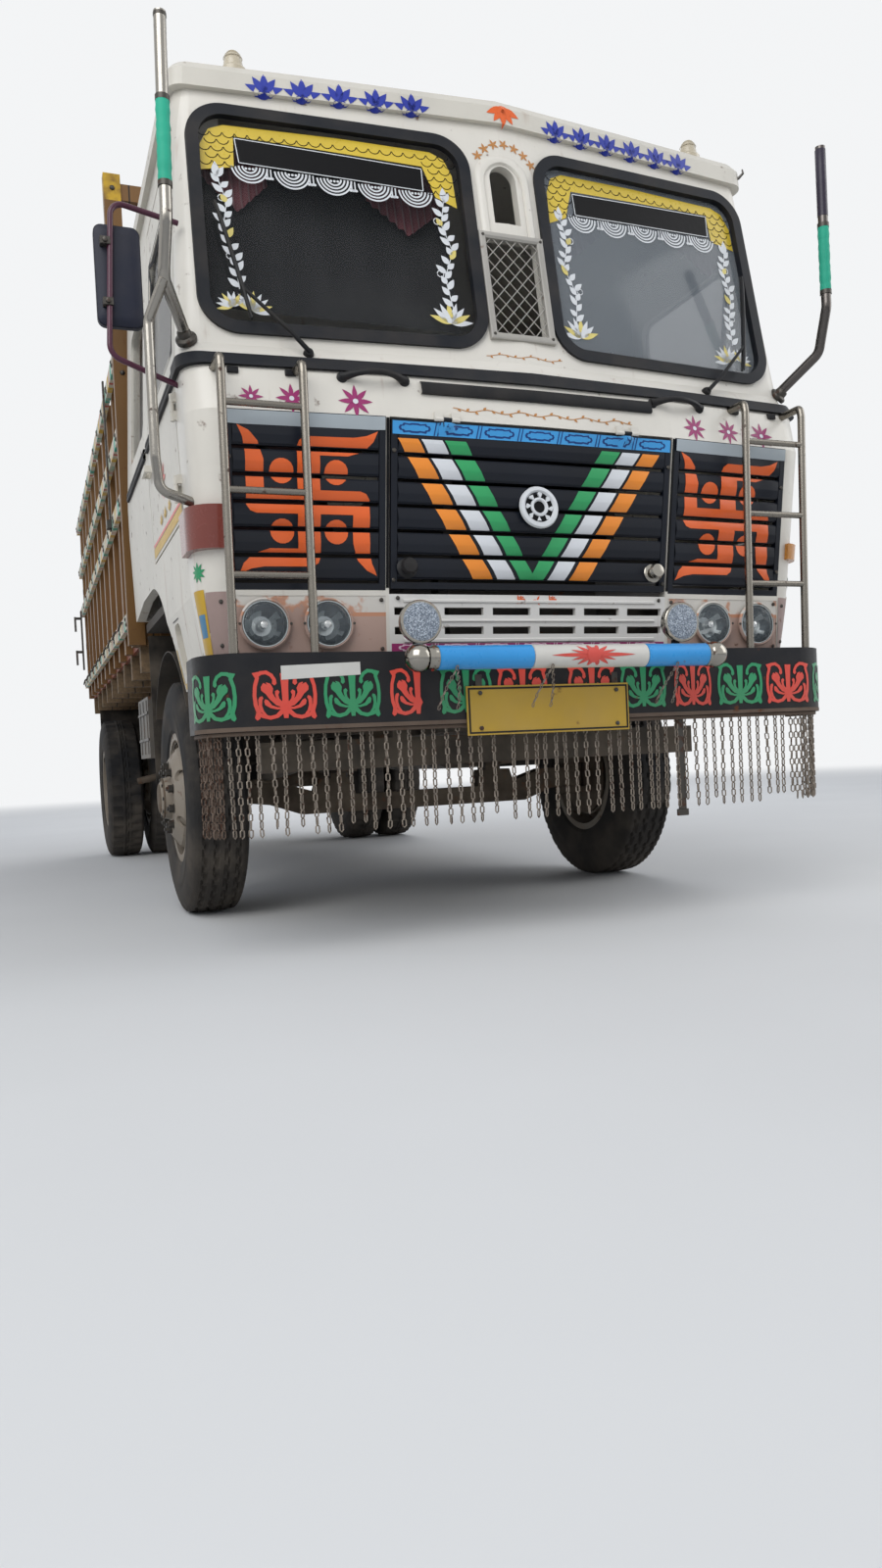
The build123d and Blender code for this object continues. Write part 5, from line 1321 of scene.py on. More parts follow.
@dataclass
class Louvres:
    """The three louvred panels with everything that is painted on them."""

    centre_x: tuple[float, float] = (-0.522, 0.522)
    side_x: tuple[float, float] = (0.584, 1.069)
    emblem_centre: Point2 = (0.822, 1.487)
    badge_centre: Point2 = (0.0, 1.474)
    badge_radius: float = 0.076
    belt_z: tuple[float, float] = (1.7125, 1.7545)
    belt_slot: tuple[float, float] = (1.7185, 1.7415)
    belt_lift: float = 0.0016
    bar_z: tuple[float, float] = (1.7205, 1.7615)
    bar_lift: float = 0.0065

    def build(self) -> None:
        """Makes the slats, the stripes, the belts, the emblems and the badge."""
        centre = LouvrePanel("centre_slats", ("centre_grille",), "grille_flap", self.centre_x, 1.248, 0.08167)
        right = LouvrePanel("right_slats", ("side_grilles",), FIXED, (-self.side_x[1], -self.side_x[0]),
                            1.242, 0.08367)
        left = LouvrePanel("left_slats", ("side_grilles",), FIXED, self.side_x, 1.242, 0.08367)
        slats = {panel.name: panel.build() for panel in (centre, right, left)}
        self.paint_centre(centre, slats[centre.name])
        self.paint_sides((right, left), [slats[right.name], slats[left.name]])
        self.fix_badge()

    @staticmethod
    def lay_on_slats(skin: Skin, panel: LouvrePanel, shapes: Sequence[Shape]) -> None:
        """Lays shapes only where a slat carries them, folded as the slat is."""
        for outline, mark in shapes:
            for low, middle, high in panel.bands():
                folds = (low + 0.002, low + 0.006, middle, middle + 0.003, high - 0.006, high - 0.002)
                for foot, top in zip(folds, folds[1:]):
                    part = clipped(outline, foot, top)
                    if len(part) > 2:
                        skin.lay(part, mark)

    def paint_centre(self, panel: LouvrePanel, slats: bpy.types.Object) -> None:
        """The three-coloured V and the light blue belt with its cartouches."""
        wall = Wall(panel.nodes, front_place, [slats])
        skin = Skin(wall, SAFFRON, STRIPE_WHITE, LEAF_GREEN)
        shapes: list[Shape] = []
        top, foot, shift = 1.700, 1.2480, -0.014
        for side in (1, -1):
            for mark, (u0, u1), (w0, w1) in ((0, (0.436, 0.508), (0.150, 0.226)),
                                             (1, (0.350, 0.425), (0.062, 0.132)),
                                             (2, (0.264, 0.341), (-0.014, 0.045))):
                corners = [(u0, top), (u1, top), (w1, foot), (w0, foot)]
                shapes.append(([(shift + side * u, z) for u, z in corners], mark))
        self.lay_on_slats(skin, panel, shapes)
        finish_piece(skin.mesh("centre_stripes"), panel.body, solid=False)
        self.paint_belt(panel, slats)

    def paint_belt(self, panel: LouvrePanel, slats: bpy.types.Object) -> None:
        """The belt along the top of the centre panel, whose ground bridges the slot behind it."""
        low, high = self.belt_z
        columns = [-0.540 + 0.0225 * k for k in range(49)]
        ground = Skin(Wall(panel.nodes, front_place, [slats]), BELT_BLUE)
        ground.strip(columns, [(z, self.belt_lift) for z in (low, *self.belt_slot, high)])
        plate = finish_piece(ground.mesh("centre_belt"), panel.body, solid=False)
        belt = Skin(Wall((), front_place, [plate]), BELT_BLUE, BELT_LINE, lift=0.0006, pace=0.022)
        middle = (low + high) / 2
        for i in range(7):
            u = (i - 3) * 0.154
            belt.lay_all([cartouche(0.114, 0.031)], 1, spot(u, middle))
            belt.lay_all([cartouche(0.098, 0.019)], 0, spot(u, middle), 1)
            for step in (0.071, 0.083):
                foot, head = low + 0.0005, high - 0.0005
                slant = [(u + step - 0.004, foot), (u + step, foot), (u + step + 0.008, head),
                         (u + step + 0.004, head)]
                if u + step < 0.53:
                    belt.lay(slant, 1)
        finish_piece(belt.mesh("centre_cartouches"), panel.body, solid=False)

    def paint_sides(self, panels: Sequence[LouvrePanel], slats: Sequence[bpy.types.Object]) -> None:
        """The large orange emblems of good fortune and the grey bars over them."""
        for panel, piece in zip(panels, slats):
            side = -1 if panel.x[0] < 0 else 1
            wall = Wall(panel.nodes, front_place, [piece])
            skin = Skin(wall, ORANGE)
            move = spot(side * self.emblem_centre[0], self.emblem_centre[1])
            self.lay_on_slats(skin, panel, [(shifted(outline, move), 0) for outline in fortune_emblem()])
            bar = sorted((side * 0.566, side * 1.087))
            low, high = self.bar_z
            finish_piece(skin.mesh(f"{panel.name[:-6]}_emblem"), FIXED, solid=False)
            grey = Skin(Wall(panel.nodes, front_place), SILVER_GREY, lift=self.bar_lift)
            grey.lay(rect(*bar, low, high))
            finish_piece(grey.mesh(f"{panel.name[:-6]}_grey_bar"), FIXED, solid=False)

    def fix_badge(self) -> None:
        """A plain ringed disc in the middle and the knob that opens the flap."""
        x, z = self.badge_centre
        r = self.badge_radius
        wall = Wall(("centre_grille",), front_place)
        seat = wall.at(x, z + 0.02, 0.007)
        badge = Form(LACE_WHITE, BANNER_BLACK)
        profile = [(0.0, r - 0.004), (0.010, r), (0.018, r - 0.004), (0.020, r - 0.016), (0.014, r - 0.022)]
        badge.turned([(0.0, r - 0.024), *profile, (0.0, r - 0.026)], seat, (0, -1, 0.1), 40, 0, closed=True)
        badge.turned([(0.0, 0.002), (0.002, r - 0.02), (0.012, r - 0.022), (0.013, 0.030), (0.012, 0.001)],
                     seat, (0, -1, 0.1), 40, 1)
        badge.turned([(0.012, 0.034), (0.018, 0.033), (0.020, 0.026), (0.016, 0.022), (0.012, 0.021)],
                     seat, (0, -1, 0.1), 32, 0, closed=True)
        for k in range(8):
            blade = [(0.030, -0.004), (0.048, -0.012), (0.054, 0.000), (0.048, 0.006)]
            turn = Matrix.Rotation(math.tau * k / 8, 3, "Z")
            turned = [turn @ Vector((u, v, 0)) for u, v in blade]
            badge.rings([[seat + Vector((p.x, -depth, p.y)) for p in turned] for depth in (0.010, 0.017)], 0)
        finish_piece(badge.mesh("plain_badge"), "grille_flap")
        knobs = Form(CHROME, BLACK_PLASTIC)
        for side, mark in ((1, 0), (-1, 1)):
            place = wall.at(side * 0.488, 1.281, 0.007) or wall.at(side * 0.488, 1.290, 0.007)
            knobs.turned([(0.0, 0.034), (0.004, 0.036), (0.008, 0.030), (0.010, 0.016), (0.020, 0.015),
                          (0.024, 0.026),
                          (0.034, 0.030), (0.044, 0.024), (0.048, 0.004)], place, (0, -1, 0.1), 24, mark)
        finish_piece(knobs.mesh("flap_knobs"), "grille_flap")


def cartouche(width: float, height: float) -> list[Point2]:
    """A lobed frame, as sign painters put round a word."""
    w, h = width / 2, height / 2
    quarter = [(w, 0.0), (w * 0.93, h * 0.5), (w * 0.78, h * 0.55), (w * 0.70, h), (w * 0.35, h * 0.82),
               (w * 0.2, h)]
    upper = quarter + [(-u, v) for u, v in reversed(quarter)]
    return upper + [(u, -v) for u, v in reversed(upper[1:-1])]


def fortune_emblem() -> list[list[Point2]]:
    """The traditional four-armed emblem of good fortune with its dots, about 0.46 m across."""
    arm = [(-0.0375, 0.0375), (-0.0375, 0.172), (-0.030, 0.192), (-0.012, 0.204), (0.150, 0.205),
           (0.192, 0.212),
           (0.232, 0.229), (0.216, 0.194), (0.184, 0.164), (0.130, 0.147), (0.0375, 0.147), (0.0375, 0.0375)]
    pieces: list[list[Point2]] = []
    turned = arm
    for _ in range(4):
        pieces.append(turned)
        turned = [(v, -u) for u, v in turned]
    half = 0.0375
    pieces.append(rect(-half, half, -half, half))
    pieces += [disc((u, v), 0.0395, 18) for u in (-0.089, 0.091) for v in (-0.093, 0.095)]
    return pieces


@dataclass
class FrontSheet:
    """What is painted and fixed on the cab's front sheet metal."""

    plate_x: tuple[float, float] = (-0.43, 0.47)
    plate_z: tuple[float, float] = (1.852, 1.896)
    handle_x: tuple[float, float] = (0.475, 0.705)
    handle_z: float = 1.893
    nodes: tuple[str, ...] = ("cab_front", "centre_grille", "side_grilles", "lower_grille", "lamp_panels",
                              "cab_roof")

    def build(self) -> None:
        """Makes the name plate, handles, ornaments, bands, corner paint and screws."""
        self.wall = Wall(self.nodes, front_place)
        self.fix_plate_and_handles()
        self.paint_ornaments()
        self.paint_lower_grille()
        self.paint_corners()
        self.set_screws()

    def fix_plate_and_handles(self) -> None:
        """The blank black name plate, two pull handles and the small clips beside them."""
        plate = Skin(self.wall, BLACK_PLASTIC)
        z0, z1 = self.plate_z
        plate.strip(spread(*self.plate_x, 24), [(z0, 0.0005), (z0 + 0.001, 0.011), (z0 + 0.006, 0.014),
                                                (z1 - 0.006, 0.014), (z1 - 0.001, 0.011), (z1, 0.0005)])
        finish_piece(plate.mesh("name_plate"), FIXED, solid=False)
        handles = Form(BLACK_PLASTIC)
        for side in (1, -1):
            near, far = self.handle_x
            line = []
            for k in range(13):
                share = k / 12
                x = side * (near + (far - near) * share)
                seat = self.wall.at(x, self.handle_z, 0.0)
                rise = 0.034 * math.sin(math.pi * min(max((share - 0.08) / 0.84, 0), 1)) ** 0.6
                line.append(seat + Vector((0, -0.006 - rise, 0.012 * math.sin(math.pi * share))))
            handles.tube(line, [0.013, 0.014, 0.012, 0.010, *[0.0095] * 5, 0.010, 0.012, 0.014, 0.013], 10)
            for share in (0.04, 0.96):
                seat = self.wall.at(side * (near + (far - near) * share), self.handle_z, 0.0)
                handles.turned([(0.0, 0.019), (0.006, 0.018), (0.010, 0.012), (0.011, 0.001)],
                               seat, AHEAD, 16)
            for x in (1.05, 0.865):
                seat = self.wall.at(side * x, 1.897, 0.0)
                handles.box(seat + Vector((-0.018, -0.012, -0.010)),
                            seat + Vector((0.018, 0.004, 0.010)), 0, 0.003)
        finish_piece(handles.mesh("pull_handles"), FIXED)

    def paint_ornaments(self) -> None:
        """Small painted flowers and vines on the white sheet, and the blue ones on the roof's lip."""
        skin = Skin(self.wall, MAGENTA, OCHRE, ROYAL_BLUE, ORANGE, STRIPE_WHITE, pace=0.06)
        for u, v, size in ((-0.87, 1.81, 0.052), (-0.66, 1.812, 0.058), (-1.0, 1.81, 0.04),
                           (0.66, 1.812, 0.052), (0.82, 1.812, 0.05), (0.98, 1.81, 0.055)):
            skin.lay_all(flower(8, 1.0, 0.3), 0, spot(u, v, size))
            skin.lay_all([disc((0, 0), 0.16, 10)], 4, spot(u, v, size), 1)
        skin.lay_all(vine(0.70, 0.018, 22), 1, spot(0.03, 1.807))
        skin.lay_all(vine(0.30, 0.014, 10), 1, spot(0.0, 2.035))
        for k in range(7):
            angle = math.radians(150 - 20 * k)
            u, v = 0.02 + 0.125 * math.cos(angle), 2.745 + 0.115 * math.sin(angle)
            skin.lay_all(flower(5, 1.0, 0.4), 1, spot(u, v, 0.022, k * 15))
        for u in (-0.845, -0.715, -0.585, -0.455, -0.325, 0.245, 0.362, 0.479, 0.596, 0.713, 0.825):
            skin.lay_all(palmette(), 2, spot(u, 2.962, 0.075))
        skin.lay_all(palmette(), 3, spot(0.02, 2.955, 0.075, 180))
        finish_piece(skin.mesh("sheet_ornaments"), FIXED, solid=False)

    def paint_lower_grille(self) -> None:
        """The pressed frame round the slots, small motifs, the magenta band and the baffles behind."""
        frame_form = Skin(self.wall, GRILLE_WHITE, pace=0.08)
        for z0, z1 in ((1.030, 1.046), (1.100, 1.112), (1.166, 1.180)):
            row = [-0.50 + k / 20 for k in range(21)]
            frame_form.strip(row, [(z0, 0.0004), (z0 + 0.004, 0.006), (z1 - 0.004, 0.006), (z1, 0.0004)])
        for x0, x1 in ((-0.532, -0.500), (0.500, 0.532)):
            column = [1.034 + 0.144 * k / 6 for k in range(7)]
            section = ((x0, 0.0004), (x0 + 0.006, 0.006), (x1 - 0.006, 0.006), (x1, 0.0004))
            frame_form.lattice([[(x, z, lift) for x, lift in section] for z in column])
        finish_piece(frame_form.mesh("slot_frame"), FIXED, solid=False)
        skin = Skin(self.wall, MAGENTA, PALE_PINK, ORANGE, lift=0.0016, pace=0.022)
        skin.lay(rect(-0.545, 0.545, 0.999, 1.029))
        for i in range(7):
            u = (i - 3) * 0.154
            skin.lay_all([cartouche(0.118, 0.024)], 1, spot(u, 1.0145), 2)
            skin.lay_all([cartouche(0.103, 0.015)], 0, spot(u, 1.0145), 4)
            for step in (0.070, 0.080):
                if u + step < 0.53:
                    skin.lay([(u + step, 0.999), (u + step + 0.003, 0.999), (u + step + 0.009, 1.029),
                              (u + step + 0.006, 1.029)], 1, coat=2)
        for u in (-0.055, 0.071):
            skin.lay_all(fortune_emblem(), 2, spot(u, 1.1815, 0.075))
        skin.lay_all(flower(3, 1.0, 0.35), 2, spot(0.008, 1.178, 0.02, 90))
        finish_piece(skin.mesh("lower_band"), FIXED, solid=False)
        baffles = Form(FLAP_RUBBER)
        for side in (1, -1):
            near, far = sorted((side * 0.2995, side * 0.630))
            baffles.box((near, 0.118, 0.985), (far, 0.122, 1.205), 0, 0.001)
        finish_piece(baffles.mesh("air_baffles"), FIXED)

    def paint_corners(self) -> None:
        """Pink corner plates, their yellow edges, blue patches and small green flowers."""
        for side, word in SIDES:
            pink = Skin(self.wall, PLAIN_PINK, lift=0.0025, pace=0.014)
            pink.lay([(side * 1.096, 0.992), (side * 1.158, 0.992), (side * 1.160, 1.202),
                      (side * 1.096, 1.202)])
            finish_piece(pink.mesh(f"corner_plate_{word}"), FIXED, solid=False)
            wall = Wall(("cab_front", "cab_sides"), corner_place(side))
            skin = Skin(wall, YELLOW, PATCH_BLUE, SCROLL_GREEN, lift=0.0022, pace=0.014)
            near, far = (-0.072, -0.012)
            skin.lay(rect(near, far, 0.96, 1.212), 0)
            skin.lay(rect(near + 0.012, far - 0.010, 1.06, 1.135), 1, 1)
            skin.lay_all(flower(9, 1.0, 0.32), 2, spot(-0.030, 1.268, 0.034))
            finish_piece(skin.mesh(f"corner_stripe_{word}"), FIXED, solid=False)

    def set_screws(self) -> None:
        """Screws at the corners of the lamp panels, the lower grille and the grey bars."""
        copies = Copies("screws")
        head = Form()
        head.turned([(0.0, 0.0075), (0.002, 0.0075), (0.0042, 0.005), (0.0045, 0.001)], (0, 0, 0), AHEAD, 8)
        places, turns = [], []
        points = [(side * x, z) for side in (1, -1) for x, z in
                  ((0.578, 1.012), (0.578, 1.176), (1.072, 1.176), (1.072, 1.012), (0.520, 1.182),
                   (0.66, 1.742),
                   (0.80, 1.742), (0.94, 1.742), (1.06, 1.742), (1.115, 1.03), (1.115, 1.17), (0.535, 1.242),
                   (1.078, 1.30), (1.078, 1.62), (0.535, 1.66))]
        for x, z in points:
            seat = self.wall.at(x, z, 0.003)
            if seat is not None:
                places.append(seat)
                turns.append((0.0, 0.0, 0.0))
        piece = copies.set_out("front_screws", head, places, turns, DARK_STEEL, 1.0, 0.2)
        finish_piece(piece, FIXED)


def corner_place(side: int) -> Callable[[float, float], tuple[Vector, Vector]]:
    """Looks at a front corner of the cab at 45 degrees; u grows towards the middle of the front.

    Args:
        side: 1 for the lorry's left corner (+x), -1 for its right.

    Returns:
        The place function.
    """
    root = math.sqrt(0.5)
    way = Vector((-side * root, root, 0))
    across = Vector((-side * root, -root, 0))
    return lambda u, v: (Vector((side * 1.150, 0.070, v)) + across * u - way * 0.5, way)


def flower(petals: int, radius: float, width: float) -> list[list[Point2]]:
    """Petals round a centre, each a pointed leaf."""
    blade = leaf(radius, radius * width)
    return [placed(blade, math.tau * k / petals) for k in range(petals)]


def vine(length: float, height: float, leaves: int) -> list[list[Point2]]:
    """A wavy stem with leaves on both sides, centred on the origin."""
    stem = []
    for k in range(leaves * 2 + 1):
        u = length * (k / (leaves * 2) - 0.5)
        stem.append((u, height * 0.3 * math.sin(u / length * math.tau * leaves / 4)))
    shapes = [stroke(stem, height * 0.16, False)]
    for k in range(leaves):
        u, v = stem[2 * k + 1]
        side = 1 if k % 2 else -1
        lean = math.radians(-50 if side > 0 else -130)
        shapes.append(placed(leaf(height * 0.9, height * 0.5), lean, u, v))
    return shapes


def palmette() -> list[list[Point2]]:
    """Five leaves fanned over a curved base, about one unit high and wider than tall."""
    shapes = []
    for lean in (-68, -34, 0, 34, 68):
        c, s = math.cos(math.radians(-lean)), math.sin(math.radians(-lean))
        blade = leaf(0.90 if lean == 0 else 0.84, 0.34)
        shapes.append([((a * c - b * s) * 1.12, a * s + b * c - 0.42) for a, b in blade])
    shapes.append(stroke(arc((0, -0.26), 0.24, 205, 335, 8), 0.15, False))
    return shapes


def paired_leaves() -> list[list[Point2]]:
    """Two bent leaves over a short bud, about one unit high."""
    left = [(u - 0.08, v - 0.45) for u, v in leaf(0.95, 0.42, -0.55)]
    right = [(u + 0.08, v - 0.45) for u, v in leaf(0.95, 0.42, 0.55)]
    bud = [(u, v - 0.1) for u, v in leaf(0.6, 0.26)]
    return [left, right, bud]


@dataclass
class Glasswork:
    """Stickers on the windscreens, the wipers, the mesh window, the side strips and the curtains."""

    pane_x: tuple[float, float] = (0.186, 1.076)
    banner: tuple[Point2, ...] = ((0.958, 2.772), (0.300, 2.733), (0.302, 2.640), (0.950, 2.674))
    strip_z: tuple[float, float] = (1.918, 1.962)

    def build(self) -> None:
        """Makes everything on and behind the glass."""
        wall = Wall(("cab_glass",), front_place)
        for side, word in SIDES:
            self.stick(wall, side, word)
        self.fit_wipers()
        self.fit_mesh_window()
        self.run_side_strips()
        self.hang_curtains()

    def stick(self, wall: Wall, side: int, word: str) -> None:
        """The yellow scales, the blank banner, the lace, the vines and the shells of one pane."""
        skin = Skin(wall, SCALE_YELLOW, BANNER_BLACK, LACE_WHITE, PETAL_YELLOW, lift=0.0012, pace=0.05)

        def lay(outline: Sequence[Point2], mark: int, coat: int = 0) -> None:
            """Lays one shape, mirrored to this pane."""
            skin.lay([(side * u, v) for u, v in outline], mark, coat=coat)

        inner, outer = self.pane_x
        crown = [(outer, 2.640), (outer - 0.004, 2.735), (1.040, 2.795), (0.990, 2.815), (0.60, 2.812),
                 (0.265, 2.800),
                 (0.215, 2.775), (inner + 0.005, 2.715), (inner, 2.590), (0.262, 2.625), (0.300, 2.740),
                 (0.958, 2.776), (0.965, 2.660)]
        lay(crown, 0)
        for row in range(9):
            v = 2.600 + row * 0.027
            for k in range(24):
                u = inner + 0.010 + k * 0.042 + (row % 2) * 0.021
                in_crown = v > 2.768 + (u - 0.3) * 0.03 or u > 0.968 and v > 2.655 or u < 0.292 and v > 2.640
                if in_crown and u < outer and v < 2.80:
                    lay(stroke(arc((u, v), 0.0205, 190, 350, 7), 0.0030, False), 1, 1)
        lay(self.banner, 1, 2)
        (u0, v0), (u1, v1), (u2, v2), (u3, v3) = self.banner
        edge = [(u3 - 0.003, v3 + 0.004), (u0 - 0.003, v0 - 0.004), (u1 + 0.004, v1 - 0.004),
                (u2 + 0.004, v2 + 0.004)]
        for start, end in zip(edge, [*edge[1:], edge[0]]):
            lay(stroke([start, end], 0.0032, False), 2, 3)
        for k in range(5):
            share = (k + 0.5) / 5
            centre = (u3 + 0.035 + (u2 - u3 - 0.075) * share, v3 - 0.002 + (v2 - v3) * share)
            for radius in (0.060, 0.048, 0.036, 0.024):
                lay(stroke(arc(centre, radius, 182, 358, 14), 0.0062, False), 2)
            for dot in (-0.012, 0.0, 0.012):
                lay(disc((centre[0] + dot, centre[1] - 0.009), 0.0048, 8), 2)
            if k < 4:
                for drop in (-0.071, -0.059):
                    foot = (centre[0] + drop, centre[1] - 0.034)
                    lay(stroke([(foot[0], centre[1] - 0.004), foot], 0.0045, False), 2)
                    lay(disc((foot[0] - 0.004, foot[1] - 0.004), 0.0052, 7), 2)
                    lay(disc((foot[0] + 0.004, foot[1] - 0.004), 0.0052, 7), 2)
        self.grow_vine(lay, [(1.028, 2.630), (1.000, 2.530), (1.020, 2.430), (0.990, 2.320), (0.985, 2.215)])
        self.grow_vine(lay, [(0.233, 2.620), (0.252, 2.520), (0.222, 2.420), (0.262, 2.320), (0.246, 2.205)])
        for u, v, turn, size in ((0.258, 2.146, 8, 0.082), (1.012, 2.150, -24, 0.056),
                                 (0.950, 2.140, 20, 0.072)):
            for k in range(8):
                lean = math.radians(turn + 12 + 22 * k) - math.pi / 2
                lay(placed(leaf(size, size * 0.27), lean, u, v), 3 if k % 3 == 0 else 2)
        finish_piece(skin.mesh(f"screen_stickers_{word}"), FIXED, solid=False)

    @staticmethod
    def grow_vine(lay: Callable, stem: Sequence[Point2]) -> None:
        """Leaves and two small loops along a wavy stem."""
        lay(stroke(stem, 0.0035, False), 2)
        (top_u, top_v), count = stem[0], 22
        lay([(top_u + p, top_v + q - 0.012) for p, q in leaf(0.058, 0.026)], 2, 1)
        for k in range(count):
            share = (k + 0.7) / count * (len(stem) - 1)
            i = int(share)
            (a0, b0), (a1, b1) = stem[i], stem[min(i + 1, len(stem) - 1)]
            u, v = a0 + (a1 - a0) * (share - i), b0 + (b1 - b0) * (share - i)
            lean = math.radians((-40 if k % 2 else 40) + (9 * (k % 3) - 9))
            blade = leaf(0.047 - 0.006 * (k % 3), 0.022)
            lay(placed(blade, lean, u, v), 3 if k in (5, 12) else 2, 1)
        for u, v in (stem[1], stem[3]):
            lay(stroke(arc((u + 0.016, v + 0.012), 0.012, 0, 350, 12), 0.0030, False), 2, 1)

    def fit_wipers(self) -> None:
        """Each wiper has a pivot, a sprung arm and a blade that rests on the glass."""
        form = Form(BLACK_PLASTIC, DARK_STEEL)
        for side in (-1, 1):
            foot = Vector((side * 0.785, 0.040, 1.985))
            form.turned([(0.0, 0.018), (0.014, 0.018), (0.026, 0.013), (0.030, 0.001)], foot,
                        (0, -1, 0.2), 16, 0)
            heel, tip = Vector((side * 0.967, 0.052, 2.088)), Vector((side * 1.050, 0.148, 2.500))
            middle = heel.lerp(tip, 0.25) + Vector((0, -0.026, 0))
            form.tube([foot + Vector((0, -0.026, 0.004)),
                       foot.lerp(middle, 0.3) + Vector((0, -0.034, 0)), middle],
                      [0.0085, 0.0075, 0.0055], 8, 0)
            spine = [heel.lerp(tip, k / 8) + Vector((0, -0.022 - 0.006 * math.sin(math.pi * k / 8), 0))
                     for k in range(9)]
            form.tube(spine, [0.004, *[0.0065] * 7, 0.004], 6, 0)
            for k in (1, 3, 5, 7):
                form.tube([spine[k], spine[k] + Vector((0, 0.014, 0))], 0.004, 6, 1)
            form.tube([point + Vector((0, 0.012, 0)) for point in spine], 0.0042, 6, 0)
        finish_piece(form.mesh("wipers"), FIXED)

    def fit_mesh_window(self) -> None:
        """A proud grey frame with crossed wires, screwed on at its corners."""
        wall = Wall(("cab_front",), front_place)
        form = Form(MESH_GREY, DARK_STEEL)
        corners = [wall.at(x, z, 0.0) for x, z in rect(-0.128, 0.128, 2.092, 2.503)]
        centre = sum(corners, Vector()) / 4
        rings = []
        for draw, rise in ((1.0, 0.0), (0.985, 0.016), (0.94, 0.020), (0.86, 0.020), (0.80, 0.014),
                           (0.79, -0.004)):
            ring = []
            for corner in corners:
                arm = corner - centre
                tall = 1 - (1 - draw) * 0.62
                half = Vector((arm.x * draw, arm.y * tall, arm.z * tall))
                ring.append(centre + half - Vector((0, rise, 0)))
            rings.append(ring)
        form.rings(rings, 0, caps=False)
        inner = rings[4]

        def inside(s: float, t: float) -> Vector:
            """A point of the opening, from its lower left corner."""
            return inner[0].lerp(inner[1], s).lerp(inner[3].lerp(inner[2], s), t) + Vector((0, 0.006, 0))

        for k in range(-6, 5):
            for lean in (1, -1):
                start, end = k * 0.25, k * 0.25 + 1.6
                t0, t1 = max(0.0, -start / 1.6), min(1.0, (1 - start) / 1.6)
                if t1 - t0 > 0.04:
                    s0, s1 = start + 1.6 * t0, start + 1.6 * t1
                    a, b = (s0, s1) if lean > 0 else (1 - s0, 1 - s1)
                    form.tube([inside(a, t0), inside(b, t1)], 0.0016, 5, 0)
        for corner in rings[2]:
            form.turned([(0.0, 0.006), (0.003, 0.0055), (0.004, 0.001)], corner.lerp(centre, 0.05),
                        AHEAD, 8, 1)
        finish_piece(form.mesh("mesh_window"), FIXED)
        self.mould_vent(wall)

    @staticmethod
    def mould_vent(wall: Wall) -> None:
        """The rounded moulding of the vent above the mesh window."""
        vent = Skin(wall, CAB_WHITE, pace=0.05)
        path = [(-0.082, 2.500), (-0.082, 2.700), *arc((0, 2.702), 0.082, 180, 0, 14), (0.082, 2.500)]
        rows = []
        for draw, lift in ((0.026, 0.0004), (0.020, 0.009), (0.008, 0.012), (-0.002, 0.009), (-0.006, 0.001)):
            rows.append([(u + draw * (1 if u > 0.001 else -1 if u < -0.001 else 0),
                          v + (draw if v > 2.70 else 0), lift)
                         for u, v in path])
        vent.lattice([[row[k] for k in range(len(path))] for row in rows])
        finish_piece(vent.mesh("vent_moulding"), FIXED, solid=False)

    def run_side_strips(self) -> None:
        """The black strip goes on round the corners and along the sides and doors."""
        z0, z1 = self.strip_z
        section = [(z0, 0.0005), (z0 + 0.002, 0.011), (z0 + 0.016, 0.013), (z0 + 0.021, 0.008),
                   (z0 + 0.026, 0.013), (z1 - 0.002, 0.011), (z1, 0.0005)]
        for side, word in SIDES:
            for part, nodes, body, y0, y1 in (("cab", ("cab_sides", "cab_front"), FIXED, 0.060, 0.214),
                                              ("door", (f"door_{word}",), f"cab_door_{word}", 0.232, 1.040),
                                              ("rear", ("cab_sides",), FIXED, 1.058, 1.930)):
                count = max(3, int((y1 - y0) / 0.06))
                skin = Skin(Wall(nodes, side_place(side)), GASKET)
                skin.strip(spread(y0, y1, count), section)
                if skin.faces:
                    finish_piece(skin.mesh(f"strip_{part}_{word}"), body, solid=False, angle=50)

    def hang_curtains(self) -> None:
        """Short maroon falls at the top of each pane and a dark net behind the driver's."""
        for side, word in SIDES:
            for part, (u0, u1), drop in (("outer", (0.84, 1.07), 0.27), ("inner", (0.19, 0.48), 0.27)):
                self.hang(f"curtain_{part}_{word}", side, (u0, u1), 2.79, drop, 0.007, CURTAIN)
        self.hang("sun_net", -1, (0.185, 1.080), 2.79, 0.64, 0.003, NET, 0.022, 0.0)

    @staticmethod
    def hang(name: str, side: int, span: Point2, top: float, drop: float, wave: float, cloth: Finish,
             behind: float = 0.0, point: float = 0.45) -> None:
        """One gathered fall of cloth behind the glass.

        Args:
            name: the piece's name.
            side: 1 for the lorry's left pane, -1 for its right.
            span: its two edges, from the middle outwards.
            top: the height of its rail.
            drop: how far it falls.
            wave: how deep its folds are.
            cloth: its finish.
            behind: how far it hangs behind the front row.
            point: how much its lower edge is drawn up at its sides.
        """
        folds = max(6, round(abs(span[1] - span[0]) / 0.028)) if point else 6
        across, down = folds * 8, 14
        points, faces = [], []
        for i in range(across + 1):
            share = i / across
            x = side * (span[0] + (span[1] - span[0]) * share)
            fall = drop * (1 - point + point * (1 - abs(2 * share - 1)))
            for k in range(down + 1):
                level = k / down
                z = top - fall * level
                depth = 0.300 + behind + (2.80 - z) * -0.30
                phase = share * math.tau * folds + 0.8 * math.sin(level * 3)
                fold = wave * (0.45 + 0.55 * level) * math.sin(phase)
                points.append(Vector((x, depth + fold, z)))
        for i in range(across):
            for k in range(down):
                a = i * (down + 1) + k
                faces.append((a, a + 1, a + down + 2, a + down + 1))
        form = Form(cloth)
        form.add(points, faces)
        piece = form.mesh(name)
        finish_piece(piece, FIXED, solid=False, angle=80)


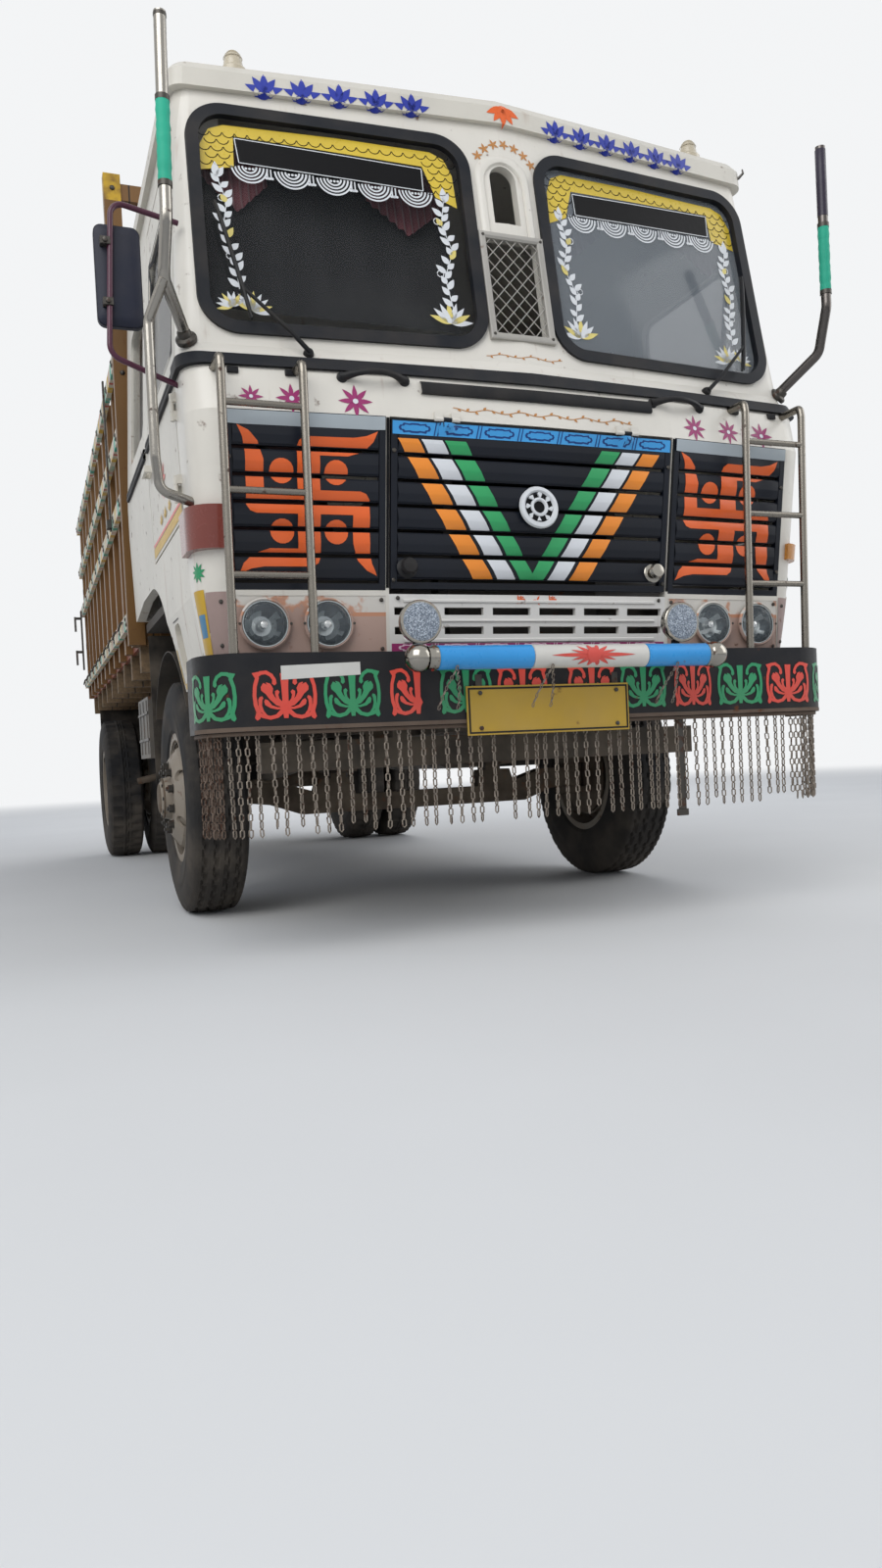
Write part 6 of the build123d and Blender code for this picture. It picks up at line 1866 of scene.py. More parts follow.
def scroll_square(squeeze: float = 1.0, whole: bool = True) -> list[list[Point2]]:
    """A pair of mirrored scrolls with leaves round a stem, in a square of half size one.

    Args:
        squeeze: how much wider than tall it is painted.
        whole: whether both halves are there, or only the left one and the stem.

    Returns:
        The outlines of its strokes.
    """
    half = [
        stroke([(0.93, 0.88), (0.87, 0.66), (0.95, 0.35), (0.975, 0.0), (0.95, -0.35), (0.87, -0.62),
                (0.91, -0.86)],
               [0.20, 0.13, 0.12, 0.12, 0.13, 0.15, 0.17]),
        stroke([(0.88, 0.74), (0.76, 0.86), (0.58, 0.88), (0.42, 0.77), (0.33, 0.60), (0.33, 0.45)],
               [0.12, 0.15, 0.15, 0.13, 0.12, 0.15]),
        stroke([(0.90, -0.66), (0.74, -0.78), (0.50, -0.85), (0.28, -0.79), (0.12, -0.62), (0.0, -0.40)],
               [0.14, 0.14, 0.15, 0.15, 0.17, 0.24], False),
        stroke([(0.60, -0.80), (0.75, -0.60), (0.81, -0.38), (0.80, -0.16), (0.76, -0.08)],
               [0.06, 0.10, 0.11, 0.13, 0.13]),
        stroke([(0.02, -0.44), (0.24, -0.32), (0.42, -0.10), (0.52, 0.10), (0.62, 0.26), (0.65, 0.36)],
               [0.10, 0.17, 0.19, 0.22, 0.31, 0.25]),
        stroke([(0.47, 0.04), (0.44, 0.26), (0.50, 0.42), (0.58, 0.48)], [0.12, 0.13, 0.10, 0.04]),
        stroke([(0.04, -0.48), (0.26, -0.50), (0.46, -0.43), (0.58, -0.31), (0.62, -0.20)],
               [0.06, 0.09, 0.12, 0.18, 0.13]),
        stroke([(0.10, -0.30), (0.23, -0.15), (0.27, 0.02), (0.25, 0.14)], [0.06, 0.09, 0.10, 0.15]),
    ]
    stem = [(-0.14, 0.84), (0.14, 0.84), (0.11, 0.30), (0.10, -0.20), (0.18, -0.42), (0.10, -0.60),
            (0.07, -0.88),
            (-0.07, -0.88), (-0.10, -0.60), (-0.18, -0.42), (-0.10, -0.20), (-0.11, 0.30)]
    mirrored = [[(-u, v) for u, v in outline] for outline in half]
    return [[(u * squeeze, v) for u, v in outline] for outline in mirrored + [stem] + (half if whole else [])]


@dataclass
class BumperDressing:
    """The painted bumper, its blank plate and tape, the sleeved crash bar and the chain fringe."""

    squares: tuple[tuple[float, int, float, bool], ...] = (
        (-1.215, 1, 1.21, True), (-0.962, 0, 1.21, True), (-0.742, 1, 1.12, True), (-0.519, 0, 1.12, False),
        (-0.345, 1, 1.12, True), (-0.135, 0, 1.12, True), (0.135, 0, 1.12, True), (0.345, 1, 1.12, True),
        (0.556, 0, 0.94, True), (0.765, 1, 1.19, True), (0.985, 0, 1.19, True), (1.215, 1, 1.21, True))
    square_half: float = 0.082
    square_z: float = 0.852
    lip: tuple[float, float] = (0.7425, 0.7560)
    tape: tuple[Point2, ...] = ((-0.972, 0.900), (-0.712, 0.912), (-0.712, 0.953), (-0.972, 0.944))
    bar_y: float = -0.263
    bar_z: float = 0.950
    bar_radius: float = 0.0388
    link_pitch: float = 0.0256
    hang_z: float = 0.742
    rusty_end: float = -1.185

    def build(self) -> None:
        """Makes everything on the bumper."""
        self.paint()
        self.fix_plate()
        self.sleeve_bar()
        self.hang_chains()
        self.fix_carrier()

    def fix_carrier(self) -> None:
        """The rusty strip under the bumper that the chains hang from, and a flat iron behind them."""
        form = Form(CARRIER_RUST, DARK_STEEL)
        reach = BUMPER_REACH + 0.10
        rings = []
        for u in spread(-reach, reach, 96):
            start, way = bumper_place(u, self.hang_z)
            rings.append([start + way * (STAND_OFF + inset) + Vector((0, 0, drop)) for inset, drop in
                          ((0.013, 0.0), (0.011, -0.002), (0.011, -0.011), (0.014, -0.013), (0.031, -0.013),
                           (0.033, -0.010), (0.033, 0.0))])
        form.rings(rings, 0)
        form.box((0.500, -0.097, 0.385), (0.532, -0.089, 0.734), 1, 0.002)
        form.box((0.492, -0.099, 0.375), (0.540, -0.087, 0.400), 1, 0.003)
        piece = finish_piece(form.mesh("chain_carrier"), FIXED)
        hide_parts("chain_fringe")

    def paint(self) -> None:
        """The row of red and green scroll squares and the strip of white tape."""
        wall = Wall(("front_bumper",), bumper_place)
        skin = Skin(wall, SCROLL_RED, SCROLL_GREEN, TAPE_WHITE, CARRIER_RUST, lift=0.0014, pace=0.025)
        for u, mark, squeeze, whole in self.squares:
            for k, part in enumerate(scroll_square(squeeze, whole)):
                skin.lay_all([part], mark, spot(u, self.square_z, self.square_half), coat=0.15 * k)
        skin.lay(rect(-BUMPER_REACH, BUMPER_REACH, *self.lip), 3)
        skin.lay(self.tape, 2, coat=3)
        finish_piece(skin.mesh("bumper_scrolls"), FIXED, solid=False)

    @staticmethod
    def fix_plate() -> None:
        """The blank yellow plate with its black border, held by two straps below the bar."""
        form = Form(PLATE_YELLOW, BLACK_PLASTIC, DARK_STEEL)
        low, high = Vector((-0.350, -0.142, 0.700)), Vector((0.275, -0.136, 0.866))
        form.box(low, high, 0, 0.002)
        for x0, x1, z0, z1 in ((-0.344, 0.269, 0.706, 0.712), (-0.344, 0.269, 0.854, 0.860),
                               (-0.344, -0.338, 0.712, 0.854), (0.263, 0.269, 0.712, 0.854)):
            form.box((x0, -0.1432, z0), (x1, -0.1415, z1), 1)
        for x in (-0.30, 0.225):
            form.box((x - 0.012, -0.136, 0.850), (x + 0.012, -0.131, 0.905), 2, 0.001)
            for z in (0.842, 0.724):
                form.turned([(0.0, 0.008), (0.004, 0.008), (0.006, 0.005), (0.0065, 0.001)], (x, -0.142, z),
                            AHEAD, 6, 2)
        finish_piece(form.mesh("blank_plate"), FIXED)

    def sleeve_bar(self) -> None:
        """Blue and white sleeves with a red star of leaves, and polished collars at their ends."""
        form = Form(BAR_BLUE, BAR_WHITE, CHROME)
        r = self.bar_radius

        def sleeve(x0: float, x1: float, mark: int) -> None:
            """One sleeve with rolled edges."""
            count = max(4, int((x1 - x0) / 0.04))
            body = [(x0 + (x1 - x0) * k / count, r + 0.0004 * (k % 2)) for k in range(1, count)]
            form.turned([(x0, r - 0.002), (x0 + 0.002, r + 0.0008), *body, (x1 - 0.002, r + 0.0008),
                         (x1, r - 0.002)],
                        (0, self.bar_y, self.bar_z), (1, 0, 0), 32, mark)

        sleeve(-0.498, -0.166, 0)
        sleeve(-0.165, 0.268, 1)
        sleeve(0.269, 0.520, 0)
        for side in (-1, 1):
            collar = [(0.500, 0.034), (0.503, 0.041), (0.512, 0.043), (0.518, 0.036), (0.524, 0.030),
                      (0.528, 0.034)]
            if side < 0:
                collar = [(-x, s) for x, s in collar]
            else:
                collar = [(x + 0.014, s) for x, s in collar]
            form.turned(collar, (0, self.bar_y, self.bar_z), (1, 0, 0), 28, 2)
        sleeves = finish_piece(form.mesh("bar_sleeves"), FIXED)
        wall = Wall(("crash_bar",), front_place, [sleeves])
        star = Skin(wall, STAR_RED, lift=0.0011, pace=0.02)
        for k in range(14):
            angle = math.tau * k / 14
            long = 0.085 if k % 7 else 0.150
            blade = [(u, v + 0.01) for u, v in leaf(long, 0.020 if k % 7 else 0.03)]
            c, s = math.cos(angle + math.pi / 2), math.sin(angle + math.pi / 2)
            shape = [(0.052 + a * c - b * s, self.bar_z + (a * s + b * c) * 0.42) for a, b in blade]
            star.lay([(u, min(max(v, self.bar_z - 0.033), self.bar_z + 0.033)) for u, v in shape], 0,
                     coat=k % 3)
        star.lay(arc((0.052, self.bar_z), 0.026, 0, 350, 16), 0, coat=3)
        finish_piece(star.mesh("bar_star"), FIXED, solid=False)

    @staticmethod
    def link_shape() -> Form:
        """One oval link of round wire, long in z."""
        form = Form()
        wire, half, long = 0.0027, 0.0062, 0.0146
        path = [(-half, -0.0085), (-half, 0.0085), (0, long), (half, 0.0085), (half, -0.0085), (0, -long)]
        form.tube([(u, 0, v) for u, v in path], wire, 5, 0, closed=True)
        return form

    def hang_chains(self) -> None:
        """Strands along the bumper's lower edge and a rusty bundle at the driver's corner."""
        source = random.Random(41)
        low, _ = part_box("chain_fringe")
        lowest = low[2] + 0.004
        clean, clean_turns, rusty, rusty_turns = [], [], [], []
        copies = Copies("links")

        def foot(u: float, inset: float) -> Vector:
            """A point under the bumper, u along it from its middle."""
            start, way = bumper_place(u, self.hang_z)
            return start + way * (STAND_OFF + inset)

        def strand(top: Vector, count: int, store: list, turns: list) -> None:
            """One hanging strand whose links turn by quarters and sway a little."""
            lean_x, lean_y = source.uniform(-0.006, 0.006), source.uniform(-0.004, 0.004)
            twist = source.uniform(0, 0.8)
            for k in range(count):
                share = k / 14
                place = top + Vector((lean_x * share, lean_y * share, -0.0125 - k * self.link_pitch))
                if place.z < lowest + 0.012:
                    break
                store.append(place)
                turns.append((source.uniform(-0.08, 0.08), source.uniform(-0.08, 0.08),
                              twist + (k % 2) * math.pi / 2 + source.uniform(-0.15, 0.15)))

        u = self.rusty_end + 0.02
        while u < BUMPER_REACH:
            gap = 0.041 + source.uniform(-0.006, 0.008) if u < 0.98 else 0.024 + source.uniform(-0.004, 0.006)
            if not -0.36 < u < 0.28 or source.random() < 0.9:
                short = source.choice((12, 13, 14, 14, 14))
                strand(foot(u, 0.030 + source.uniform(-0.006, 0.006)), short, clean, clean_turns)
            u += gap
        u = -BUMPER_REACH - 0.02
        while u < self.rusty_end:
            strand(foot(u, 0.026 + source.uniform(-0.008, 0.008)), source.choice((13, 14)), rusty,
                   rusty_turns)
            u += 0.0195
        for name, places, turns, finish in (("chain_links", clean, clean_turns, CHAIN_STEEL),
                                            ("rusty_links", rusty, rusty_turns, RUSTY_CHAIN)):
            piece = copies.set_out(name, self.link_shape(), places, turns, finish, 1.0, 0.02)
            finish_piece(piece, FIXED)
            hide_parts("chain_fringe")
        self.hang_loops(copies)

    def hang_loops(self, copies: Copies) -> None:
        """Thin pairs of chains that hang from the crash bar."""
        places, turns = [], []
        for x in (-0.44, -0.10, 0.385):
            for side in (-1, 1):
                for k in range(9):
                    share = k / 9
                    sag = 0.034 * side * math.sin(math.pi * share * 0.5)
                    places.append(Vector((x + sag, self.bar_y - 0.028 + 0.10 * share,
                                          self.bar_z - 0.036 - 0.135 * share)))
                    turns.append((0.5, 0.12 * side, (k % 2) * math.pi / 2))
        piece = copies.set_out("bar_chains", self.link_shape(), places, turns, CHAIN_STEEL, 0.62, 0.05)
        finish_piece(piece, FIXED)


@dataclass
class Tyre:
    """One tyre: a lathe whose tread carries zigzag ribs in front and lugs behind."""

    radius: float = 0.510
    half_width: float = 0.125
    bead: float = 0.2615
    depth: float = 0.011
    around: int = 168
    lugs: bool = False

    def profile(self) -> list[tuple[float, float, float]]:
        """Across the tyre from one bead to the other: x, radius, and how far the tread reaches it."""
        w, r, b = self.half_width, self.radius, self.bead
        wall = [(w - 0.029, b, 0.0), (w - 0.030, b + 0.010, 0.0), (w - 0.016, b + 0.024, 0.0),
                (w - 0.012, b + 0.034, 0.0),
                (w - 0.010, b + 0.036, 0.0), (w - 0.006, b + 0.070, 0.0), (w - 0.001, b + 0.105, 0.0),
                (w + 0.001, b + 0.128, 0.0), (w - 0.0005, b + 0.131, 0.0), (w, b + 0.150, 0.0),
                (w - 0.002, r - 0.078, 0.0),
                (w - 0.005, r - 0.060, 0.15), (w - 0.010, r - 0.040, 0.5), (w - 0.015, r - 0.026, 0.8),
                (w - 0.019, r - 0.017, 1.0), (w - 0.024, r - 0.012, 1.0)]
        crown = []
        steps = 26
        for k in range(steps + 1):
            x = (w - 0.027) * (1 - 2 * k / steps)
            crown.append((x, r - 0.010 * (x / w) ** 2 * 1.1, 1.0))
        return wall + crown + [(-x, level, tread) for x, level, tread in reversed(wall)]

    def groove(self, x: float, turn: float, tread: float) -> float:
        """How deep the pattern is cut at a place of the tread."""
        w = self.half_width
        if self.lugs:
            row = (turn * 42 / math.tau + (0.5 if x > 0 else 0.0)) % 1.0
            bar = abs(x) > 0.026 and row < 0.36
            middle = abs(x - 0.006 * (1 if int(turn * 84 / math.tau) % 2 else -1)) < 0.0045
            return 1.0 if bar or middle and tread == 1.0 else 0.0
        if tread < 1.0:
            return 1.0 if (turn * 84 / math.tau) % 1.0 < 0.34 else 0.0
        sway = 0.0052 * (1 if int(turn * 84 / math.tau) % 2 else -1)
        for middle in (-0.070, -0.0235, 0.0235, 0.070):
            if abs(x - middle - sway) < 0.0048:
                return 1.0
        if abs(x) > w - 0.030 and (turn * 84 / math.tau) % 1.0 < 0.3:
            return 0.7
        return 0.0

    def build_into(self, form: Form, centre: Vector) -> None:
        """Adds this tyre to a form.

        Args:
            form: the form that it joins.
            centre: the middle of the wheel.
        """
        rows = self.profile()
        rings = []
        for x, level, tread in rows:
            ring = []
            for k in range(self.around):
                turn = math.tau * k / self.around
                cut = self.groove(x, turn, tread) * self.depth * tread if tread else 0.0
                r = level - cut
                ring.append(centre + Vector((x, r * math.cos(turn), r * math.sin(turn))))
            rings.append(ring)
        form.rings(rings, 0, caps=False)
        inner = []
        for x, level in ((-self.half_width + 0.029, self.bead), (-self.half_width + 0.040, self.bead + 0.030),
                         (0.0, self.bead + 0.060), (self.half_width - 0.040, self.bead + 0.030),
                         (self.half_width - 0.029, self.bead)):
            inner.append([centre + Vector((x, level * c, level * s)) for c, s in circle(self.around)])
        form.rings(inner, 0, caps=False)


@dataclass
class Wheels:
    """All tyres, with the nuts, hub caps, valves and flange rings of the steel wheels."""

    front_x: float = 1.008
    rear_x: tuple[float, float] = (0.766, 1.066)
    front_y: float = 1.366
    rear_y: float = 4.966
    height: float = 0.510
    nuts: int = 10
    nut_circle: float = 0.1375

    def build(self) -> None:
        """Makes every tyre and the small parts of every wheel."""
        for side, word, letter in ((1, "left", "l"), (-1, "right", "r")):
            front, rear = f"wheel_front_{letter}", f"wheels_rear_{letter}"
            form = Form(TYRE_RUBBER)
            Tyre().build_into(form, Vector((side * self.front_x, self.front_y, self.height)))
            piece = finish_piece(form.mesh(f"tread_front_{word}"), front, angle=32)
            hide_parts(f"tyre_front_{word}")
            form = Form(TYRE_RUBBER)
            for x in self.rear_x:
                Tyre(around=126, lugs=True).build_into(form, Vector((side * x, self.rear_y, self.height)))
            piece = finish_piece(form.mesh(f"tread_rear_{word}"), rear, angle=32)
            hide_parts(f"tyres_rear_{word}")
            self.fit_hub(f"hub_front_{word}", front, side, self.front_x + 0.1402, self.front_y, True)
            self.fit_hub(f"hub_rear_{word}", rear, side, self.rear_x[1] - 0.1290, self.rear_y, False)

    def fit_hub(self, name: str, body: str, side: int, x: float, y: float, front: bool) -> None:
        """Nuts on their studs, the cap over the bearing, the valve and the flange ring.

        Args:
            name: the piece's name.
            body: the wheel that carries it.
            side: 1 for the lorry's left, -1 for its right.
            x: where the disc's outer face stands.
            y: the axle's place.
            front: whether it is a steered wheel.
        """
        form = Form(DARK_STEEL, AXLE_RUST)
        out = (side, 0, 0)
        centre = Vector((side * x, y, self.height))
        for c, s in circle(self.nuts, 0.5):
            seat = centre + Vector((0, c, s)) * self.nut_circle
            form.turned([(-0.004, 0.020), (0.003, 0.021), (0.004, 0.0165), (0.022, 0.0165), (0.024, 0.014),
                         (0.0245, 0.009), (0.031, 0.009), (0.032, 0.007)], seat, out, 6, 0)
        cap = (0.034, 0.049, 0.088) if front else (0.112, 0.118, 0.074)
        form.turned([(cap[0] - 0.006, cap[2]), (cap[0], cap[2] + 0.001), (cap[0] + 0.002, cap[2] - 0.006),
                     (cap[0] + 0.004, cap[2] - 0.020), (cap[1] - 0.002, cap[2] - 0.026),
                     (cap[1], cap[2] - 0.034),
                     (cap[1] + 0.001, 0.012)], centre, out, 36, 1)
        for c, s in circle(8):
            seat = centre + Vector((side * (cap[0] + 0.001), c * (cap[2] - 0.010), s * (cap[2] - 0.010)))
            form.turned([(0.0, 0.008), (0.005, 0.008), (0.006, 0.006), (0.0065, 0.001)], seat, out, 6, 0)
        finish_piece(form.mesh(name), body)
        ring = Form(WHEEL_GREY, DARK_STEEL)
        edge = (self.front_x if front else self.rear_x[1]) + 0.0995
        start = Vector((side * edge, y, self.height))
        ring.turned([(0.0, 0.262), (0.004, 0.266), (0.008, 0.274), (0.006, 0.282), (0.001, 0.285),
                     (-0.002, 0.280),
                     (0.000, 0.270)], start, out, 72, 0, closed=True)
        valve = start + Vector((side * 0.004, 0.0, 0.236))
        ring.tube([valve + Vector((-side * 0.03, 0, 0.004)), valve, valve + Vector((side * 0.006, 0, -0.012)),
                   valve + Vector((side * 0.008, 0, -0.036))], 0.004, 8, 1)
        finish_piece(ring.mesh(name.replace("hub", "flange")), body)


@dataclass
class Lamps:
    """Head lamps with sunk bowls and fluted lenses, spot lamps, and bars and rings on the small lamps."""

    head_x: tuple[float, float] = (0.765, 0.978)
    head_z: float = 1.096
    face: tuple[float, float] = (0.022, 0.045)
    head_radius: float = 0.081
    lens_spread: float = 0.008
    spot: Point3 = (0.503, -0.161, 1.079)
    spot_radius: float = 0.0725

    def build(self) -> None:
        """Makes the lamps that take the place of the plain ones, and dresses the rest."""
        metal = Form(CHROME, LAMP_BOWL, BLACK_PLASTIC, DARK_STEEL, PRIMER_PINK, BOWL_PAINTED_SHADE, BULB_SHIELD)
        lens = Form(LAMP_GLASS, SPOT_FACE)
        for side in (1, -1):
            for x in self.head_x:
                y = self.face[0] + (x - self.head_x[0]) * self.face[1]
                self.head_lamp(metal, lens, Vector((side * x, y, self.head_z)))
            self.spot_lamp(metal, lens, side)
        shell = finish_piece(metal.mesh("lamp_shells"), FIXED, angle=30)
        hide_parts("front_lamps")
        finish_piece(lens.mesh("lamp_lenses"), FIXED, angle=24)
        self.fit_small_lamps()

    def head_lamp(self, metal: Form, lens: Form, centre: Vector) -> None:
        """One head lamp: a sunken rim, a deep bowl with facets of painted shade, a bulb shield and a fluted
        domed glass.
        """
        r = self.head_radius + self.lens_spread
        metal.turned([(0.000, r - 0.004), (0.006, r - 0.0034), (0.010, r - 0.006), (0.0125, r - 0.009),
                      (0.011, r - 0.011), (0.004, r - 0.013), (-0.002, r - 0.014), (-0.002, r - 0.008)],
                     centre, AHEAD, 48, 4, closed=True)
        start, sides = len(metal.marks), 48
        metal.turned([(0.004, r - 0.013), (0.0085, r - 0.0135), (0.0085, r - 0.0165), (-0.006, r - 0.017),
                      (-0.024, r - 0.026), (-0.042, r - 0.040), (-0.058, r - 0.056), (-0.062, 0.004),
                      (-0.066, 0.004),
                      (-0.062, r - 0.053), (-0.044, r - 0.036), (-0.010, r - 0.013)], centre, AHEAD, sides, 1,
                     closed=True)
        # Painted shade and painted dark reflections: the fourth ring of the bowl all round, and streaks in
        # the fifth and sixth, take the darker steel.
        for face in range(start, len(metal.marks)):
            ring, side = divmod(face - start, sides)
            steep = abs(math.sin(math.tau * side / sides))
            painted_shade_facet = ring == 4 and (steep > 0.7 or side // 3 % 3 == 0) or ring == 5 and side // 6 % 4 == 1
            if ring == 3 or painted_shade_facet:
                metal.marks[face] = 5
        # The bulb shield, whose near-white steel is a painted highlight.
        metal.turned([(-0.050, 0.014), (-0.016, 0.015), (-0.010, 0.012), (-0.006, 0.001)], centre,
                     AHEAD, 20, 6)
        rows = []
        steps, sides = 10, 60
        for k in range(steps + 1):
            share = k / steps
            ring = []
            for i in range(sides):
                angle = math.tau * i / sides
                reach = (r - 0.0160) * (1 - share) + 0.0008 * share
                u, v = reach * math.cos(angle), reach * math.sin(angle)
                swell = 0.0185 * math.sqrt(max(0.0, 1 - (reach / (r - 0.0155)) ** 2)) * 0.9 + 0.003
                flute = 0.0008 * math.cos(u / 0.0085 * math.tau) * (1 - share) * share * 4
                if abs(v) < 0.02 and abs(u) < 0.028:
                    flute += 0.001
                ring.append(centre + Vector((u, -swell - flute, v)))
            rows.append(ring)
        lens.rings(rows, 0, caps=False)
        for side in (-1, 1):
            seat = centre + Vector((side * (r - 0.004), -0.011, 0.0))
            metal.turned([(0.0, 0.005), (0.002, 0.0048), (0.003, 0.001)], seat, AHEAD, 8, 3)

    def spot_lamp(self, metal: Form, lens: Form, side: int) -> None:
        """A round lamp on a foot, with a ring, a pale diffuser of many small cells and a can behind."""
        x, y, z = self.spot
        centre = Vector((side * x, y, z))
        r = self.spot_radius
        metal.turned([(0.0275, 0.001), (0.0275, r - 0.010), (0.0270, r - 0.003), (0.0240, r - 0.0005),
                      (0.018, r),
                      (0.014, r - 0.003), (-0.006, r - 0.004), (-0.028, r - 0.016), (-0.030, 0.001)][::-1],
                     centre + Vector((0, 0.030, 0)), AHEAD, 44, 0)
        glass = centre + Vector((0, 0.030 - 0.0270, 0))
        lens.turned([(0.0, r - 0.009), (0.002, r - 0.010), (0.0035, r - 0.020), (0.0045, 0.001)], glass,
                    AHEAD, 40, 1)
        source = random.Random(11 + side)
        for ring_index in range(1, 7):
            count = 6 * ring_index
            reach = 0.0096 * ring_index
            for k in range(count):
                angle = math.tau * (k + 0.3 * ring_index) / count + source.uniform(-0.04, 0.04)
                seat = glass + Vector((reach * math.cos(angle), -0.0030, reach * math.sin(angle)))
                lens.turned([(0.0, 0.0042), (0.0022, 0.0034), (0.0030, 0.0006)], seat, AHEAD, 6, 0)
        foot = Vector((side * x, y + 0.052, z))
        metal.box(foot + Vector((-0.016, -0.006, -0.094)), foot + Vector((0.016, 0.006, -0.058)), 2, 0.002)
        metal.tube([foot + Vector((-0.018, -0.002, -0.050)), foot + Vector((0.018, -0.002, -0.050))],
                   0.007, 8, 3)
        cable = [foot + Vector((0.010, 0.010, -0.030)), foot + Vector((0.016, 0.026, -0.060)),
                 foot + Vector((0.010, 0.030, -0.088))]
        metal.tube(cable, 0.0035, 6, 2)

    def fit_small_lamps(self) -> None:
        """Bars over the rear lamps and rings round the roof domes."""
        form = Form(BLACK_PLASTIC, LENS_RED)
        for side in (1, -1):
            for k in range(3):
                z = 0.868 + 0.022 * k
                form.box((side * 0.94 - 0.116, 6.030, z), (side * 0.94 + 0.116, 6.0345, z + 0.004), 0)
            for x in (-0.04, 0.04):
                form.box((side * 0.94 + x - 0.003, 6.030, 0.854), (side * 0.94 + x + 0.003, 6.0345, 0.926), 0)
            dome = Vector((side * 0.931, 0.284, 3.026))
            for level, radius in ((0.050, 0.0318), (0.060, 0.0265), (0.068, 0.020)):
                ring = [dome + Vector((radius * c, radius * s, level)) for c, s in circle(24)]
                form.tube(ring, 0.0014, 5, 1, closed=True)
        finish_piece(form.mesh("lamp_ribs"), FIXED)


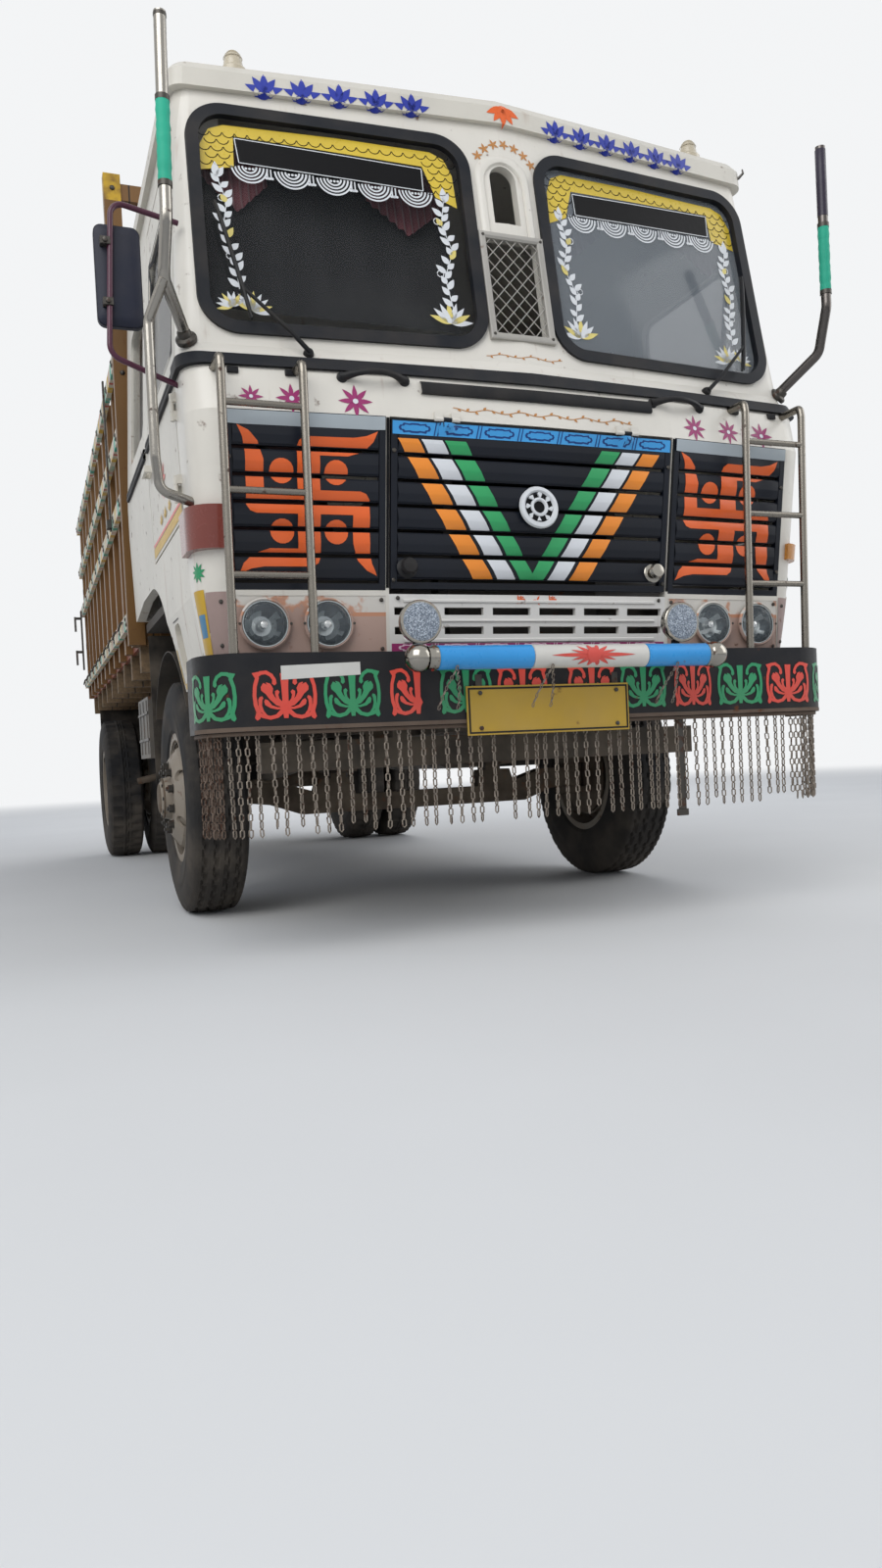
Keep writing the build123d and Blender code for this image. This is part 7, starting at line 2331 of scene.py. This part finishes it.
@dataclass
class CabFittings:
    """Wraps on the poles, the mirror's body, paint on the doors, rain gutters and painted shade in the gaps
    between the front's panels.
    """

    def build(self) -> None:
        """Makes the cab's small fittings."""
        self.wrap_poles()
        self.fit_mirror()
        self.trim_doors()
        self.trim_roof()
        self.paint_gap_shade_and_edges()

    @staticmethod
    def pole_point(side: int, z: float) -> Vector:
        """The middle of a corner pole at a height above its upper bend."""
        share = (z - 2.300) / 0.600
        return Vector((side * (1.247 - 0.012 * share), -0.122 - 0.011 * share, z))

    def wrap_poles(self) -> None:
        """Teal tape, a dark tip and collars, and clamps where the poles meet the cab."""
        form = Form(TEAL, TIP_VIOLET, DARK_STEEL)
        for side, (low, high) in ((1, (2.360, 2.600)), (-1, (2.400, 2.640))):
            path, sizes = [], []
            for k, z in enumerate(spread(low, high, 16)):
                path.append(self.pole_point(side, z))
                sizes.append(0.0212 + 0.0010 * math.sin(k * 2.4) + 0.0006 * math.sin(k * 5.1))
            form.tube(path, sizes, 14, 0)
            for z in (low - 0.006, high + 0.006):
                form.tube([self.pole_point(side, z - 0.008), self.pole_point(side, z + 0.008)], 0.0222, 14, 2)
        form.tube([self.pole_point(1, 2.640), self.pole_point(1, 2.76), self.pole_point(1, 2.888),
                   self.pole_point(1, 2.896)], [0.0203, 0.0205, 0.0205, 0.015], 14, 1)
        form.tube([self.pole_point(-1, 2.885), self.pole_point(-1, 2.895), self.pole_point(-1, 2.900)],
                  [0.0203, 0.0200, 0.012], 14, 2)
        for side in (1, -1):
            foot = Vector((side * 1.172, 0.092, 2.020))
            way = Vector((side * 0.106, -0.190, 0.150)).normalized()
            form.turned([(-0.006, 0.034), (0.004, 0.036), (0.010, 0.034), (0.016, 0.024), (0.030, 0.0225),
                         (0.034, 0.0195)], foot, way, 20, 2)
        finish_piece(form.mesh("pole_wraps"), FIXED)

    @staticmethod
    def fit_mirror() -> None:
        """The mirror's moulded back, its glass with a rim, and the two clamps on the tube."""
        form = Form(MIRROR_SHELL, MIRROR_GLASS, DARK_STEEL)
        x0, x1, z0, z1 = -1.441, -1.297, 2.054, 2.376

        def levels(steps: Sequence[Point2], radius: float) -> list[list[Vector]]:
            """The mirror's outline at several depths, drawn in at each."""
            return [[Vector((u, y, v)) for u, v in rounded_box(x0 + d, x1 - d, z0 + d, z1 - d, radius)]
                    for y, d in steps]

        back = ((0.136, 0.004), (0.132, 0.001), (0.126, 0.003), (0.119, 0.014), (0.1165, 0.034))
        rim = ((0.130, 0.0005), (0.1500, 0.0005), (0.1512, 0.003), (0.1505, 0.009), (0.139, 0.0125))
        form.rings(levels(back, 0.026), 0)
        form.rings(levels(((0.140, 0.012), (0.1495, 0.0125)), 0.022), 1)
        form.rings(levels(rim, 0.026), 0, caps=False)
        for z in (2.120, 2.310):
            form.box((-1.424, 0.092, z - 0.012), (-1.392, 0.124, z + 0.012), 2, 0.002)
            form.turned([(0.0, 0.008), (0.006, 0.008), (0.007, 0.005), (0.0075, 0.001)], (-1.408, 0.092, z),
                        AHEAD, 6, 2)
        finish_piece(form.mesh("mirror_body"), FIXED)
        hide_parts("mirror")

    @staticmethod
    def trim_doors() -> None:
        """Window rubbers, key locks, painted lines and ornaments on both doors."""
        for side, word in SIDES[::-1]:
            body = f"cab_door_{word}"
            wall = Wall((f"door_{word}", f"door_{word}_glass"), side_place(side))
            skin = Skin(wall, GASKET, pace=0.06)
            outer = [(0.282, 2.048), (0.992, 2.048), (0.992, 2.652), (0.350, 2.652)]
            inner = [(0.312, 2.072), (0.966, 2.072), (0.966, 2.628), (0.372, 2.628)]
            for (a, b), (c, d) in zip(zip(outer, inner), zip([*outer[1:], outer[0]], [*inner[1:], inner[0]])):
                skin.lay([a, c, d, b], 0)
            finish_piece(skin.mesh(f"window_rubber_{word}"), body, solid=False)
            skin = Skin(Wall((f"door_{word}",), side_place(side)), YELLOW, SCROLL_RED, DARK_STEEL, pace=0.08)
            skin.lay(rect(0.236, 1.038, 1.492, 1.530), 0)
            skin.lay(rect(0.236, 1.038, 1.534, 1.545), 1)
            skin.lay(disc((0.905, 1.792), 0.011, 12), 2)
            for part in flower(8, 0.075, 0.30):
                skin.lay([(0.64 + u, 1.71 + v) for u, v in part], 1, coat=1)
            for u in (0.52, 0.64, 0.76):
                skin.lay_all(palmette(), 0, spot(u, 1.595, 0.045), coat=1)
            finish_piece(skin.mesh(f"door_paint_{word}"), body, solid=False)

    @staticmethod
    def trim_roof() -> None:
        """The gutter along each side of the roof and the small hook at its right-hand front corner."""
        form = Form(ROOF_WHITE, DARK_STEEL)
        for side in (1, -1):
            rail = [Vector((side * 1.158, 0.345 + k * 0.13, 2.944)) for k in range(13)]
            form.tube(rail, 0.009, 8, 0)
        hook = Vector((1.128, 0.262, 2.962))
        form.tube([hook, hook + Vector((0.020, -0.016, 0.004)), hook + Vector((0.034, -0.028, 0.020)),
                   hook + Vector((0.032, -0.026, 0.036))], [0.007, 0.006, 0.005, 0.003], 8, 1)
        finish_piece(form.mesh("roof_trim"), FIXED)

    @staticmethod
    def paint_gap_shade_and_edges() -> None:
        """Painted shade in the gaps between the front's panels, as black strips, and yellow edges below the
        cab's corners.
        """
        wall = Wall(("cab_front", "side_grilles", "centre_grille"), front_place)
        skin = Skin(wall, BANNER_BLACK, pace=0.08)
        for side in (1, -1):
            # Painted shade: the post in each gap beside the centre grille is painted black as the gap's
            # shadow.
            skin.lay(rect(side * 0.5508, side * 0.5613, 1.216, 1.762))
        finish_piece(skin.mesh("panel_joints"), FIXED, solid=False)
        for side, word in SIDES[::-1]:
            edge = Skin(Wall(("cab_sides", "cab_front"), side_place(side)), YELLOW, BANNER_BLACK, pace=0.06)
            edge.lay([(0.150, 0.936), (0.724, 0.936), (0.728, 0.958), (0.150, 0.958)])
            edge.lay([(0.722, 0.958), (0.745, 0.958), (0.762, 1.088), (0.744, 1.094)])
            edge.lay(rect(0.560, 0.700, 1.185, 1.190), 1)
            finish_piece(edge.mesh(f"skirt_edges_{word}"), FIXED, solid=False)


def rounded_box(x0: float, x1: float, z0: float, z1: float, radius: float) -> list[Point2]:
    """A rectangle's outline with rounded corners, six points to a corner."""
    points: list[Point2] = []
    for cx, cz, start in ((x1 - radius, z1 - radius, 0), (x0 + radius, z1 - radius, 90),
                          (x0 + radius, z0 + radius, 180), (x1 - radius, z0 + radius, 270)):
        points += arc((cx, cz), radius, start, start + 90, 5)
    return points


@dataclass
class LoadBody:
    """Bolts, rope hooks, ornaments and ironwork of the timber body."""

    rear_y: float = 6.040
    front_y: float = 2.105
    uprights: int = 11
    upright_width: float = 0.078
    rails: tuple[float, ...] = (1.386, 1.984, 2.309, 2.674)
    half: float = 1.221

    def build(self) -> None:
        """Makes what is fixed to the load body."""
        self.bolt_rails()
        self.hook_rails()
        self.paint_gate()
        self.strap_body()

    def upright_middles(self) -> list[float]:
        """Where each upright's middle stands."""
        pitch = (self.rear_y - self.front_y - self.upright_width) / (self.uprights - 1)
        return [self.front_y + self.upright_width / 2 + i * pitch for i in range(self.uprights)]

    def bolt_rails(self) -> None:
        """Two coach bolts wherever a rail crosses an upright."""
        head = Form()
        head.turned([(0.0, 0.0135), (0.002, 0.0135), (0.003, 0.010), (0.006, 0.007),
                     (0.0072, 0.001)], (0, 0, 0),
                    (1, 0, 0), 8)
        places, turns = [], []
        for side in (1, -1):
            for y in self.upright_middles():
                for z in self.rails:
                    for step in (-0.018, 0.018):
                        places.append((side * self.half, y + step, z + step * 0.8))
                        turns.append((0.0, 0.0, 0.0 if side > 0 else math.pi))
        piece = Copies("rail_bolts_set").set_out("rail_bolts", head, places, turns, DARK_STEEL, 1.0, 0.1)
        finish_piece(piece, FIXED)

    def hook_rails(self) -> None:
        """Rope hooks under the lowest rail, one between every two uprights."""
        hook = Form()
        hook.tube([(0.0, -0.030, 0.020), (0.010, -0.030, 0.018), (0.018, -0.024, -0.004),
                   (0.022, -0.010, -0.020),
                   (0.022, 0.010, -0.020), (0.018, 0.024, -0.004), (0.010, 0.030, 0.018),
                   (0.0, 0.030, 0.020)], 0.005, 6)
        places, turns = [], []
        middles = self.upright_middles()
        for side in (1, -1):
            for a, b in zip(middles, middles[1:]):
                places.append((side * (self.half + 0.001), (a + b) / 2, 1.386))
                turns.append((0.0, 0.0, 0.0 if side > 0 else math.pi))
        piece = Copies("rope_hooks_set").set_out("rope_hooks", hook, places, turns, DARK_STEEL, 1.0, 0.03)
        finish_piece(piece, FIXED)

    @staticmethod
    def paint_gate() -> None:
        """Lozenges, leaves and a border on the tailgate, in the colours of the sides."""
        wall = Wall(("tailgate",), rear_place)
        skin = Skin(wall, YELLOW, SCROLL_GREEN, SCROLL_RED, BAR_BLUE, STRIPE_WHITE, pace=0.08)
        for x in (-0.82, -0.42, 0.0, 0.42, 0.82):
            skin.lay_all([[(0, -0.24), (0.10, 0), (0, 0.24), (-0.10, 0)]], 0, spot(x, 1.65))
            skin.lay_all([[(0, -0.17), (0.07, 0), (0, 0.17), (-0.07, 0)]], 2, spot(x, 1.65), 1)
            skin.lay_all(flower(8, 0.05, 0.32), 4, spot(x, 1.65), 2)
            for side in (-1, 1):
                skin.lay_all(paired_leaves(), 1, spot(x, 1.65 + side * 0.275, 0.055, 0 if side > 0 else 180))
        for z in (1.338, 1.958):
            skin.lay(rect(-1.12, 1.12, z, z + 0.016), 4)
        finish_piece(skin.mesh("gate_paint"), "tail_gate", solid=False)

    def strap_body(self) -> None:
        """Iron corner straps, the bulkhead's battens and cross irons, and bolts in its posts."""
        form = Form(DARK_STEEL, PANEL_BROWN)
        for side in (1, -1):
            for y in (self.front_y + 0.004, self.rear_y - 0.082):
                for z in (1.70, 2.16, 2.50):
                    form.box((side * 1.198 - 0.0005, y, z - 0.022),
                             (side * 1.198 + 0.0005, y + 0.078, z + 0.022), 0)
        for k in range(9):
            x = -1.04 + 0.26 * k
            form.box((x - 0.028, 2.0555, 1.30), (x + 0.028, 2.0655, 3.145), 1, 0.003)
        for z in (1.62, 2.35, 3.09):
            form.box((-1.13, 2.0475, z - 0.022), (1.13, 2.0565, z + 0.022), 0, 0.001)
        for side in (1, -1):
            for z in (1.9, 2.6, 3.2, 3.5):
                form.turned([(0.0, 0.013), (0.004, 0.012), (0.009, 0.007), (0.010, 0.001)],
                            (side * 1.18, 2.045, z),
                            AHEAD, 8, 0)
        finish_piece(form.mesh("body_ironwork"), FIXED)


@dataclass
class Cabin:
    """Padded seats with sewn channels, gauges, the gear lever and the pedals."""

    seats_x: tuple[tuple[float, float], ...] = ((-0.900, -0.420), (0.420, 0.900))
    cushion_y: tuple[float, float] = (0.800, 1.290)
    cushion_z: tuple[float, float] = (1.400, 1.560)
    back_y: tuple[float, float] = (1.290, 1.410)
    back_z: tuple[float, float] = (1.560, 2.160)
    bench: tuple[Point3, Point3] = ((-1.080, 1.500, 1.340), (1.080, 1.908, 1.720))

    def build(self) -> None:
        """Makes the cab's inside."""
        form, piping = Form(SEAT_CLOTH), Form(SEAT_PIPING)
        for x0, x1 in self.seats_x:
            (y0, y1), (z0, z1) = self.cushion_y, self.cushion_z
            self.pad(form, piping, (x0, y0, z0), (x1, y1 - 0.002, z1), 2, 3)
            (y0, y1), (z0, z1) = self.back_y, self.back_z
            self.pad(form, piping, (x0, y0, z0 + 0.002), (x1, y1, z1), 1, 3)
        low, high = self.bench
        for k in range(3):
            share = (high[0] - low[0]) / 3
            self.pad(form, piping, (low[0] + share * k + 0.001, low[1], low[2] + 0.21),
                     (low[0] + share * (k + 1) - 0.001, high[1], high[2]), 2, 4)
        form.box((low[0], low[1] + 0.012, low[2]), (high[0], high[1], low[2] + 0.212), 0, 0.006)
        seats = finish_piece(form.mesh("padded_seats"), FIXED, angle=60)
        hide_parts("seats")
        finish_piece(piping.mesh("seat_piping"), FIXED)
        self.fit_dash()

    @staticmethod
    def pad(form: Form, piping: Form, low: Point3, high: Point3, face: int, tufts: int) -> None:
        """One crowned cushion with sewn channels and piping round its face.

        Args:
            form: the cloth.
            piping: the piping's form.
            low: its low corner.
            high: its high corner.
            face: the axis its crowned face looks along; 1 looks to the front, 2 looks up.
            tufts: how many channels are sewn into it.
        """
        other = 1 if face == 2 else 2
        columns, rows = 8 * tufts, 20
        grids = []
        for shell in (1, 0):
            grid = []
            for i in range(columns + 1):
                line = []
                for k in range(rows + 1):
                    s, t = i / columns, k / rows
                    edge = min(s, 1 - s, 0.5) * (high[0] - low[0])
                    rim = min(t, 1 - t) * (high[other] - low[other])
                    round_off = 0.030 * (math.exp(-edge / 0.016) + math.exp(-rim / 0.016))
                    seam = 0.012 * (1 - abs(math.sin(math.pi * s * tufts))) ** 3
                    sag = 0.010 * math.sin(math.pi * s) * math.sin(math.pi * t)
                    sink = min(round_off + seam + sag * 0.4, 0.05) if shell else 0.0
                    point = [low[0] + (high[0] - low[0]) * s, 0.0, 0.0]
                    point[other] = low[other] + (high[other] - low[other]) * t
                    if face == 2:
                        point[2] = high[2] - sink if shell else low[2]
                    else:
                        point[1] = low[1] + sink if shell else high[1]
                    line.append(Vector(point))
                grid.append(line)
            grids.append(grid)
        points = [p for grid in grids for line in grid for p in line]
        per = (columns + 1) * (rows + 1)

        def at(shell: int, i: int, k: int) -> int:
            """The index of a point of one of the two shells."""
            return shell * per + i * (rows + 1) + k

        faces = []
        for shell in (0, 1):
            for i in range(columns):
                for k in range(rows):
                    faces.append((at(shell, i, k), at(shell, i + 1, k), at(shell, i + 1, k + 1),
                                  at(shell, i, k + 1)))
        for i in range(columns):
            for k in (0, rows):
                faces.append((at(0, i, k), at(0, i + 1, k), at(1, i + 1, k), at(1, i, k)))
        for k in range(rows):
            for i in (0, columns):
                faces.append((at(0, i, k), at(0, i, k + 1), at(1, i, k + 1), at(1, i, k)))
        form.add(points, faces)
        inset = 0.010
        loop = []
        for s, t in ((0, 0), (1, 0), (1, 1), (0, 1)):
            point = [0.0, 0.0, 0.0]
            point[0] = low[0] + inset + (high[0] - low[0] - 2 * inset) * s
            point[other] = low[other] + inset + (high[other] - low[other] - 2 * inset) * t
            point[face] = high[2] - 0.024 if face == 2 else low[1] + 0.024
            loop.append(Vector(point))
        path = [a.lerp(b, k / 6) for a, b in zip(loop, [*loop[1:], loop[0]]) for k in range(6)]
        piping.tube(path, 0.0055, 6, 0, closed=True)

    @staticmethod
    def fit_dash() -> None:
        """Gauges before the driver, switches, the gear lever and the pedals."""
        form = Form(BLACK_PLASTIC, CHROME, STRIPE_WHITE)
        for x, r in ((-0.76, 0.048), (-0.64, 0.048), (-0.53, 0.030), (-0.46, 0.030)):
            centre = Vector((x, 0.4305, 1.895))
            form.turned([(0.0, r), (0.004, r), (0.006, r - 0.003), (0.004, r - 0.006)], centre,
                        (0, 1, 0), 28, 1)
            form.turned([(0.001, r - 0.007), (0.003, r - 0.007), (0.0032, 0.001)], centre, (0, 1, 0), 24, 2)
            form.box(centre + Vector((-0.0015, 0.003, 0)), centre + Vector((0.0015, 0.006, r * 0.7)), 0)
        for k in range(6):
            form.box((-0.34 + 0.05 * k, 0.430, 1.880), (-0.31 + 0.05 * k, 0.437, 1.905), 0, 0.002)
        lever = [Vector((-0.22, 0.86, 1.722)), Vector((-0.225, 0.85, 1.86)), Vector((-0.24, 0.80, 2.00))]
        form.tube(lever, [0.010, 0.008, 0.007], 8, 0)
        form.turned([(-0.02, 0.012), (0.0, 0.022), (0.018, 0.024), (0.034, 0.014), (0.038, 0.002)], lever[-1],
                    (-0.05, -0.2, 1), 16, 0)
        form.turned([(0.0, 0.055), (0.020, 0.050), (0.034, 0.038), (0.052, 0.028), (0.066, 0.013)],
                    (-0.22, 0.86, 1.720),
                    (0, 0, 1), 18, 0)
        for x in (-0.80, -0.66, -0.52):
            form.box((x - 0.035, 0.452, 1.44), (x + 0.035, 0.464, 1.52), 0, 0.004)
            form.tube([(x, 0.458, 1.44), (x, 0.440, 1.38), (x, 0.420, 1.345)], 0.008, 6, 1)
        finish_piece(form.mesh("dash_details"), FIXED)


@dataclass
class Underside:
    """Tank straps and cap, bolts and clips on the springs, hoses, silencer bands and axle bolts."""

    def build(self) -> None:
        """Makes the details below the floor."""
        form = Form(DARK_STEEL, TANK_GREY, FLAP_RUBBER, AXLE_RUST)
        for y in (2.46, 2.82, 3.18):
            rings = []
            for step in (0.0, 0.045):
                rings.append([Vector((u, y + step, v)) for u,
                              v in rounded_box(0.476, 1.124, 0.556, 0.964, 0.092)])
            form.rings(rings, 0, caps=False)
        form.turned([(0.0, 0.050), (0.014, 0.052), (0.022, 0.048), (0.026, 0.020), (0.036, 0.018),
                     (0.038, 0.002)],
                    (1.118, 2.66, 0.90), (1, 0, 0.25), 24, 0)
        for y in (2.36, 2.52, 2.68):
            form.box((-1.124, y, 0.720), (-1.119, y + 0.012, 1.005), 1, 0.001)
        for z in (0.79, 0.93):
            form.box((-1.126, 2.305, z), (-1.1195, 2.775, z + 0.014), 0, 0.001)
        for side in (1, -1):
            for centre, low, levels in ((1.366, 0.560, 5), (4.966, 0.574, 6)):
                for step in (-0.034, 0.034):
                    for x in (0.352, 0.428):
                        form.tube([(side * x, centre + step, low - 0.030), (side * x, centre + step, 0.640)],
                                  0.0075, 6, 0)
                for end in (-1, 1):
                    y = centre + end * (0.40 if levels == 5 else 0.44)
                    form.box((side * 0.390 - 0.040, y - 0.014, 0.604),
                             (side * 0.390 + 0.040, y + 0.014, 0.672), 0, 0.001)
            hose = [Vector((side * 0.440, 1.20, 0.80)), Vector((side * 0.56, 1.24, 0.72)),
                    Vector((side * 0.70, 1.30, 0.66)),
                    Vector((side * 0.80, 1.34, 0.645))]
            form.tube(hose, 0.009, 8, 2)
        for y in (3.08, 3.86):
            ring = [Vector((-0.620 + 0.1075 * c, y, 0.640 + 0.1075 * s)) for c, s in circle(28)]
            form.tube(ring, 0.0055, 6, 3, closed=True)
        for c, s in circle(10):
            form.turned([(0.0, 0.011), (0.010, 0.011), (0.012, 0.006)],
                        (0.150 * c, 4.966 + 0.178, 0.510 + 0.06 * s),
                        (0, 1, 0), 6, 0)
        finish_piece(form.mesh("underside_details"), FIXED)


PARTS: tuple[type, ...] = (Louvres, FrontSheet, Glasswork, BumperDressing, Wheels, Lamps,
                           CabFittings, LoadBody,
                           Cabin, Underside)


def main() -> None:
    """Builds the stage and then each sub-assembly's looks in order."""
    logging.basicConfig(level=logging.INFO, format="%(name)s: %(message)s")
    Stage().build()
    dress_nodes()
    for part in PARTS:
        part().build()


if __name__ == "__main__":
    main()
